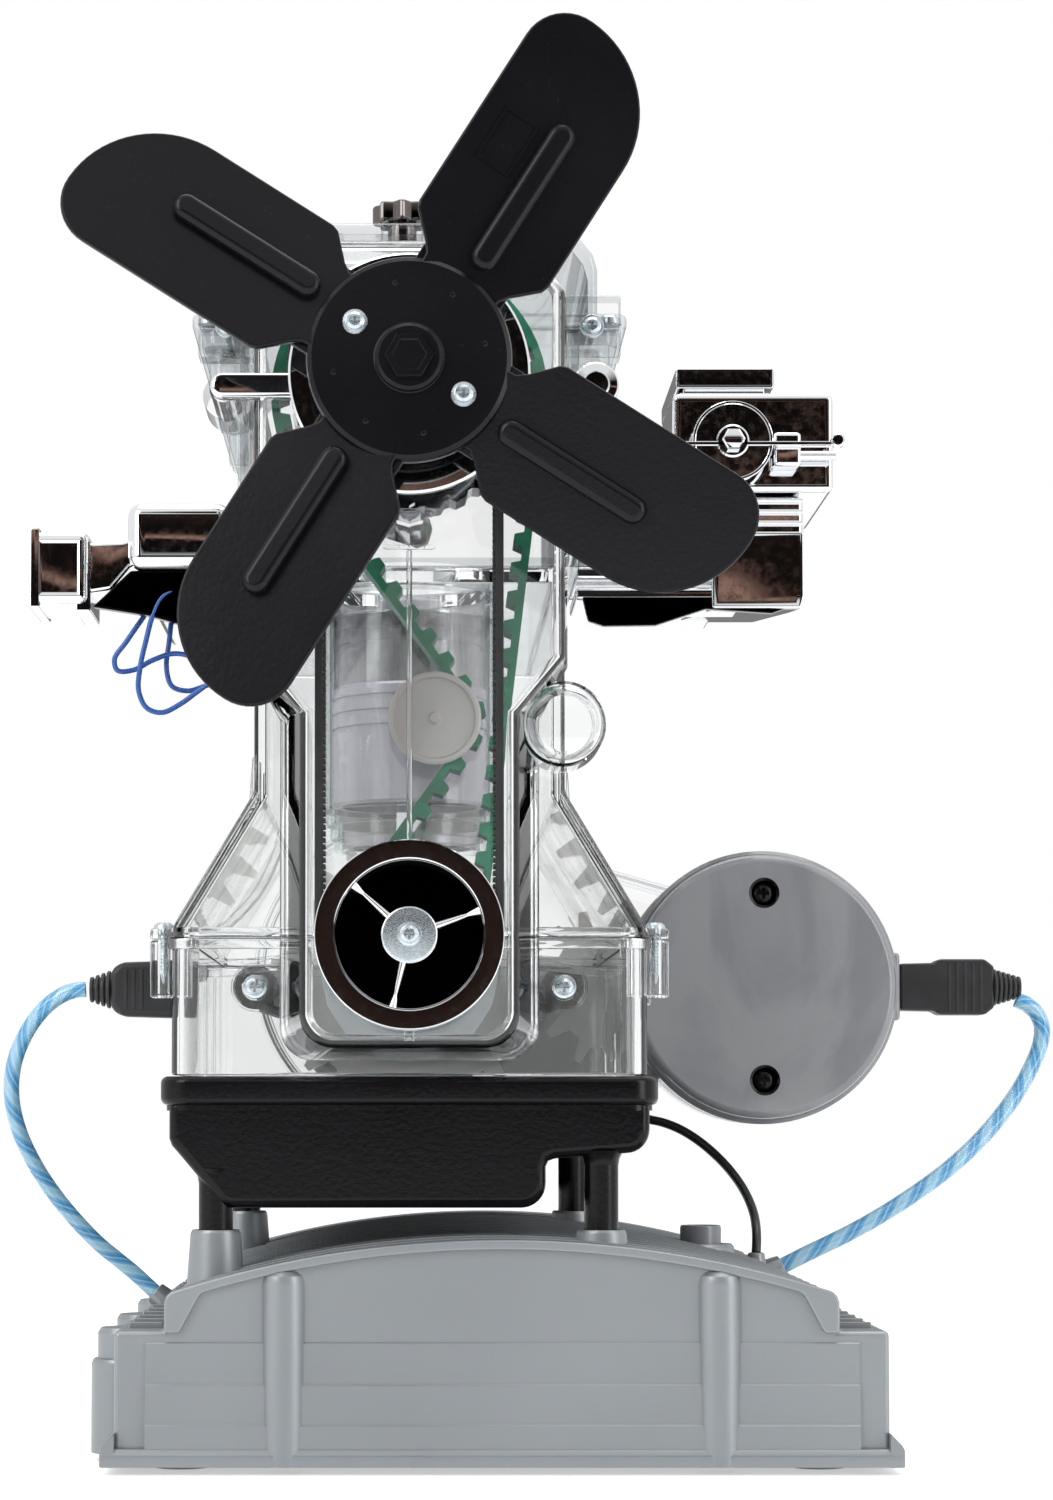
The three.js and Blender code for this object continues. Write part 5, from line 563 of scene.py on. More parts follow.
def laid_tube(name, path, radius, sides=20, turn_length=1.0):
    """A round tube along a path. Its own map counts turns of twist along it and goes once round it"""
    sides_angle = [TURN * k / sides for k in range(sides)]
    heading = (path[1] - path[0]).normalized()
    side = heading.orthogonal().normalized()
    places, run, runs = [], 0.0, []
    for i, centre in enumerate(path):
        ahead = (path[min(i + 1, len(path) - 1)] - path[max(i - 1, 0)]).normalized()
        side = (side - ahead * side.dot(ahead)).normalized()
        up = ahead.cross(side)
        places += [centre + (side * math.cos(a) + up * math.sin(a)) * radius * MM for a in sides_angle]
        if i:
            run += (centre - path[i - 1]).length
        runs.append(run / (turn_length * MM))
    faces, corners = [], []
    for i in range(len(path) - 1):
        for k in range(sides):
            n = (k + 1) % sides
            faces.append((i * sides + k, i * sides + n, (i + 1) * sides + n, (i + 1) * sides + k))
            corners += [
                (runs[i], k / sides), (runs[i], (k + 1) / sides),
                (runs[i + 1], (k + 1) / sides), (runs[i + 1], k / sides)]
    last = (len(path) - 1) * sides
    faces.append(tuple(reversed(range(sides))))
    faces.append(tuple(range(last, last + sides)))
    corners += [(0, k / sides) for k in range(sides)] + [(runs[-1], k / sides) for k in range(sides)]
    mesh = bpy.data.meshes.new(name)
    mesh.from_pydata(places, [], faces)
    lay = mesh.uv_layers.new(name="lay")
    for loop, corner in zip(lay.data, corners):
        loop.uv = corner
    piece = bpy.data.objects.new(name, mesh)
    bpy.context.scene.collection.objects.link(piece)
    return smooth(piece, 60)


def dressed(piece, finish, body, *nodes):
    """The piece gets its finish, rides on its body and stands for its plain solids"""
    piece.data.materials.clear()
    piece.data.materials.append(finish)
    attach(piece, body)
    if nodes:
        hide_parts(*nodes)
    return piece


LEFT_ROUTE = [
    (-60.96, 80, 34.5), (-62.8, 80, 36.2), (-65.7, 79.6, 38.9), (-69.6, 78.6, 42.2), (-73.9, 77, 45.9),
    (-79.2, 74.6, 51.6), (-84.4, 71.6, 58.4), (-88.6, 68, 65.6), (-91.6, 63.9, 73.2), (-92.8, 59.8, 81),
    (-91.8, 56, 88.6), (-88.8, 53, 95.4), (-84.6, 51.1, 101), (-80.4, 50.2, 104.2), (-77.2, 50, 105.4),
    (-74.7, 50, 105.6)]
RIGHT_ROUTE = [
    (96.96, 150, 37.2), (99.2, 150, 38.3), (103.4, 150.1, 40.4), (109.4, 150.6, 43.2),
    (116.4, 151.6, 46.6), (124.4, 153.1, 51), (132.8, 155, 56.2), (141, 157.2, 61.9),
    (148.8, 159.8, 68.4), (155.6, 162.4, 75.4), (161.4, 164.8, 82.8), (165.6, 166.8, 89.8),
    (168, 167.8, 95.6), (168.4, 168, 99.8), (167, 168, 103.4), (164.5, 168, 105.8), (161.7, 168, 107.1)]
LEAD_ROUTE = [
    (62.1, 172, 84.5), (60.6, 172, 83.2), (59.3, 171.8, 81.2), (59.2, 171.3, 78.7), (60.7, 170.5, 76.5),
    (63.4, 169.3, 75.3), (67.2, 167.4, 74.4), (71.6, 164.9, 72.6), (76.2, 161.6, 69.6),
    (80.6, 157.2, 65.6), (84.4, 151.6, 60.9), (87, 145.2, 56), (88.3, 138.6, 51.2), (88.4, 133.4, 47.4),
    (88.2, 130.8, 44.2), (88, 130, 41.6)]
WIRE_ROUTES = [
    [(-37.2, 44, 193), (-39.6, 44, 193), (-43.4, 43.9, 193.8), (-48.2, 43.6, 195.7), (-52.8, 43.2, 197),
     (-56.4, 43, 195.8), (-58.8, 43, 191.6), (-60.4, 43.2, 185.8), (-61.8, 43.6, 179.6),
     (-62.2, 44.2, 174), (-60.4, 45, 170.2), (-57, 45.6, 169.2), (-52.8, 46, 171.2), (-48.4, 46, 174.4),
     (-43.8, 45.2, 177.4), (-39.6, 44.2, 178), (-37.2, 44, 178)],
    [(-37.2, 50, 193), (-39.6, 50, 193), (-43.6, 49.6, 194), (-49, 48.8, 197), (-54, 48, 198.2),
     (-58.4, 47.4, 195.6), (-62, 47, 190.6), (-65.4, 46.8, 185.6), (-68, 46.9, 181.8),
     (-67.4, 47.5, 179.2), (-63.8, 48.4, 179.4), (-59.4, 49.2, 181.8), (-54.6, 49.8, 183.4),
     (-49.4, 50, 182.4), (-44.2, 50, 179.6), (-39.8, 50, 178), (-37.2, 50, 178)],
    [(-37.2, 56, 193), (-39.6, 56, 193), (-43.8, 55.4, 193.8), (-49, 54.2, 195.8), (-53.2, 53, 196.2),
     (-55, 52, 192.4), (-55.8, 51.6, 186.4), (-56.4, 51.6, 180.4), (-55.2, 52.2, 176.2),
     (-51.6, 53.4, 175.2), (-47.4, 54.8, 176.6), (-43.2, 55.8, 177.8), (-39.6, 56, 178), (-37.2, 56, 178)]]

CORDS = [
    ("left_cable", LEFT_ROUTE, 1.8, CABLE, "connector", "medium", ["left_plug"], 9.0),
    ("right_cable", RIGHT_ROUTE, 2.1, CABLE, "connector", "medium", ["right_plug"], 10.0),
    ("motor_lead", LEAD_ROUTE, 1.2, LEAD, "object", "medium", [], 10.0)]
for number, route in enumerate(WIRE_ROUTES, 1):
    CORDS.append((f"plug_wire_{number}", route, 0.6, WIRE, "object", "medium", [], 10.0))
for name, route, radius, finish, far_end, stiffness, plugs, turn_length in CORDS:
    path = along_route([at(*point) for point in route])
    piece = dressed(laid_tube(name + "_laid", path, radius, 20, turn_length), finish, "engine", name)

# Base: a silver case with an arched deck on a foot plate

BASE_LEFT, BASE_RIGHT, BASE_MID = -63.3, 102.9, 19.8
STEP_LEFT, STEP_RIGHT = -52.5, 92.1
LEDGE, ARCH_LOW = 30.6, -180.9
DECK_RADIUS, LIP_RADIUS = 229.9, 231.1
BACK = 195.0
PILLARS = [-27.0, 66.6]
BUTTON_X, BUTTON_Y = 73, 120
SLOTS_X, SLOTS_Y = 66, 162
WALL_DEPTHS = (30, 77, 135)
BOSSES = [(-43.0, 24.4), (42.6, 24.4), (-43.0, 155.0), (42.6, 155.0)]


def arch(radius, left, right, steps=40):
    """Points on the arch from its right end to its left one"""
    start = math.acos((right - BASE_MID) / radius)
    end = math.acos((left - BASE_MID) / radius)
    return arc(BASE_MID, ARCH_LOW, radius, start, end, steps)


def case_outline(wall, low):
    """The stepped case with its arched deck, as seen from the front, less a wall"""
    return [
        (BASE_LEFT + wall, low), (BASE_RIGHT - wall, low), (BASE_RIGHT - wall, LEDGE - wall),
        (STEP_RIGHT - wall, LEDGE - wall),
        *arch(DECK_RADIUS - wall, STEP_LEFT + wall, STEP_RIGHT - wall),
        (STEP_LEFT + wall, LEDGE - wall), (BASE_LEFT + wall, LEDGE - wall)]


case = rounded(slab("base_case", case_outline(0, 1.7), 0, BACK), 1.1)
hollow = slab("hollow", case_outline(2.4, -1), 2.4, BACK - 2.4)
combined(case, "DIFFERENCE", hollow)
for across in (-5, 0, 5):
    for along in (-5.5, 5.5):
        x, y = SLOTS_X + across, SLOTS_Y + along
        slot_cut = box("slot", x - 1.2, x + 1.2, y - 4.2, y + 4.2, 36, 50)
        combined(case, "DIFFERENCE", rounded(slot_cut, 1.0, 2))
combined(case, "DIFFERENCE", rod(
    "button_hole", (BUTTON_X, BUTTON_Y, 34), (BUTTON_X, BUTTON_Y, 50), 5.5))
# the front wall steps out a little at each of three ridges
ridges = beam("ridges", [
    (1.2, 28.6), (-0.1, 28.3), (-0.5, 27.9), (-0.5, 19.5), (-0.6, 19.3), (-1.0, 19.0), (-1.0, 10.9),
    (-1.1, 10.7), (-1.5, 10.4), (-1.5, 1.8), (1.2, 1.8)], -56.6, 96.5)
rounded(ridges, 0.12, 2, 30)
# the foot flares out on all four sides
flares = [
    slab("flare", [(-63.0, 1.7), (-66.2, 1.7), (-66.2, 5.4), (-65.6, 6.4), (-63.0, 9.1)], -2.4, 197.2),
    slab("flare", [(102.6, 1.7), (105.8, 1.7), (105.8, 5.4), (105.2, 6.4), (102.6, 9.1)], -2.4, 197.2),
    beam("flare", [(0.5, 1.75), (-2.5, 1.75), (-2.5, 4.4), (-1.6, 5.6), (0.5, 5.8)], -65.7, 105.3),
    beam("flare", [(194.5, 1.75), (197.4, 1.75), (197.4, 5.0), (196.4, 6.2), (194.5, 7.4)], -65.7, 105.3)]
for flare in flares:
    rounded(flare, 0.35, 2, 25)
# the arch lip turns down into a foot at each end
lip = slab("lip", [
    (STEP_LEFT, 30.2), (-49.2, 30.2), (-45.6, 37.0), (-44.6, 38.6),
    *reversed(arch(LIP_RADIUS - 2.2, -43.6, 83.2)),
    (84.2, 38.6), (85.2, 37.0), (88.8, 30.2), (STEP_RIGHT, 30.2), (STEP_RIGHT, 36.8), (91.6, 38.2),
    *arch(LIP_RADIUS, STEP_LEFT + 1.4, STEP_RIGHT - 1.4), (-52.0, 38.2), (STEP_LEFT, 36.8)], -1.5, 4.6)
rounded(lip, 0.6, 3, 30)
back_lip = slab("lip", [
    *reversed(arch(LIP_RADIUS - 2.2, STEP_LEFT + 1, STEP_RIGHT - 1)),
    *arch(LIP_RADIUS, STEP_LEFT + 1, STEP_RIGHT - 1)], 190.4, 195.6)
rounded(back_lip, 0.5, 2, 30)
ribs = [slab("rib", [
    *reversed(arch(DECK_RADIUS - 0.6, -49, 88.6)), *arch(DECK_RADIUS + 1.3, -49, 88.6)], 9.0, 11.2)]
rounded(ribs[0], 0.25, 2, 30)
for forth in range(13, 170, 13):
    ribs.append(copied(ribs[0], "rib", (0, forth, 0)))
posts = []
for middle in PILLARS:
    posts.append(upright("pillar", [
        (0, 1.8), (5.1, 1.8), (5.1, 40.6), (4.7, 42.4), (3.6, 43.3), (0, 43.4)], middle, 2.2, 40))
for depth in WALL_DEPTHS:
    posts.append(upright("column", [
        (0, 1.8), (7.7, 1.8), (7.7, 21.6), (7.2, 22.6), (6.3, 22.9), (6.3, 28.3), (5.6, 29.5),
        (0, 29.7)], BASE_LEFT, depth, 40))
# the right wall has flat buttresses in place of the left one's round columns
for depth in WALL_DEPTHS:
    posts.append(rounded(
        box("buttress", BASE_RIGHT - 1, BASE_RIGHT + 2.2, depth - 5, depth + 5, 1.8, 28.4), 0.8, 3))
# short ticks stand on the ledges
for number in range(15):
    depth = 10 + 12.5 * number
    for left, right in ((93.0, 100.4), (-61.0, -53.6)):
        posts.append(rounded(box("tick", left, right, depth, depth + 1.6, 29.6, 31.9), 0.3, 2))
for x, y in BOSSES:
    posts.append(upright("boss", [
        (0, 35.9), (6.9, 35.9), (6.6, 37.2), (5.6, 50.6), (5.2, 51.4), (4.3, 51.4), (4.3, 46.0), (0, 46.0)],
        x, y, 48))
bezel = upright("bezel", [
    (5.6, 40.6), (8.4, 40.6), (8.4, 43.5), (7.7, 44.3), (6.2, 44.3), (5.6, 43.7), (5.6, 40.6)],
    BUTTON_X, BUTTON_Y)
glands = [
    rod("gland", (-56.9, 80, 30.7), (-61.0, 80, 34.5), 3.6, 32, 2.7),
    rod("gland", (92.0, 150, 34.8), (97.0, 150, 37.2), 3.9, 32, 3.0),
    rod("gland", (88, 130, 35.2), (88, 130, 41.6), 3.0, 32, 2.1)]
for gland in glands:
    rounded(gland, 0.4, 2, 50)
together(case, ridges, *flares, lip, back_lip, *ribs, *posts, bezel, *glands)
dressed(smooth(case, 30), SILVER, "engine", "base_shell")

button = upright("button_cap", [
    (0, 46.4), (2.2, 46.3), (3.6, 46.9), (4.0, 48.0), (4.4, 48.9), (4.9, 48.9), (5.15, 48.3),
    (5.15, 41.6), (2.6, 41.6), (2.6, 36.2), (0, 36.0)], BUTTON_X, BUTTON_Y)
dressed(smooth(button, 40), BUTTON, "start_button", "start_button")

# Foot plate: an opening for the battery door, four round feet and four screw wells
foot_plate = rounded(plate("foot_plate", rounded_outline(-60.7, 100.3, 2.6, 192.4, 3), 1.8, 3.6), 0.3, 2)
feet = []
for x in (-49.7, 89.3):
    for y in (16.6, 178.4):
        feet.append(upright("foot", [
            (0, 0.3), (4.6, 0.3), (5.0, 0), (6.4, 0), (7.0, 0.5), (7.0, 3.0), (0, 3.0)], x, y, 40))
for x, y in ((-52, 100), (92, 100), (20, 8), (20, 186)):
    feet.append(upright("foot_screw_well", [
        (2.2, 1.9), (2.2, 1.5), (3.6, 1.5), (3.9, 1.8), (3.9, 2.6), (2.2, 2.6), (2.2, 1.9)], x, y, 24))
combined(foot_plate, "DIFFERENCE", box("opening", -46.2, 6.2, 61.8, 128.2, 0, 5))
together(foot_plate, *feet)
dressed(smooth(foot_plate, 30), SILVER, "engine", "base_plate")
door = rounded(box("door_panel", -46, 6, 62, 128, 1.6, 2.9), 0.5, 2)
grips = [
    rounded(box("grip_line", -30, -10, 66 + 2.2 * n, 67 + 2.2 * n, 1.35, 2.0), 0.2, 2) for n in range(5)]
together(door, *grips)
dressed(smooth(door, 30), SILVER, "engine", "battery_door")

# Oil pan: glossy black, chamfered on the left, with a deep sump and a shelf on the right
PAN_SIDE, PAN_FRONT, PAN_REAR = 53.2, 20.0, 187.0
pan = slab("sump_pan", [
    (-PAN_SIDE, 80.5), (-PAN_SIDE, 71.6), (-52.6, 70.0), (-51.6, 68.9), (-42.4, 58.0),
    (-40.9, 56.8), (-39.0, 56.3),
    *arc(24.7, 61.8, 5.5, -RIGHT, 0, 8), (30.2, 65.4), (30.8, 66.7), (32.2, 67.2),
    *arc(48.0, 73.6, 5.2, -RIGHT, 0, 8), (PAN_SIDE, 80.5)], PAN_FRONT, PAN_REAR)
rounded(pan, 3.4, 6, 50)
flange = plate("flange", rounded_outline(-55.3, 55.3, 17.7, 189.3, 7, 8), 79.0, 85.4)
rounded(flange, 1.5, 5, 50)
seam = plate("seam", rounded_outline(-54.0, 54.0, 19.0, 188.0, 6, 8), 77.8, 79.6)
legs = []
for x, y in BOSSES:
    ceiling = 68 if x > 0 else 64
    legs.append(upright("leg", [
        (0, 43.7), (3.2, 43.7), (3.8, 44.5), (3.8, ceiling - 2.4), (4.1, ceiling - 0.8), (5.0, ceiling + 1),
        (0, ceiling + 1)], x, y, 40))
together(pan, flange, seam, *legs)
dressed(smooth(pan, 30), PAN_BLACK, "engine", "oil_pan")

# Crankcase: a clear tub with lugs for the case screws and three walls that carry the crankshaft
CASE_SIDE, LUG_MIDDLE = 53.0, 55.3
RIM = rounded_outline(-53.9, 53.9, 19.1, 187.9, 6.6, 8)
# a thread of 24 steps, 0.4 mm apart
THREAD = [(1.1 if step % 2 else 1.3, 117.6 - 0.4 * step) for step in range(24)]
tub = rounded(plate("case_tub", rounded_outline(-CASE_SIDE, CASE_SIDE, 20, 187, 6, 8), 85.7, 116), 0.5, 2)
hollowed(tub, 50.6, 22.4, 184.6, 4, 84, 118)
LUG_DEPTHS = [29.0, 84.5, 140.0]
case_lugs, block_lugs, screws = [], [], []
for side in (-1, 1):
    for depth in LUG_DEPTHS:
        low, high = sorted((side * 52.4, side * 58.2))
        middle = depth + 4.5
        case_lugs.append(rounded(box("lug", low, high, depth, depth + 9, 103, 116), 0.8, 3))
        combined(case_lugs[-1], "DIFFERENCE", rod(
            "screw_hole", (side * LUG_MIDDLE, middle, 104), (side * LUG_MIDDLE, middle, 117), 1.5, 24))
        block_lugs.append(rounded(box("lug", low, high, depth, depth + 9, 116.2, 118.6), 0.5, 2))
        screws.append(upright("case_screw", [
            (0, 120.2), (1.5, 120.1), (2.2, 119.5), (2.4, 118.7), (1.3, 118.7), *THREAD,
            (0.3, 106.4), (0, 106.3)], side * 55.4, middle, 24))
rim = plate("rim", RIM, 113.6, 116)
rounded(rim, 0.4, 2, 50)
hollowed(rim, 50.8, 22.2, 184.8, 4, 110, 118)
together(tub, rim, *case_lugs)
dressed(smooth(tub, 30), CLEAR, "engine", "lower_crankcase")
saddles = []
for depth in (64.75, 104.25, 143.75):
    wall = slab("bearing_wall", [
        (-50.4, 86.2), (50.4, 86.2), (50.4, 112), (16.5, 115.6), *arc(0, 116, 6.2, 0, -math.pi, 16),
        (-16.5, 115.6), (-50.4, 112)], depth - 1.5, depth + 1.5)
    saddles.append(rounded(wall, 0.4, 2, 40))
together(*saddles)
dressed(smooth(saddles[0], 30), INNER_CLEAR, "engine")
together(*screws)
dressed(smooth(screws[0], 35), ZINC, "engine")

# Cylinder block: sloping skirts, upright walls and a deck with four bores
block = slab("block_walls", [
    (-52.5, 116.2), (52.5, 116.2), (52.5, 118.6), (34.5, 148.5), (34.5, 198.6), (-34.5, 198.6),
    (-34.5, 148.5), (-52.5, 118.6)], 20, 187)
rounded(block, 1.2, 3, 15)
room = slab("room", [
    (-50.1, 115), (50.1, 115), (50.1, 118.0), (32.1, 147.8), (32.1, 195.6), (-32.1, 195.6),
    (-32.1, 147.8), (-50.1, 118.0)], 22.4, 184.6)
combined(block, "DIFFERENCE", rounded(room, 0.8, 2, 15))
for depth in CYLINDERS:
    combined(block, "DIFFERENCE", rod("bore", (0, depth, 190), (0, depth, 202), 18.3, 64))
skirt_rim = plate("skirt_rim", RIM, 116.2, 118.4)
rounded(skirt_rim, 0.4, 2, 50)
hollowed(skirt_rim, 50.3, 22.2, 184.8, 4, 110, 120)
studs = []
for height in (193, 178):
    for depth in (44, 50, 56):
        studs.append(rod("stud", (-34.0, depth, height), (-37.2, depth, height), 1.9, 24, 1.6))
# upright webs on the skirts, between the cylinders and near both ends
webs = []
for side in (-1, 1):
    for depth in (36, 64.75, 104.25, 143.75, 172):
        webs.append(slab("web", [
            (side * 51.2, 119.2), (side * 34.2, 148.0), (side * 34.2, 158.0), (side * 35.6, 158.0),
            (side * 36.4, 147.0), (side * 52.6, 119.2)], depth - 0.9, depth + 0.9))
for web in webs:
    rounded(web, 0.3, 2, 40)
together(block, skirt_rim, *block_lugs, *studs, *webs)
dressed(smooth(block, 30), CLEAR, "engine", "cylinder_block")
liners = []
for depth in CYLINDERS:
    liners.append(upright("liner", [
        (18.35, 146), (20.0, 146), (20.4, 146.4), (20.4, 195.4), (18.35, 195.4), (18.35, 146)],
        0, depth, 64))
together(*liners)
dressed(smooth(liners[0], 35), INNER_CLEAR, "engine")

# Head and valve cover
HEAD_LUG, NUT_DEPTHS = 40.6, (30, 68, 108, 148, 178)
CAP_X, CAP_Y = -1.7, 42


def front_lug(side, bottom, top):
    """A block at a front corner that a screw goes into"""
    middle = side * HEAD_LUG
    return rounded(box("lug", middle - 6.4, middle + 6.4, 17.9, 26, bottom, top), 0.6, 3)


head = rounded(plate("head_walls", rounded_outline(-38, 38, 20, 187, 4, 6), 198.8, 252), 0.5, 2)
hollowed(head, 35.8, 22.2, 184.8, 2.4, 201, 254)
for depth in CYLINDERS:
    combined(head, "DIFFERENCE", rod("bore", (0, depth, 196), (0, depth, 204), 17, 48))
head_flange = rounded(
    plate("head_flange", rounded_outline(-46.5, 46.5, 19, 188, 4, 6), 248.2, 252), 0.6, 3)
hollowed(head_flange, 37.0, 22.2, 184.8, 2.4, 245, 255)
head_bits = [head_flange]
for side in (-1, 1):
    head_bits.append(front_lug(side, 245.4, 251.8))
    head_bits.append(turned("boss", [
        (0, 6.2), (4.6, 6.2), (5.0, 6.7), (5.0, 21), (0, 21)], side * 40.2, 234, 32))
    for depth in NUT_DEPTHS:
        head_bits.append(upright("post", [
            (0, 238), (3.2, 238.6), (3.6, 240.0), (3.6, 249), (0, 249)], side * 41.6, depth, 24))
together(head, *head_bits)
dressed(smooth(head, 30), INNER_CLEAR, "engine", "cylinder_head")

crown = [
    (-42, 252.4), (42, 252.4), (42, 266), (41.0, 269.4), (38.4, 272.6), (34.4, 275.0), (29, 276.5),
    (-29, 276.5), (-34.4, 275.0), (-38.4, 272.6), (-41.0, 269.4), (-42, 266)]
valve_cover = rounded(slab("rocker_cover", crown, 21, 186), 1.6, 4, 40)
room = slab("room", [
    (x * 0.952, z - 2.0 if z > 260 else 250) for x, z in crown], 23, 184)
combined(valve_cover, "DIFFERENCE", rounded(room, 1.0, 2, 40))
cover_flange = rounded(
    plate("cover_flange", rounded_outline(-48.5, 48.5, 17.8, 189.2, 4, 6), 252.2, 255.2), 0.7, 3)
hollowed(cover_flange, 41.0, 22.2, 184.8, 2.4, 250, 258)
neck = upright("neck", [
    (3.3, 275.0), (4.8, 275.0), (4.8, 280.4), (4.4, 281.0), (3.3, 281.0), (3.3, 275.0)],
    CAP_X, CAP_Y, 40)
fins = []
for across in (-24, -16, 16, 24):
    fins.append(rounded(box("fin", across - 0.9, across + 0.9, 34, 174, 275.6, 277.6), 0.5, 2))
nuts = []
for side in (-1, 1):
    for depth in NUT_DEPTHS:
        nuts.append(upright("cover_screw", [
            (0, 256.4), (0.7, 256.5), (0.9, 257.3), (1.9, 257.2), (2.5, 256.6), (2.7, 255.3), (0, 255.2)],
            side * 45.2, depth, 20))
cover_lugs = [front_lug(side, 252.4, 259.2) for side in (-1, 1)]
together(valve_cover, cover_flange, neck, *fins, *cover_lugs)
dressed(smooth(valve_cover, 30), INNER_CLEAR, "engine", "valve_cover")
together(*nuts)
dressed(smooth(nuts[0], 35), ZINC, "engine")
lobes = []
for number in range(64):
    angle = TURN * number / 64
    radius = 6.1 + 0.7 * math.cos(8 * angle)
    lobes.append((CAP_X + radius * math.cos(angle), CAP_Y + radius * math.sin(angle)))
cap = plate("oil_cap", lobes, 281.2, 285.8)
rounded(cap, 0.7, 3, 50)
plug = upright("plug", [
    (0, 276.2), (2.9, 276.2), (3.2, 276.6), (3.2, 281.4), (0, 281.4)], CAP_X, CAP_Y, 32)
dome = upright("dome", [
    (0, 286.5), (2.4, 286.4), (3.6, 286.0), (3.8, 285.6), (0, 285.4)], CAP_X, CAP_Y, 32)
together(cap, plug, dome)
dressed(smooth(cap, 35), DARK_CHROME, "filler_cap", "oil_filler_cap")

# Front cover: a clear tub over the timing belt, open at the back
EAR_X, EAR_Z = 34, 105


def cover_outline(low, wide, peak, bottom, top, corner):
    right = [
        *arc(low - corner, bottom + corner, corner, -RIGHT, 0, 8), (low, 164), (wide, 176), (wide, 256),
        (peak, top)]
    return right + [(-x, z) for x, z in reversed(right)]


cover = bridged(
    "timing_cover", cover_outline(23.2, 33.6, 27, 91.7, 267, 7.5), 0,
    cover_outline(29.2, 35.2, 28.6, 88.5, 268.2, 7.5), 19.8)
rounded(cover, 2.2, 5, 40)
room = bridged(
    "room", cover_outline(21.9, 32.1, 25.8, 93.2, 265.4, 6.2), 1.6,
    cover_outline(27.9, 33.7, 27.2, 89.9, 266.8, 6.2), 24)
combined(cover, "DIFFERENCE", rounded(room, 1.2, 3, 40))
combined(cover, "DIFFERENCE", rod("nose_hole", (0, -2, 115), (0, 4, 115), 5.2, 48))
bulge = turned("bulge", [
    (0, 4.0), (6.4, 4.0), (8.2, 4.7), (9.4, 6.4), (9.4, 19.6), (8.0, 19.6), (8.0, 7.0), (7.2, 6.0),
    (5.8, 5.4), (0, 5.4)], 33.5, 162, 48)
ears = []
for side in (-1, 1):
    ears.append(rounded(slab("ear", [
        (side * 28.4, 98.0), (side * 33, 99.5),
        *arc(side * EAR_X, EAR_Z, 5.4, -RIGHT, -RIGHT + side * math.pi, 14),
        (side * 28.6, 112.0)], 16.6, 19.8), 0.5, 2, 40))
    ears.append(turned("ear_ring", [
        (2.9, 16.8), (3.1, 15.3), (4.3, 15.3), (4.7, 15.8), (4.9, 16.8), (2.9, 16.8)],
        side * EAR_X, EAR_Z, 48))
together(*ears)
dressed(smooth(ears[0], 30), INNER_CLEAR, "engine")
frame_outer = slab("plate_frame", rounded_outline(-5.8, 5.8, 199.1, 207.9, 1, 3), -0.7, 0.4)
frame_inner = slab("plate_room", rounded_outline(-4.9, 4.9, 200.0, 207.0, 0.5, 3), -2, 1)
combined(frame_outer, "DIFFERENCE", frame_inner)
spine = rounded(box("spine", -0.6, 0.6, -0.5, 0.4, 135.1, 199.1), 0.4, 2)
foot_rib = rounded(box("foot_rib", -1.1, 1.1, -0.8, 0.4, 92.6, 99.5), 0.4, 2)
mouth = turned("mouth", [
    (5.2, -1.2), (6.8, -1.2), (7.3, -0.7), (7.3, 0.5), (5.2, 0.5), (5.2, -1.2)], 0, 115, 48)
together(cover, bulge, frame_outer, spine, foot_rib, mouth)
dressed(smooth(cover, 30), CLEAR, "engine", "front_cover")

# Castings: a panel set into the large faces that look one way

def panelled(piece, direction, margin, depth, least=60):
    """The faces that look this way, at least this large in square millimetres, get a sunk panel"""
    only(piece)
    bpy.ops.object.mode_set(mode="EDIT")
    bpy.ops.mesh.select_mode(type="FACE")
    bpy.ops.mesh.select_all(action="DESELECT")
    bpy.ops.object.mode_set(mode="OBJECT")
    for face in piece.data.polygons:
        face.select = face.normal.dot(Vector(direction)) > 0.95 and face.area > least * MM * MM
    bpy.ops.object.mode_set(mode="EDIT")
    bpy.ops.mesh.inset(thickness=margin * MM, depth=-depth * MM)
    bpy.ops.mesh.select_mode(type="VERT")
    bpy.ops.object.mode_set(mode="OBJECT")
    return piece


FORWARD = (0, -1, 0)


# Screws: a washer head with a cross recess

def crossed(head, x, z, reach, half, front, back):
    """A cross recess, cut into the head of a screw"""
    for wide, tall in ((reach, half), (half, reach)):
        combined(head, "DIFFERENCE", box("cross", x - wide, x + wide, front, back, z - tall, z + tall))
    return head


def screw_head(name, x, z, seat):
    head = turned(name, [
        (0, seat - 1.9), (1.2, seat - 1.8), (1.8, seat - 1.3), (2.0, seat - 0.6), (2.5, seat - 0.5),
        (2.65, seat - 0.3), (2.65, seat), (1.4, seat), (1.4, seat + 3.4), (0, seat + 3.6)], x, z, 32)
    return smooth(crossed(head, x, z, 1.15, 0.28, seat - 2.5, seat - 0.9), 30)


for name, side in (("cover_screw_left", -1), ("cover_screw_right", 1)):
    dressed(screw_head("zinc_" + name, side * EAR_X, EAR_Z, 16.2), ZINC, "engine", name)
lug_screws = [screw_head("lug_screw", side * HEAD_LUG, 252.1, 17.8) for side in (-1, 1)]
together(*lug_screws)
dressed(smooth(lug_screws[0], 30), ZINC, "engine")
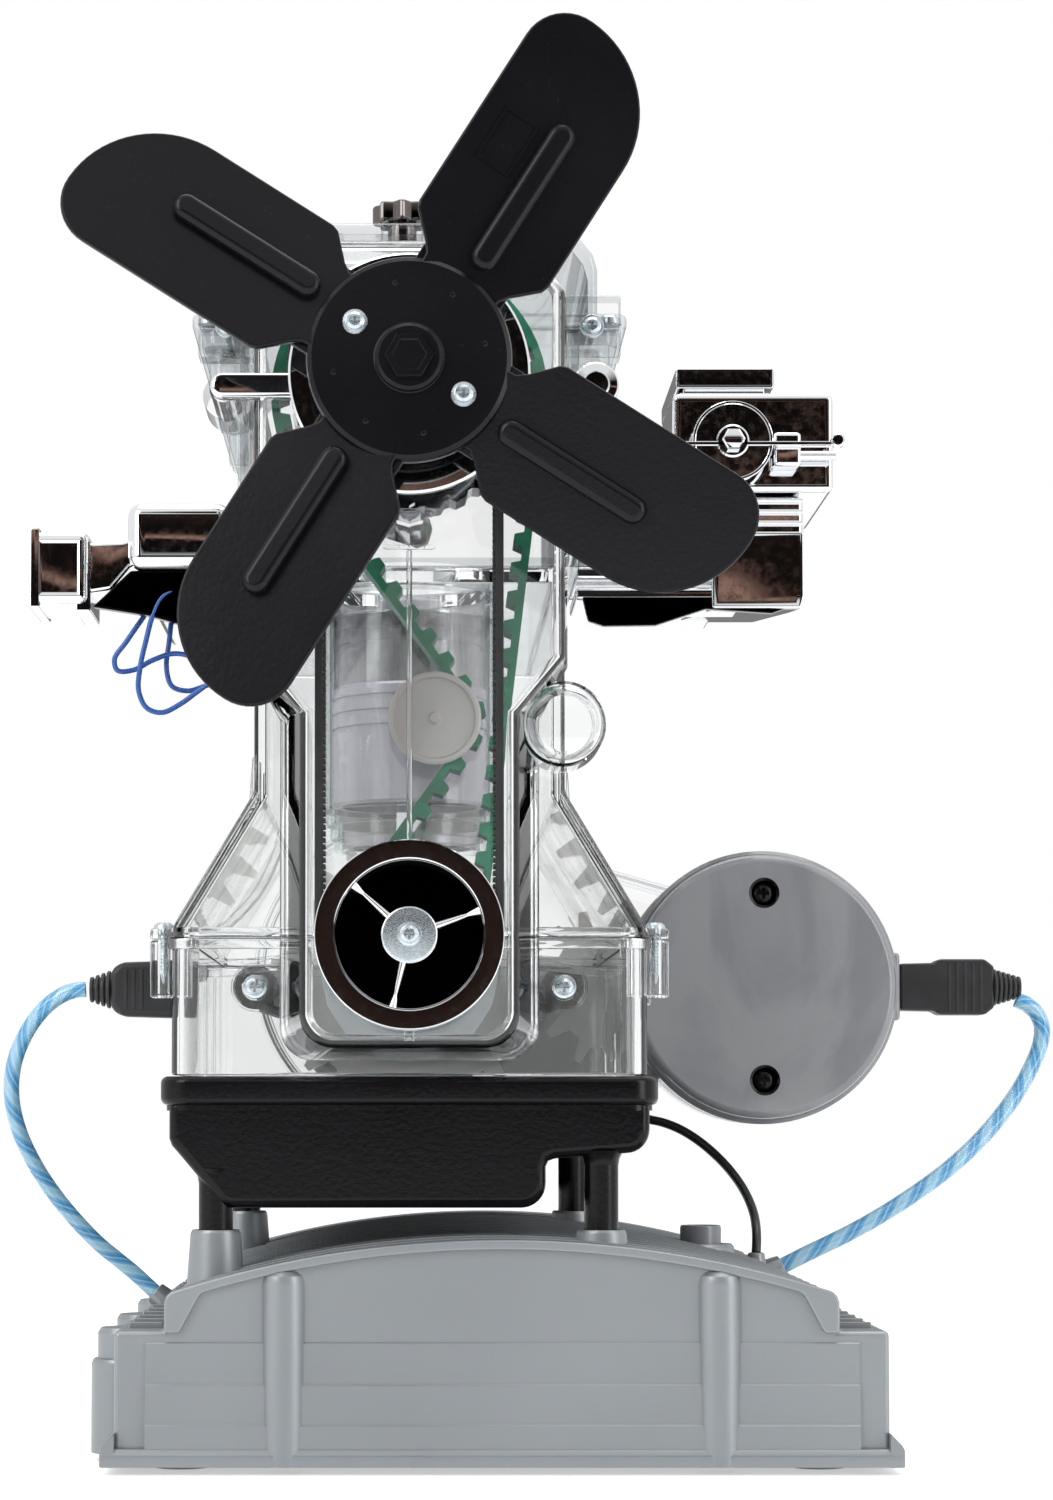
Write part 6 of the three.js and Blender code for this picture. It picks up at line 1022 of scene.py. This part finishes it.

# Crank pulley: a chrome ring on three thin spokes, with painted shade inside: a near-black disc behind the
# spokes
pulley = turned("belt_pulley", [
    (15.7, -14.5), (16.0, -14.9), (16.3, -15.0), (19.9, -15.0), (20.1, -14.8), (20.1, -13.8),
    (19.6, -13.4),
    (17.7, -13.3), (17.7, -7.3), (19.6, -7.2), (20.1, -6.8), (20.1, -6.0), (19.7, -5.6),
    (15.7, -5.6), (15.7, -14.6)], 0, CRANK, 96)
hub = turned("hub", [
    (0, -13.4), (5.4, -13.4), (6.0, -12.9), (6.0, -6.0), (4.2, -5.6), (4.2, 4.2), (0, 4.2)], 0, CRANK, 48)
spokes = []
for degrees in (19, 138, 257):
    angle = math.radians(degrees)
    across, up = math.cos(angle), math.sin(angle)
    spokes.append(rod(
        "spoke", (4.6 * across, -12.0, CRANK + 4.6 * up), (13.4 * across, -12.0, CRANK + 13.4 * up),
        0.95, 20, 0.42))
    spokes.append(rod(
        "spoke_end", (13.0 * across, -12.0, CRANK + 13.0 * up),
        (16.2 * across, -12.0, CRANK + 16.2 * up), 0.42, 20, 1.3))
together(pulley, hub, *spokes)
dressed(smooth(pulley, 30), CHROME, "crank", "crank_pulley")
# the web between hub and ring is near black: painted shade inside the pulley
shade = turned("pulley_painted_shade", [
    (5.9, -8.6), (15.8, -8.6), (15.8, -7.4), (5.9, -7.4), (5.9, -8.6)], 0, CRANK, 64)
dressed(smooth(shade, 30), PAINTED_SHADE, "crank")
washer = turned("washer", [
    (0, -14.9), (5.5, -15.0), (5.9, -14.7), (5.9, -14.1), (0, -14.1)], 0, CRANK, 48)
bolt = screw_head("pulley_screw", 0, CRANK, -15.0)
together(bolt, washer)
dressed(smooth(bolt, 30), ZINC, "crank", "crank_pulley_screw")

# Fan belt: two upright runs between equal pulleys, toothed on the inside
BELT_REACH, BELT_HALF = 18.9, 1.15
BELT_FRONT, BELT_BACK = -13.2, -7.4


def oblong(radius):
    return [
        *arc(0, CAM, radius, 0, math.pi, 48), *arc(0, CRANK, radius, math.pi, TURN, 48)]


fan_belt = slab("v_belt", oblong(BELT_REACH + BELT_HALF), BELT_FRONT, BELT_BACK)
combined(fan_belt, "DIFFERENCE", slab("loop", oblong(BELT_REACH - BELT_HALF + 0.55), -16, -5))
rounded(fan_belt, 0.3, 2, 50)
runs = []
for side in (-1, 1):
    near = side * (BELT_REACH - BELT_HALF)
    low, high = sorted((near, near + side * 0.9))
    tooth = box("tooth", low, high, BELT_FRONT + 0.1, BELT_BACK - 0.1, CRANK + 0.2, CRANK + 0.95)
    modified(
        tooth, "ARRAY", count=85, use_relative_offset=False, use_constant_offset=True,
        constant_offset_displace=(0, 0, 1.4 * MM))
    runs.append(tooth)
together(fan_belt, *runs)
dressed(smooth(fan_belt, 30), BELT, "engine", "fan_belt")

# Fan: a stepped disc over four pitched blades
BLADE_Y, BLADE_PITCH = -27.5, math.radians(10)
FIRST_BLADE = math.radians(57.5)


def blade_point(angle, along, across, out):
    """A place on a blade: along it, across it and out of its front, in millimetres"""
    rise = across * math.cos(BLADE_PITCH) - out * math.sin(BLADE_PITCH)
    depth = BLADE_Y - across * math.sin(BLADE_PITCH) - out * math.cos(BLADE_PITCH)
    return at(
        along * math.cos(angle) - rise * math.sin(angle), depth,
        CAM + along * math.sin(angle) + rise * math.cos(angle))


def on_blade(name, angle, outline, low, high):
    """An outline along and across a blade, from one height over its middle to another"""
    step = blade_point(angle, 0, 0, high) - blade_point(angle, 0, 0, low)
    return extruded(name, [blade_point(angle, u, v, low) for u, v in outline], step)


BLADE = [
    (13, -8.6), (20.6, -9.2), (22.6, -10.6), (27.4, -15.6), (29.0, -16.2),
    *arc(80.4 - 22, 22 - 16.2, 22, -RIGHT, 0, 18), *arc(80.4 - 10, 16.2 - 10, 10, 0, RIGHT, 10),
    (29.0, 16.2), (27.4, 15.6), (22.6, 10.6), (20.6, 9.2), (13, 8.6)]
RIB = [*arc(59 - 2.9, -1.5, 2.9, -RIGHT, RIGHT, 12), *arc(23.4 + 2.9, -1.5, 2.9, RIGHT, 3 * RIGHT, 12)]
COLLAR = [(15, -10.4), (24.4, -10.4), (24.4, 10.4), (15, 10.4)]
fan = turned("fan_hub", [
    (0, -31.8), (6.3, -31.8), (7.0, -31.2), (7.2, -30.2), (7.6, -30.0), (20.3, -30.0), (21.2, -29.4),
    (21.5, -28.6), (21.5, -27.0), (20.6, -26.8), (9.2, -26.8), (8.6, -26.0), (8.6, -16.7), (0, -16.7)],
    0, CAM, 96)
hexagon = turned("hexagon", [
    (0, -32.9), (3.4, -32.9), (3.8, -33.3), (4.9, -33.3), (5.2, -32.9), (5.2, -31.0), (0, -31.0)],
    0, CAM, 6)
fan_bits = [hexagon]
for turns in range(4):
    angle = FIRST_BLADE + RIGHT * turns
    fan_bits += [
        rounded(on_blade("blade", angle, BLADE, -0.9, 0.9), 0.55, 3, 40),
        rounded(on_blade("rib", angle, RIB, 0.3, 4.0), 1.7, 5, 50),
        rounded(on_blade("collar", angle, COLLAR, -2.1, -0.6), 0.4, 2, 40)]
outer = on_blade(
    "bare_frame", FIRST_BLADE, [(43.2, 3.4), (55.6, 3.4), (55.6, 11.6), (43.2, 11.6)], 0.6, 1.3)
inner = on_blade(
    "bare_room", FIRST_BLADE, [(43.8, 4.0), (55.0, 4.0), (55.0, 11.0), (43.8, 11.0)], 0.2, 2.0)
fan_bits.append(combined(outer, "DIFFERENCE", inner))
for degrees in (10.7, 55.7, 100.7, 190.7, 235.7, 280.7):
    angle = math.radians(degrees)
    fan_bits.append(turned("pip", [
        (0, -30.35), (0.35, -30.3), (0.75, -29.9), (0, -29.9)],
        16 * math.cos(angle), CAM + 16 * math.sin(angle), 12))
together(fan, *fan_bits)
dressed(smooth(fan, 30), FAN_BLACK, "fan", "fan")
for name, degrees in (("fan_screw_left", 146), ("fan_screw_right", -34)):
    angle = math.radians(degrees)
    head = screw_head("zinc_" + name, 13.6 * math.cos(angle), CAM + 13.6 * math.sin(angle), -29.8)
    dressed(head, ZINC, "fan", name)

# Fan pulley: stepped rings of chrome behind the fan
fan_pulley = turned("fan_belt_pulley", [
    (2.9, -16.4), (9.0, -16.4), (9.4, -16.0), (9.6, -14.6), (14.2, -14.6), (14.6, -15.6), (15.4, -16.0),
    (16.2, -15.6), (16.6, -14.9), (20.4, -14.9), (20.8, -16.0), (21.4, -16.4), (25.2, -16.4),
    (25.7, -15.9), (25.7, -14.2), (25.2, -13.7), (17.7, -13.4), (17.7, -7.2), (20.1, -6.9),
    (20.1, -5.9), (19.8, -5.6), (16.2, -5.6), (12.8, -9.0), (2.9, -9.0), (2.9, -16.4)], 0, CAM, 96)
dressed(smooth(fan_pulley, 30), CHROME, "fan", "fan_pulley")

# Bracket: a chrome bar across the front of the head that carries the fan's axle
BAR_END = 40.2
bar = slab("bracket_bar", rounded_outline(-43, BAR_END, CAM - 2.8, CAM + 2.8, 2.7, 6), -4.8, -0.6)
rounded(bar, 1.2, 4, 50)
eye = turned("eye", [
    (0, -5.6), (2.6, -5.6), (3.0, -5.0), (4.6, -4.8), (5.0, -4.3), (5.0, -0.6), (0, -0.6)],
    BAR_END, CAM, 40)
leg = rounded(slab("leg", [
    (37.4, CAM), (43.0, CAM), (45.6, 229.4), (47.0, 222.0), (44.2, 222.0), (41.4, 229.0)],
    -4.6, -0.8), 0.8, 3, 40)
bracket_bits = [eye, leg]
for side in (-1, 1):
    bracket_bits.append(rod("post", (side * BAR_END, -1.0, CAM), (side * BAR_END, 19.8, CAM), 3.0, 32))
bracket_bits.append(turned("carrier", [
    (0, -6.4), (7.4, -6.4), (8.0, -5.8), (8.0, -0.6), (0, -0.6)], 0, CAM, 48))
bracket_bits.append(turned("axle", [
    (0, -26.4), (2.2, -26.4), (2.5, -26.1), (2.5, -4), (0, -4)], 0, CAM, 32))
together(bar, *bracket_bits)
dressed(smooth(bar, 30), CHROME, "engine", "fan_bracket")

# Crankshaft: a chrome nose, four pins between webs with counterweights
crank = turned("crank_main", [
    (0, -13.9), (3.7, -13.9), (4.0, -13.6), (4.0, 26), (5.0, 26.4), (5.0, 32.4), (0, 32.4)], 0, CRANK, 40)
crank_bits = []
for depth, sign in zip(CYLINDERS, SIGNS):
    pin = CRANK + sign * THROW
    for side in (-1, 1):
        near = depth + side * 4.9
        low, high = sorted((near, near + side * 3.3))
        swing = [
            *arc(0, CRANK, 21, -RIGHT - 1.0, -RIGHT + 1.0, 24),
            *arc(0, CRANK + THROW, 7.5, -0.3, math.pi + 0.3, 20)]
        if sign < 0:
            swing = [(x, 2 * CRANK - z) for x, z in swing]
        crank_bits.append(rounded(slab("web", swing, low, high), 0.6, 3, 50))
    crank_bits.append(turned("pin", [
        (0, depth - 5.2), (5.0, depth - 5.2), (5.0, depth + 5.2), (0, depth + 5.2)], 0, pin, 40))
for near, far in ((53.2, 76.5), (92.6, 115.8), (132.2, 155.4), (171.4, 195)):
    crank_bits.append(turned("journal", [
        (0, near), (4.7, near), (5.0, near + 0.4), (5.0, far - 0.4), (4.7, far), (0, far)], 0, CRANK, 40))
together(crank, *crank_bits)
dressed(smooth(crank, 30), CHROME, "crank", "crankshaft")

# Pistons: three ring grooves each, open below
ROD_LENGTH = 59.3
for number, (depth, sign) in enumerate(zip(CYLINDERS, SIGNS), 1):
    top = CRANK + sign * THROW + ROD_LENGTH + 12.1
    wall = [(0, top), (17.2, top), (17.85, top - 0.6)]
    for groove in (2.6, 6.0, 9.4):
        wall += [
            (17.85, top - groove), (17.05, top - groove - 0.1), (17.05, top - groove - 1.3),
            (17.85, top - groove - 1.4)]
    piston = upright(f"grey_piston_{number}", [
        *wall, (17.85, top - 26.5), (17.4, top - 27.0), (15.6, top - 27.0), (15.6, top - 4),
        (0, top - 3)], 0, depth, 72)
    dressed(smooth(piston, 35), PISTON, f"piston_{number}", f"piston_{number}")

# Tensioner roller: a grey disc with a raised rim and a small pip
roller = turned("belt_roller", [
    (0, 3.9), (1.0, 4.0), (1.4, 4.5), (2.2, 4.8), (8.6, 4.8), (9.0, 4.1), (9.6, 4.0), (10.1, 4.3),
    (10.1, 5.2), (9.8, 5.5), (7.0, 5.5), (7.0, 14.4), (2.1, 14.4), (2.1, 6.4), (0, 6.4)], 5.5, 163, 64)
dressed(smooth(roller, 30), ROLLER, "tensioner", "tensioner_roller")

# Drum: a marbled grey cap with two sunk screws, and a grooved housing behind it
DRUM_X, DRUM_Z, WELL_REACH = 92.6, 110.0, 24.5
drum_cap = turned("drum_cap", [
    (0, 150.0), (32.4, 150.0), (33.4, 150.3), (34.2, 151.0), (34.6, 151.9), (34.6, 155.4), (34.1, 156.0),
    (30.5, 156.0), (30.5, 154.6), (0, 154.6)], DRUM_X, DRUM_Z, 96)
for side in (-1, 1):
    middle = DRUM_Z + side * WELL_REACH
    combined(drum_cap, "DIFFERENCE", rod("well", (DRUM_X, 149, middle), (DRUM_X, 153.6, middle), 4.0, 48))
dressed(smooth(drum_cap, 30), DRUM, "engine", "motor_cover")
wells = []
for side in (-1, 1):
    middle = DRUM_Z + side * WELL_REACH
    sleeve = turned("well_sleeve", [
        (3.3, 150.6), (3.95, 150.3), (3.95, 153.5), (3.3, 153.5), (3.3, 150.6)], DRUM_X, middle, 40)
    head = turned("well_screw", [
        (0, 151.4), (1.6, 151.5), (2.7, 152.0), (3.1, 152.8), (3.35, 153.5), (0, 153.5)], DRUM_X, middle, 32)
    wells += [crossed(head, DRUM_X, middle, 1.5, 0.35, 150, 152.3), sleeve]
together(*wells)
dressed(smooth(wells[0], 30), PAN_BLACK, "engine")
housing_profile = [(33.0, 156.2), (35.1, 156.2), (36.0, 157.0)]
for groove in (161.4, 166.2, 171.0):
    housing_profile += [
        (36.0, groove - 0.4), (35.1, groove), (35.1, groove + 0.9), (36.0, groove + 1.3)]
housing_profile += [
    (36.0, 185.0), (35.4, 186.4), (34.0, 187.0), (5.0, 187.0), (5.0, 184.8), (33.0, 184.8), (33.0, 156.2)]
housing = turned("drum_housing", housing_profile, DRUM_X, DRUM_Z, 96)
socket = rounded(box("socket", 123.5, 129.8, 162, 174, 101.4, 119.4), 1.0, 3)
lead_gland = rod("lead_gland", (64.6, 172, 88.0), (61.8, 172, 84.3), 3.0, 32, 2.0)
together(housing, socket, rounded(lead_gland, 0.3, 2, 50))
dressed(smooth(housing, 30), DRUM, "engine", "motor_housing")

# Gear case: a clear cover over the gear train at the back, with bearing bosses, ribs and screws on lugs
CASE_ROUND, CASE_NOSE = 42.0, 21.0
CASE_LEAN = math.atan2(DRUM_Z - CRANK, DRUM_X)
CASE_SPREAD = math.acos((CASE_ROUND - CASE_NOSE) / math.hypot(DRUM_X, DRUM_Z - CRANK))


def gear_outline(inset):
    """Two circles and the lines that touch them"""
    return [
        *arc(0, CRANK, CASE_ROUND - inset, CASE_LEAN + CASE_SPREAD, CASE_LEAN + TURN - CASE_SPREAD, 56),
        *arc(DRUM_X, DRUM_Z, CASE_NOSE - inset, CASE_LEAN - CASE_SPREAD, CASE_LEAN + CASE_SPREAD, 32)]


def case_part(name, inset, front, back, room=None):
    """One layer of the case, hollow where a room's inset and back are given"""
    layer = slab(name, gear_outline(inset), front, back)
    if room:
        combined(layer, "DIFFERENCE", slab("room", gear_outline(room[0]), 187, room[1]))
    return layer


gear_case = rounded(case_part("gear_case", 0, 189.4, 199.4, (2.0, 197.6)), 0.8, 3, 40)
case_bits = [
    rounded(case_part("case_flange", -0.6, 189.4, 191.4, (1.6, 195)), 0.3, 2, 40),
    rounded(case_part("case_panel", 5.0, 199.0, 200.0), 0.4, 3, 40)]
for across, height, wide in ((0, CRANK, 8.4), (56.8, 112.0, 5.6), (DRUM_X, DRUM_Z, 4.6)):
    case_bits.append(turned("bearing_boss", [
        (0, 199.2), (wide, 199.2), (wide, 200.6), (wide - 0.5, 201.1), (wide - 1.8, 201.1),
        (wide - 2.2, 200.6), (0, 200.6)], across, height, 48))
for number in range(8):
    angle = TURN * (number + 0.5) / 8
    along, beside = (math.cos(angle), math.sin(angle)), (-0.7 * math.sin(angle), 0.7 * math.cos(angle))
    case_bits.append(rounded(slab("case_rib", [
        (along[0] * reach + beside[0] * side, CRANK + along[1] * reach + beside[1] * side)
        for reach, side in ((8, -1), (35, -1), (35, 1), (8, 1))], 199.6, 200.8), 0.25, 2))
case_screws = []
for across, height, turn in (
        (0, CRANK, 1.75), (0, CRANK, 3.14), (0, CRANK, 4.45), (DRUM_X, DRUM_Z, 5.3),
        (DRUM_X, DRUM_Z, 0.95)):
    radius = (CASE_NOSE if across else CASE_ROUND) + 1.6
    lug_x, lug_z = across + radius * math.cos(turn), height + radius * math.sin(turn)
    case_bits.append(turned("case_lug", [
        (0, 189.4), (3.6, 189.4), (3.6, 193.0), (3.2, 193.4), (0, 193.4)], lug_x, lug_z, 32))
    case_screws.append(turned("case_screw", [
        (0, 193.2), (2.6, 193.2), (2.6, 193.9), (2.1, 194.7), (1.2, 195.1), (0, 194.4)],
        lug_x, lug_z, 24))
together(gear_case, *case_bits)
dressed(smooth(gear_case, 30), INNER_CLEAR, "engine", "gear_housing")
together(*case_screws)
dressed(smooth(case_screws[0], 30), ZINC, "engine")

# Exhaust: a chrome log on four runners, with an outlet box at its front end
log = rounded(box("exhaust_log", -64.6, -41, 40, 168, 201.5, 217), 3.2, 6)
panelled(log, FORWARD, 0.9, 0.35)
outlet = rounded(box("outlet", -87, -73.3, 40, 64, 193.3, 210.3), 2.2, 6)
panelled(outlet, FORWARD, 0.8, 0.35)
outlet_rim = rounded(box("outlet_rim", -87, -84.6, 39.9, 64.1, 192.6, 211.0), 0.5, 2)
outlet_neck = rounded(box("outlet_neck", -76.6, -73.0, 41, 63, 191.8, 208.4), 0.6, 2)
link = rounded(slab("link", [
    (-75, 196.2), (-68.6, 197.2), (-64.2, 202.4), (-62, 203.0), (-62, 209.6), (-66.0, 208.4),
    (-75, 208)], 43, 61), 0.9, 3)
# a near-black web under the log and outlet: painted shade beneath the exhaust
web = rounded(slab("web", [
    (-72.8, 193.2), (-64.0, 201.6), (-42.0, 201.6), (-42.0, 188.6), (-50.0, 188.4), (-60.0, 191.2)],
    42.5, 46), 0.6, 3, 25)
dressed(smooth(web, 30), PAINTED_SHADE, "engine")
exhaust_bits = [outlet, outlet_rim, outlet_neck, link]
for depth in CYLINDERS:
    exhaust_bits.append(rounded(box(
        "runner", -43, -38.3, max(depth - 7, 40.6), min(depth + 7, 167.4), 204, 215), 1.2, 3))
for depth in (98, 162):
    exhaust_bits.append(turned("log_bolt", [
        (0, depth - 3), (2.0, depth - 3), (2.0, depth + 3), (0, depth + 3)], -52.8, 215.8, 6))
together(log, *exhaust_bits)
dressed(smooth(log, 30), CHROME, "engine", "exhaust_manifold")

# Intake: a box along the head with flat prongs, and the carburettor on its neck
intake = panelled(slab("intake_box", [
    (70, 194), (90.6, 194), (91.4, 197), (91.4, 212), (75.6, 212), (75.6, 208.6), (70, 208.6)],
    50, 160), FORWARD, 1.6, 0.5)
combined(intake, "DIFFERENCE", beam(
    "rise", [(51.5, 193.9), (161, 207.2), (161, 190), (51.5, 190)], 60, 100))
rounded(intake, 1.2, 4, 30)
intake_bits = []
for depth, heights in (
        (64.75, (197.6, 202.5, 207.4)), (104.25, (203.8, 208.0)), (143.75, (206.4, 210.0))):
    for height in heights:
        intake_bits.append(rounded(box(
            "prong", 38.4, 78, depth - 13.6, depth + 13.6, height - 1.5, height + 1.5), 0.8, 3))
intake_bits.append(rounded(box("stay", 56, 60.6, 52, 76, 195.6, 209.4), 0.9, 3))
intake_bits.append(rounded(box("neck", 79, 91.6, 52, 76, 210, 220.7), 1.4, 4))
for height in (213.6, 216.2, 218.8):
    intake_bits.append(rounded(box("collar", 77.4, 91.5, 50.4, 77.6, height, height + 1.0), 0.4, 2))
# a near-black strip under the box: painted shade where its underside would show the white floor
shade = rounded(slab("intake_painted_shade", [
    (40, 196.8), (41.4, 191.2), (45, 190.0), (57, 190.2), (68.6, 194.0), (84, 193.0), (88.4, 194.6),
    (70, 196.8)], 50.8, 53.4), 0.4, 2, 30)
dressed(smooth(shade, 30), PAINTED_SHADE, "engine")
together(intake, *intake_bits)
dressed(smooth(intake, 30), CHROME, "engine", "intake_manifold")

carb = panelled(box("carburettor_body", 61, 98.4, 50, 102, 221.2, 244.4), FORWARD, 2.0, 0.6)
rounded(carb, 1.8, 5)
carb_bits = [
    rounded(panelled(box("top_slab", 62, 85, 53, 97, 246.0, 251.0), FORWARD, 0.9, 0.4), 0.9, 3),
    rounded(box("slab_neck", 64, 83, 55, 95, 243.6, 247.0), 0.6, 2),
    rounded(box("slab_step", 63, 84, 54, 96, 244.3, 245.2), 0.3, 2),
    rounded(box("lower_step", 64, 96, 51, 101, 221.1, 223.4), 0.6, 2),
    rounded(box("throttle_boss", 83.8, 90.2, 44.1, 51, 226, 234), 1.0, 3),
    rounded(rod("link_rod", (89, 47.2, 229), (98.6, 47.2, 229), 1.1, 24), 0.3, 2, 50)]
together(carb, *carb_bits)
dressed(smooth(carb, 30), CHROME, "engine", "carburettor")

DISC_X, DISC_Z = 74.2, 231.4
throttle = turned("throttle_ring", [
    (0, 42.0), (8.5, 42.0), (8.7, 41.7), (9.1, 41.7), (9.3, 42.0), (9.3, 43.3), (8.8, 44.0),
    (4.6, 44.0), (4.6, 49.7), (0, 49.7)], DISC_X, DISC_Z, 64)
throttle_nut = turned("throttle_nut", [
    (0, 39.0), (1.4, 38.9), (2.3, 39.2), (2.7, 39.7), (2.7, 42.6), (0, 42.6)], DISC_X, DISC_Z, 6)
collar = turned("nut_collar", [
    (0, 41.6), (3.4, 41.6), (3.8, 41.9), (3.8, 42.6), (0, 42.6)], DISC_X, DISC_Z, 40)
arm = slab("throttle_arm", [
    *arc(99.2, 230.8, 0.5, -RIGHT, RIGHT, 8), *arc(63.6, 230.8, 0.5, RIGHT, 3 * RIGHT, 8)], 41.6, 43.9)
rounded(arm, 0.2, 2, 50)
arm_knob = turned("arm_knob", [
    (0, 40.6), (1.2, 40.6), (1.7, 41.0), (1.7, 42.6), (0, 42.6)], 98.2, DISC_Z, 24)
together(throttle, throttle_nut, collar, arm, arm_knob)
dressed(smooth(throttle, 30), CHROME, "engine", "throttle_disc")

# Plugs: moulded grips with finger ridges and a ribbed sleeve for the cable

def ribbed_sleeve(x, direction, y, z, count, radius, end_radius):
    """Rings on a taper, along x from the plug's end"""
    rings = [rod(
        "core", (x, y, z), (x + direction * (count * 1.3 - 0.5), y, z), radius * 0.78, 24, end_radius * 0.8)]
    for step in range(count):
        start = x + direction * (0.3 + 1.3 * step)
        share = step / (count - 1)
        size = radius + (end_radius - radius) * share
        ring = rod("ring", (start, y, z), (start + direction * 0.8, y, z), size, 24, size * 0.96)
        rings.append(rounded(ring, 0.2, 2, 50))
    return rings


left_plug = rounded(slab("left_grip", [
    (-66.6, 99.4), (-53.4, 99.0), (-53.4, 112.2), (-66.6, 111.8), (-68.9, 109.4), (-68.9, 101.8)],
    45.7, 54.3), 1.6, 4, 30)
grips = []
for across in (-65.0, -63.2, -61.4):
    grips.append(rounded(box("ridge", across - 0.45, across + 0.45, 45.55, 54.45, 101, 110.2), 0.25, 2))
together(left_plug, *grips, *ribbed_sleeve(-68.6, -1, 50, 105.6, 4, 4.4, 3.0))
dressed(smooth(left_plug, 30), GRIP, "engine", "left_plug")
right_plug = rounded(slab("right_grip", [
    (130.0, 104.2), (139.2, 104.0), (140.4, 103.0), (152.6, 103.0), (155.1, 105.0), (155.1, 115.8),
    (152.6, 117.8), (140.4, 117.8), (139.2, 116.8), (130.0, 116.6)], 163.7, 172.3), 1.3, 4, 30)
grips = []
for number in range(5):
    across = 143.0 + 2.1 * number
    grips.append(rounded(box("ridge", across - 0.55, across + 0.55, 163.6, 172.4, 103.6, 117.2), 0.3, 2))
together(right_plug, *grips, *ribbed_sleeve(155.0, 1, 168, 110.4, 6, 5.0, 3.0))
dressed(smooth(right_plug, 30), GRIP, "engine", "right_plug")

# The plain solids that are shown as they are get their finishes; chrome where none is named
STAY = {
    "circuit_board": LAMINATE, "speaker": PAN_BLACK, "motor": STEEL, "crank_gear": GEAR,
    "idler_gear": GEAR, "motor_pinion": GEAR, "tensioner_pin": STEEL, "timing_belt": GREEN,
    "guide_ring_outer": STEEL, "guide_ring_inner": STEEL}
for name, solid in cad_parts.items():
    solid.data.materials.clear()
    solid.data.materials.append(STAY.get(name, CHROME))

# Floor: white paper that shows the object's shadow on pure white
only()
bpy.ops.mesh.primitive_plane_add(size=8, location=(0, 0, 0))
floor = bpy.context.object
floor.name = "floor"
made, tree, place = material("white_paper_sweep")
fibres = noise(tree, place, 400, 4)
tone = tinted(tree, fibres, hue("#EFEFEF"), hue("#F5F5F5"))
paper = add(tree, "ShaderNodeBsdfDiffuse", {"Color": tone})
ray = add(tree, "ShaderNodeLightPath", {})
lift = add(tree, "ShaderNodeEmission", {"Color": (1, 1, 1, 1), "Strength": 0.46})
none = add(tree, "ShaderNodeEmission", {"Color": (0, 0, 0, 1), "Strength": 0.0})
direct = reckoned(tree, "MAXIMUM", ray.outputs["Is Camera Ray"], ray.outputs["Is Transmission Ray"])
any_view = reckoned(tree, "MAXIMUM", direct, ray.outputs["Is Glossy Ray"])
seen_lift = add(tree, "ShaderNodeMixShader", {0: any_view, 1: none, 2: lift})
floor.data.materials.append(finished(made, tree, add(tree, "ShaderNodeAddShader", {0: paper, 1: seen_lift})))

# Room: white to look at, with a soft grey light on everything. Shiny parts see bright sides, a dark
# front and a smaller back that is nearly as dark, both bright above
world = bpy.data.worlds.new("studio")
bpy.context.scene.world = world
world.use_nodes = True
tree = world.node_tree
tree.nodes.clear()
way = add(tree, "ShaderNodeTexCoord", {})
parts = add(tree, "ShaderNodeSeparateXYZ", {0: way.outputs["Generated"]})
front = spread(tree, parts.outputs["Y"], -0.66, -0.86, 0.0, 1.0)
ceiling = spread(tree, parts.outputs["Z"], 0.26, 0.4, 0.0, 1.0)
things = noise(tree, way.outputs["Generated"], 3.5, 2)
lean = spread(tree, things, 0.3, 0.7, -0.012, 0.012)
level = reckoned(tree, "ADD", parts.outputs["Z"], lean)
gloom = add(tree, "ShaderNodeValToRGB", {"Fac": level})
bands = gloom.color_ramp.elements
bands[0].position, bands[0].color = 0.0, hue("#19110E")
bands[1].position, bands[1].color = 0.3, hue("#0C0908")
for place, tone in (
        (0.04, "#2A1E19"), (0.09, "#1E1512"), (0.13, "#120D0B"), (0.176, "#110D0B"), (0.182, "#7C5E52"),
        (0.194, "#A38274"), (0.199, "#0D0A09")):
    bands.new(place).color = hue(tone)
room_tone = tinted(tree, ceiling, gloom, hue("#F4F4F4"))
mirror = tinted(tree, front, hue("#FFFFFF"), room_tone)
behind = spread(tree, parts.outputs["Y"], 0.84, 0.93, 0.0, 0.8)
mirror_room = tinted(tree, behind, mirror, room_tone)
ray = add(tree, "ShaderNodeLightPath", {})
ambient = add(tree, "ShaderNodeBackground", {"Color": hue("#D2D4D6"), "Strength": 1.0})
shine = add(tree, "ShaderNodeBackground", {"Color": mirror_room, "Strength": 1.0})
white = add(tree, "ShaderNodeBackground", {"Color": (1, 1, 1, 1), "Strength": 1.0})
lit = add(tree, "ShaderNodeMixShader", {0: ray.outputs["Is Glossy Ray"], 1: ambient, 2: shine})
seen = reckoned(tree, "MAXIMUM", ray.outputs["Is Camera Ray"], ray.outputs["Is Transmission Ray"])
shown = add(tree, "ShaderNodeMixShader", {0: seen, 1: lit, 2: white})
add(tree, "ShaderNodeOutputWorld", {"Surface": shown})


def lamp(name, place, aim, width, height, power):
    data = bpy.data.lights.new(name, "AREA")
    data.shape = "RECTANGLE"
    data.size, data.size_y, data.energy = width, height, power
    light = bpy.data.objects.new(name, data)
    light.location = place
    light.rotation_euler = (Vector(aim) - Vector(place)).to_track_quat("-Z", "Y").to_euler()
    bpy.context.scene.collection.objects.link(light)


MIDDLE = (0, 0, 0.14)
lamp("key_softbox", (-0.75, -0.8, 0.75), MIDDLE, 0.6, 0.9, 7.0)
lamp("fill_softbox", (0.85, -0.6, 0.35), MIDDLE, 0.35, 0.9, 3.2)
lamp("top_softbox", (0.05, 0.1, 1.1), MIDDLE, 0.9, 0.7, 5.0)
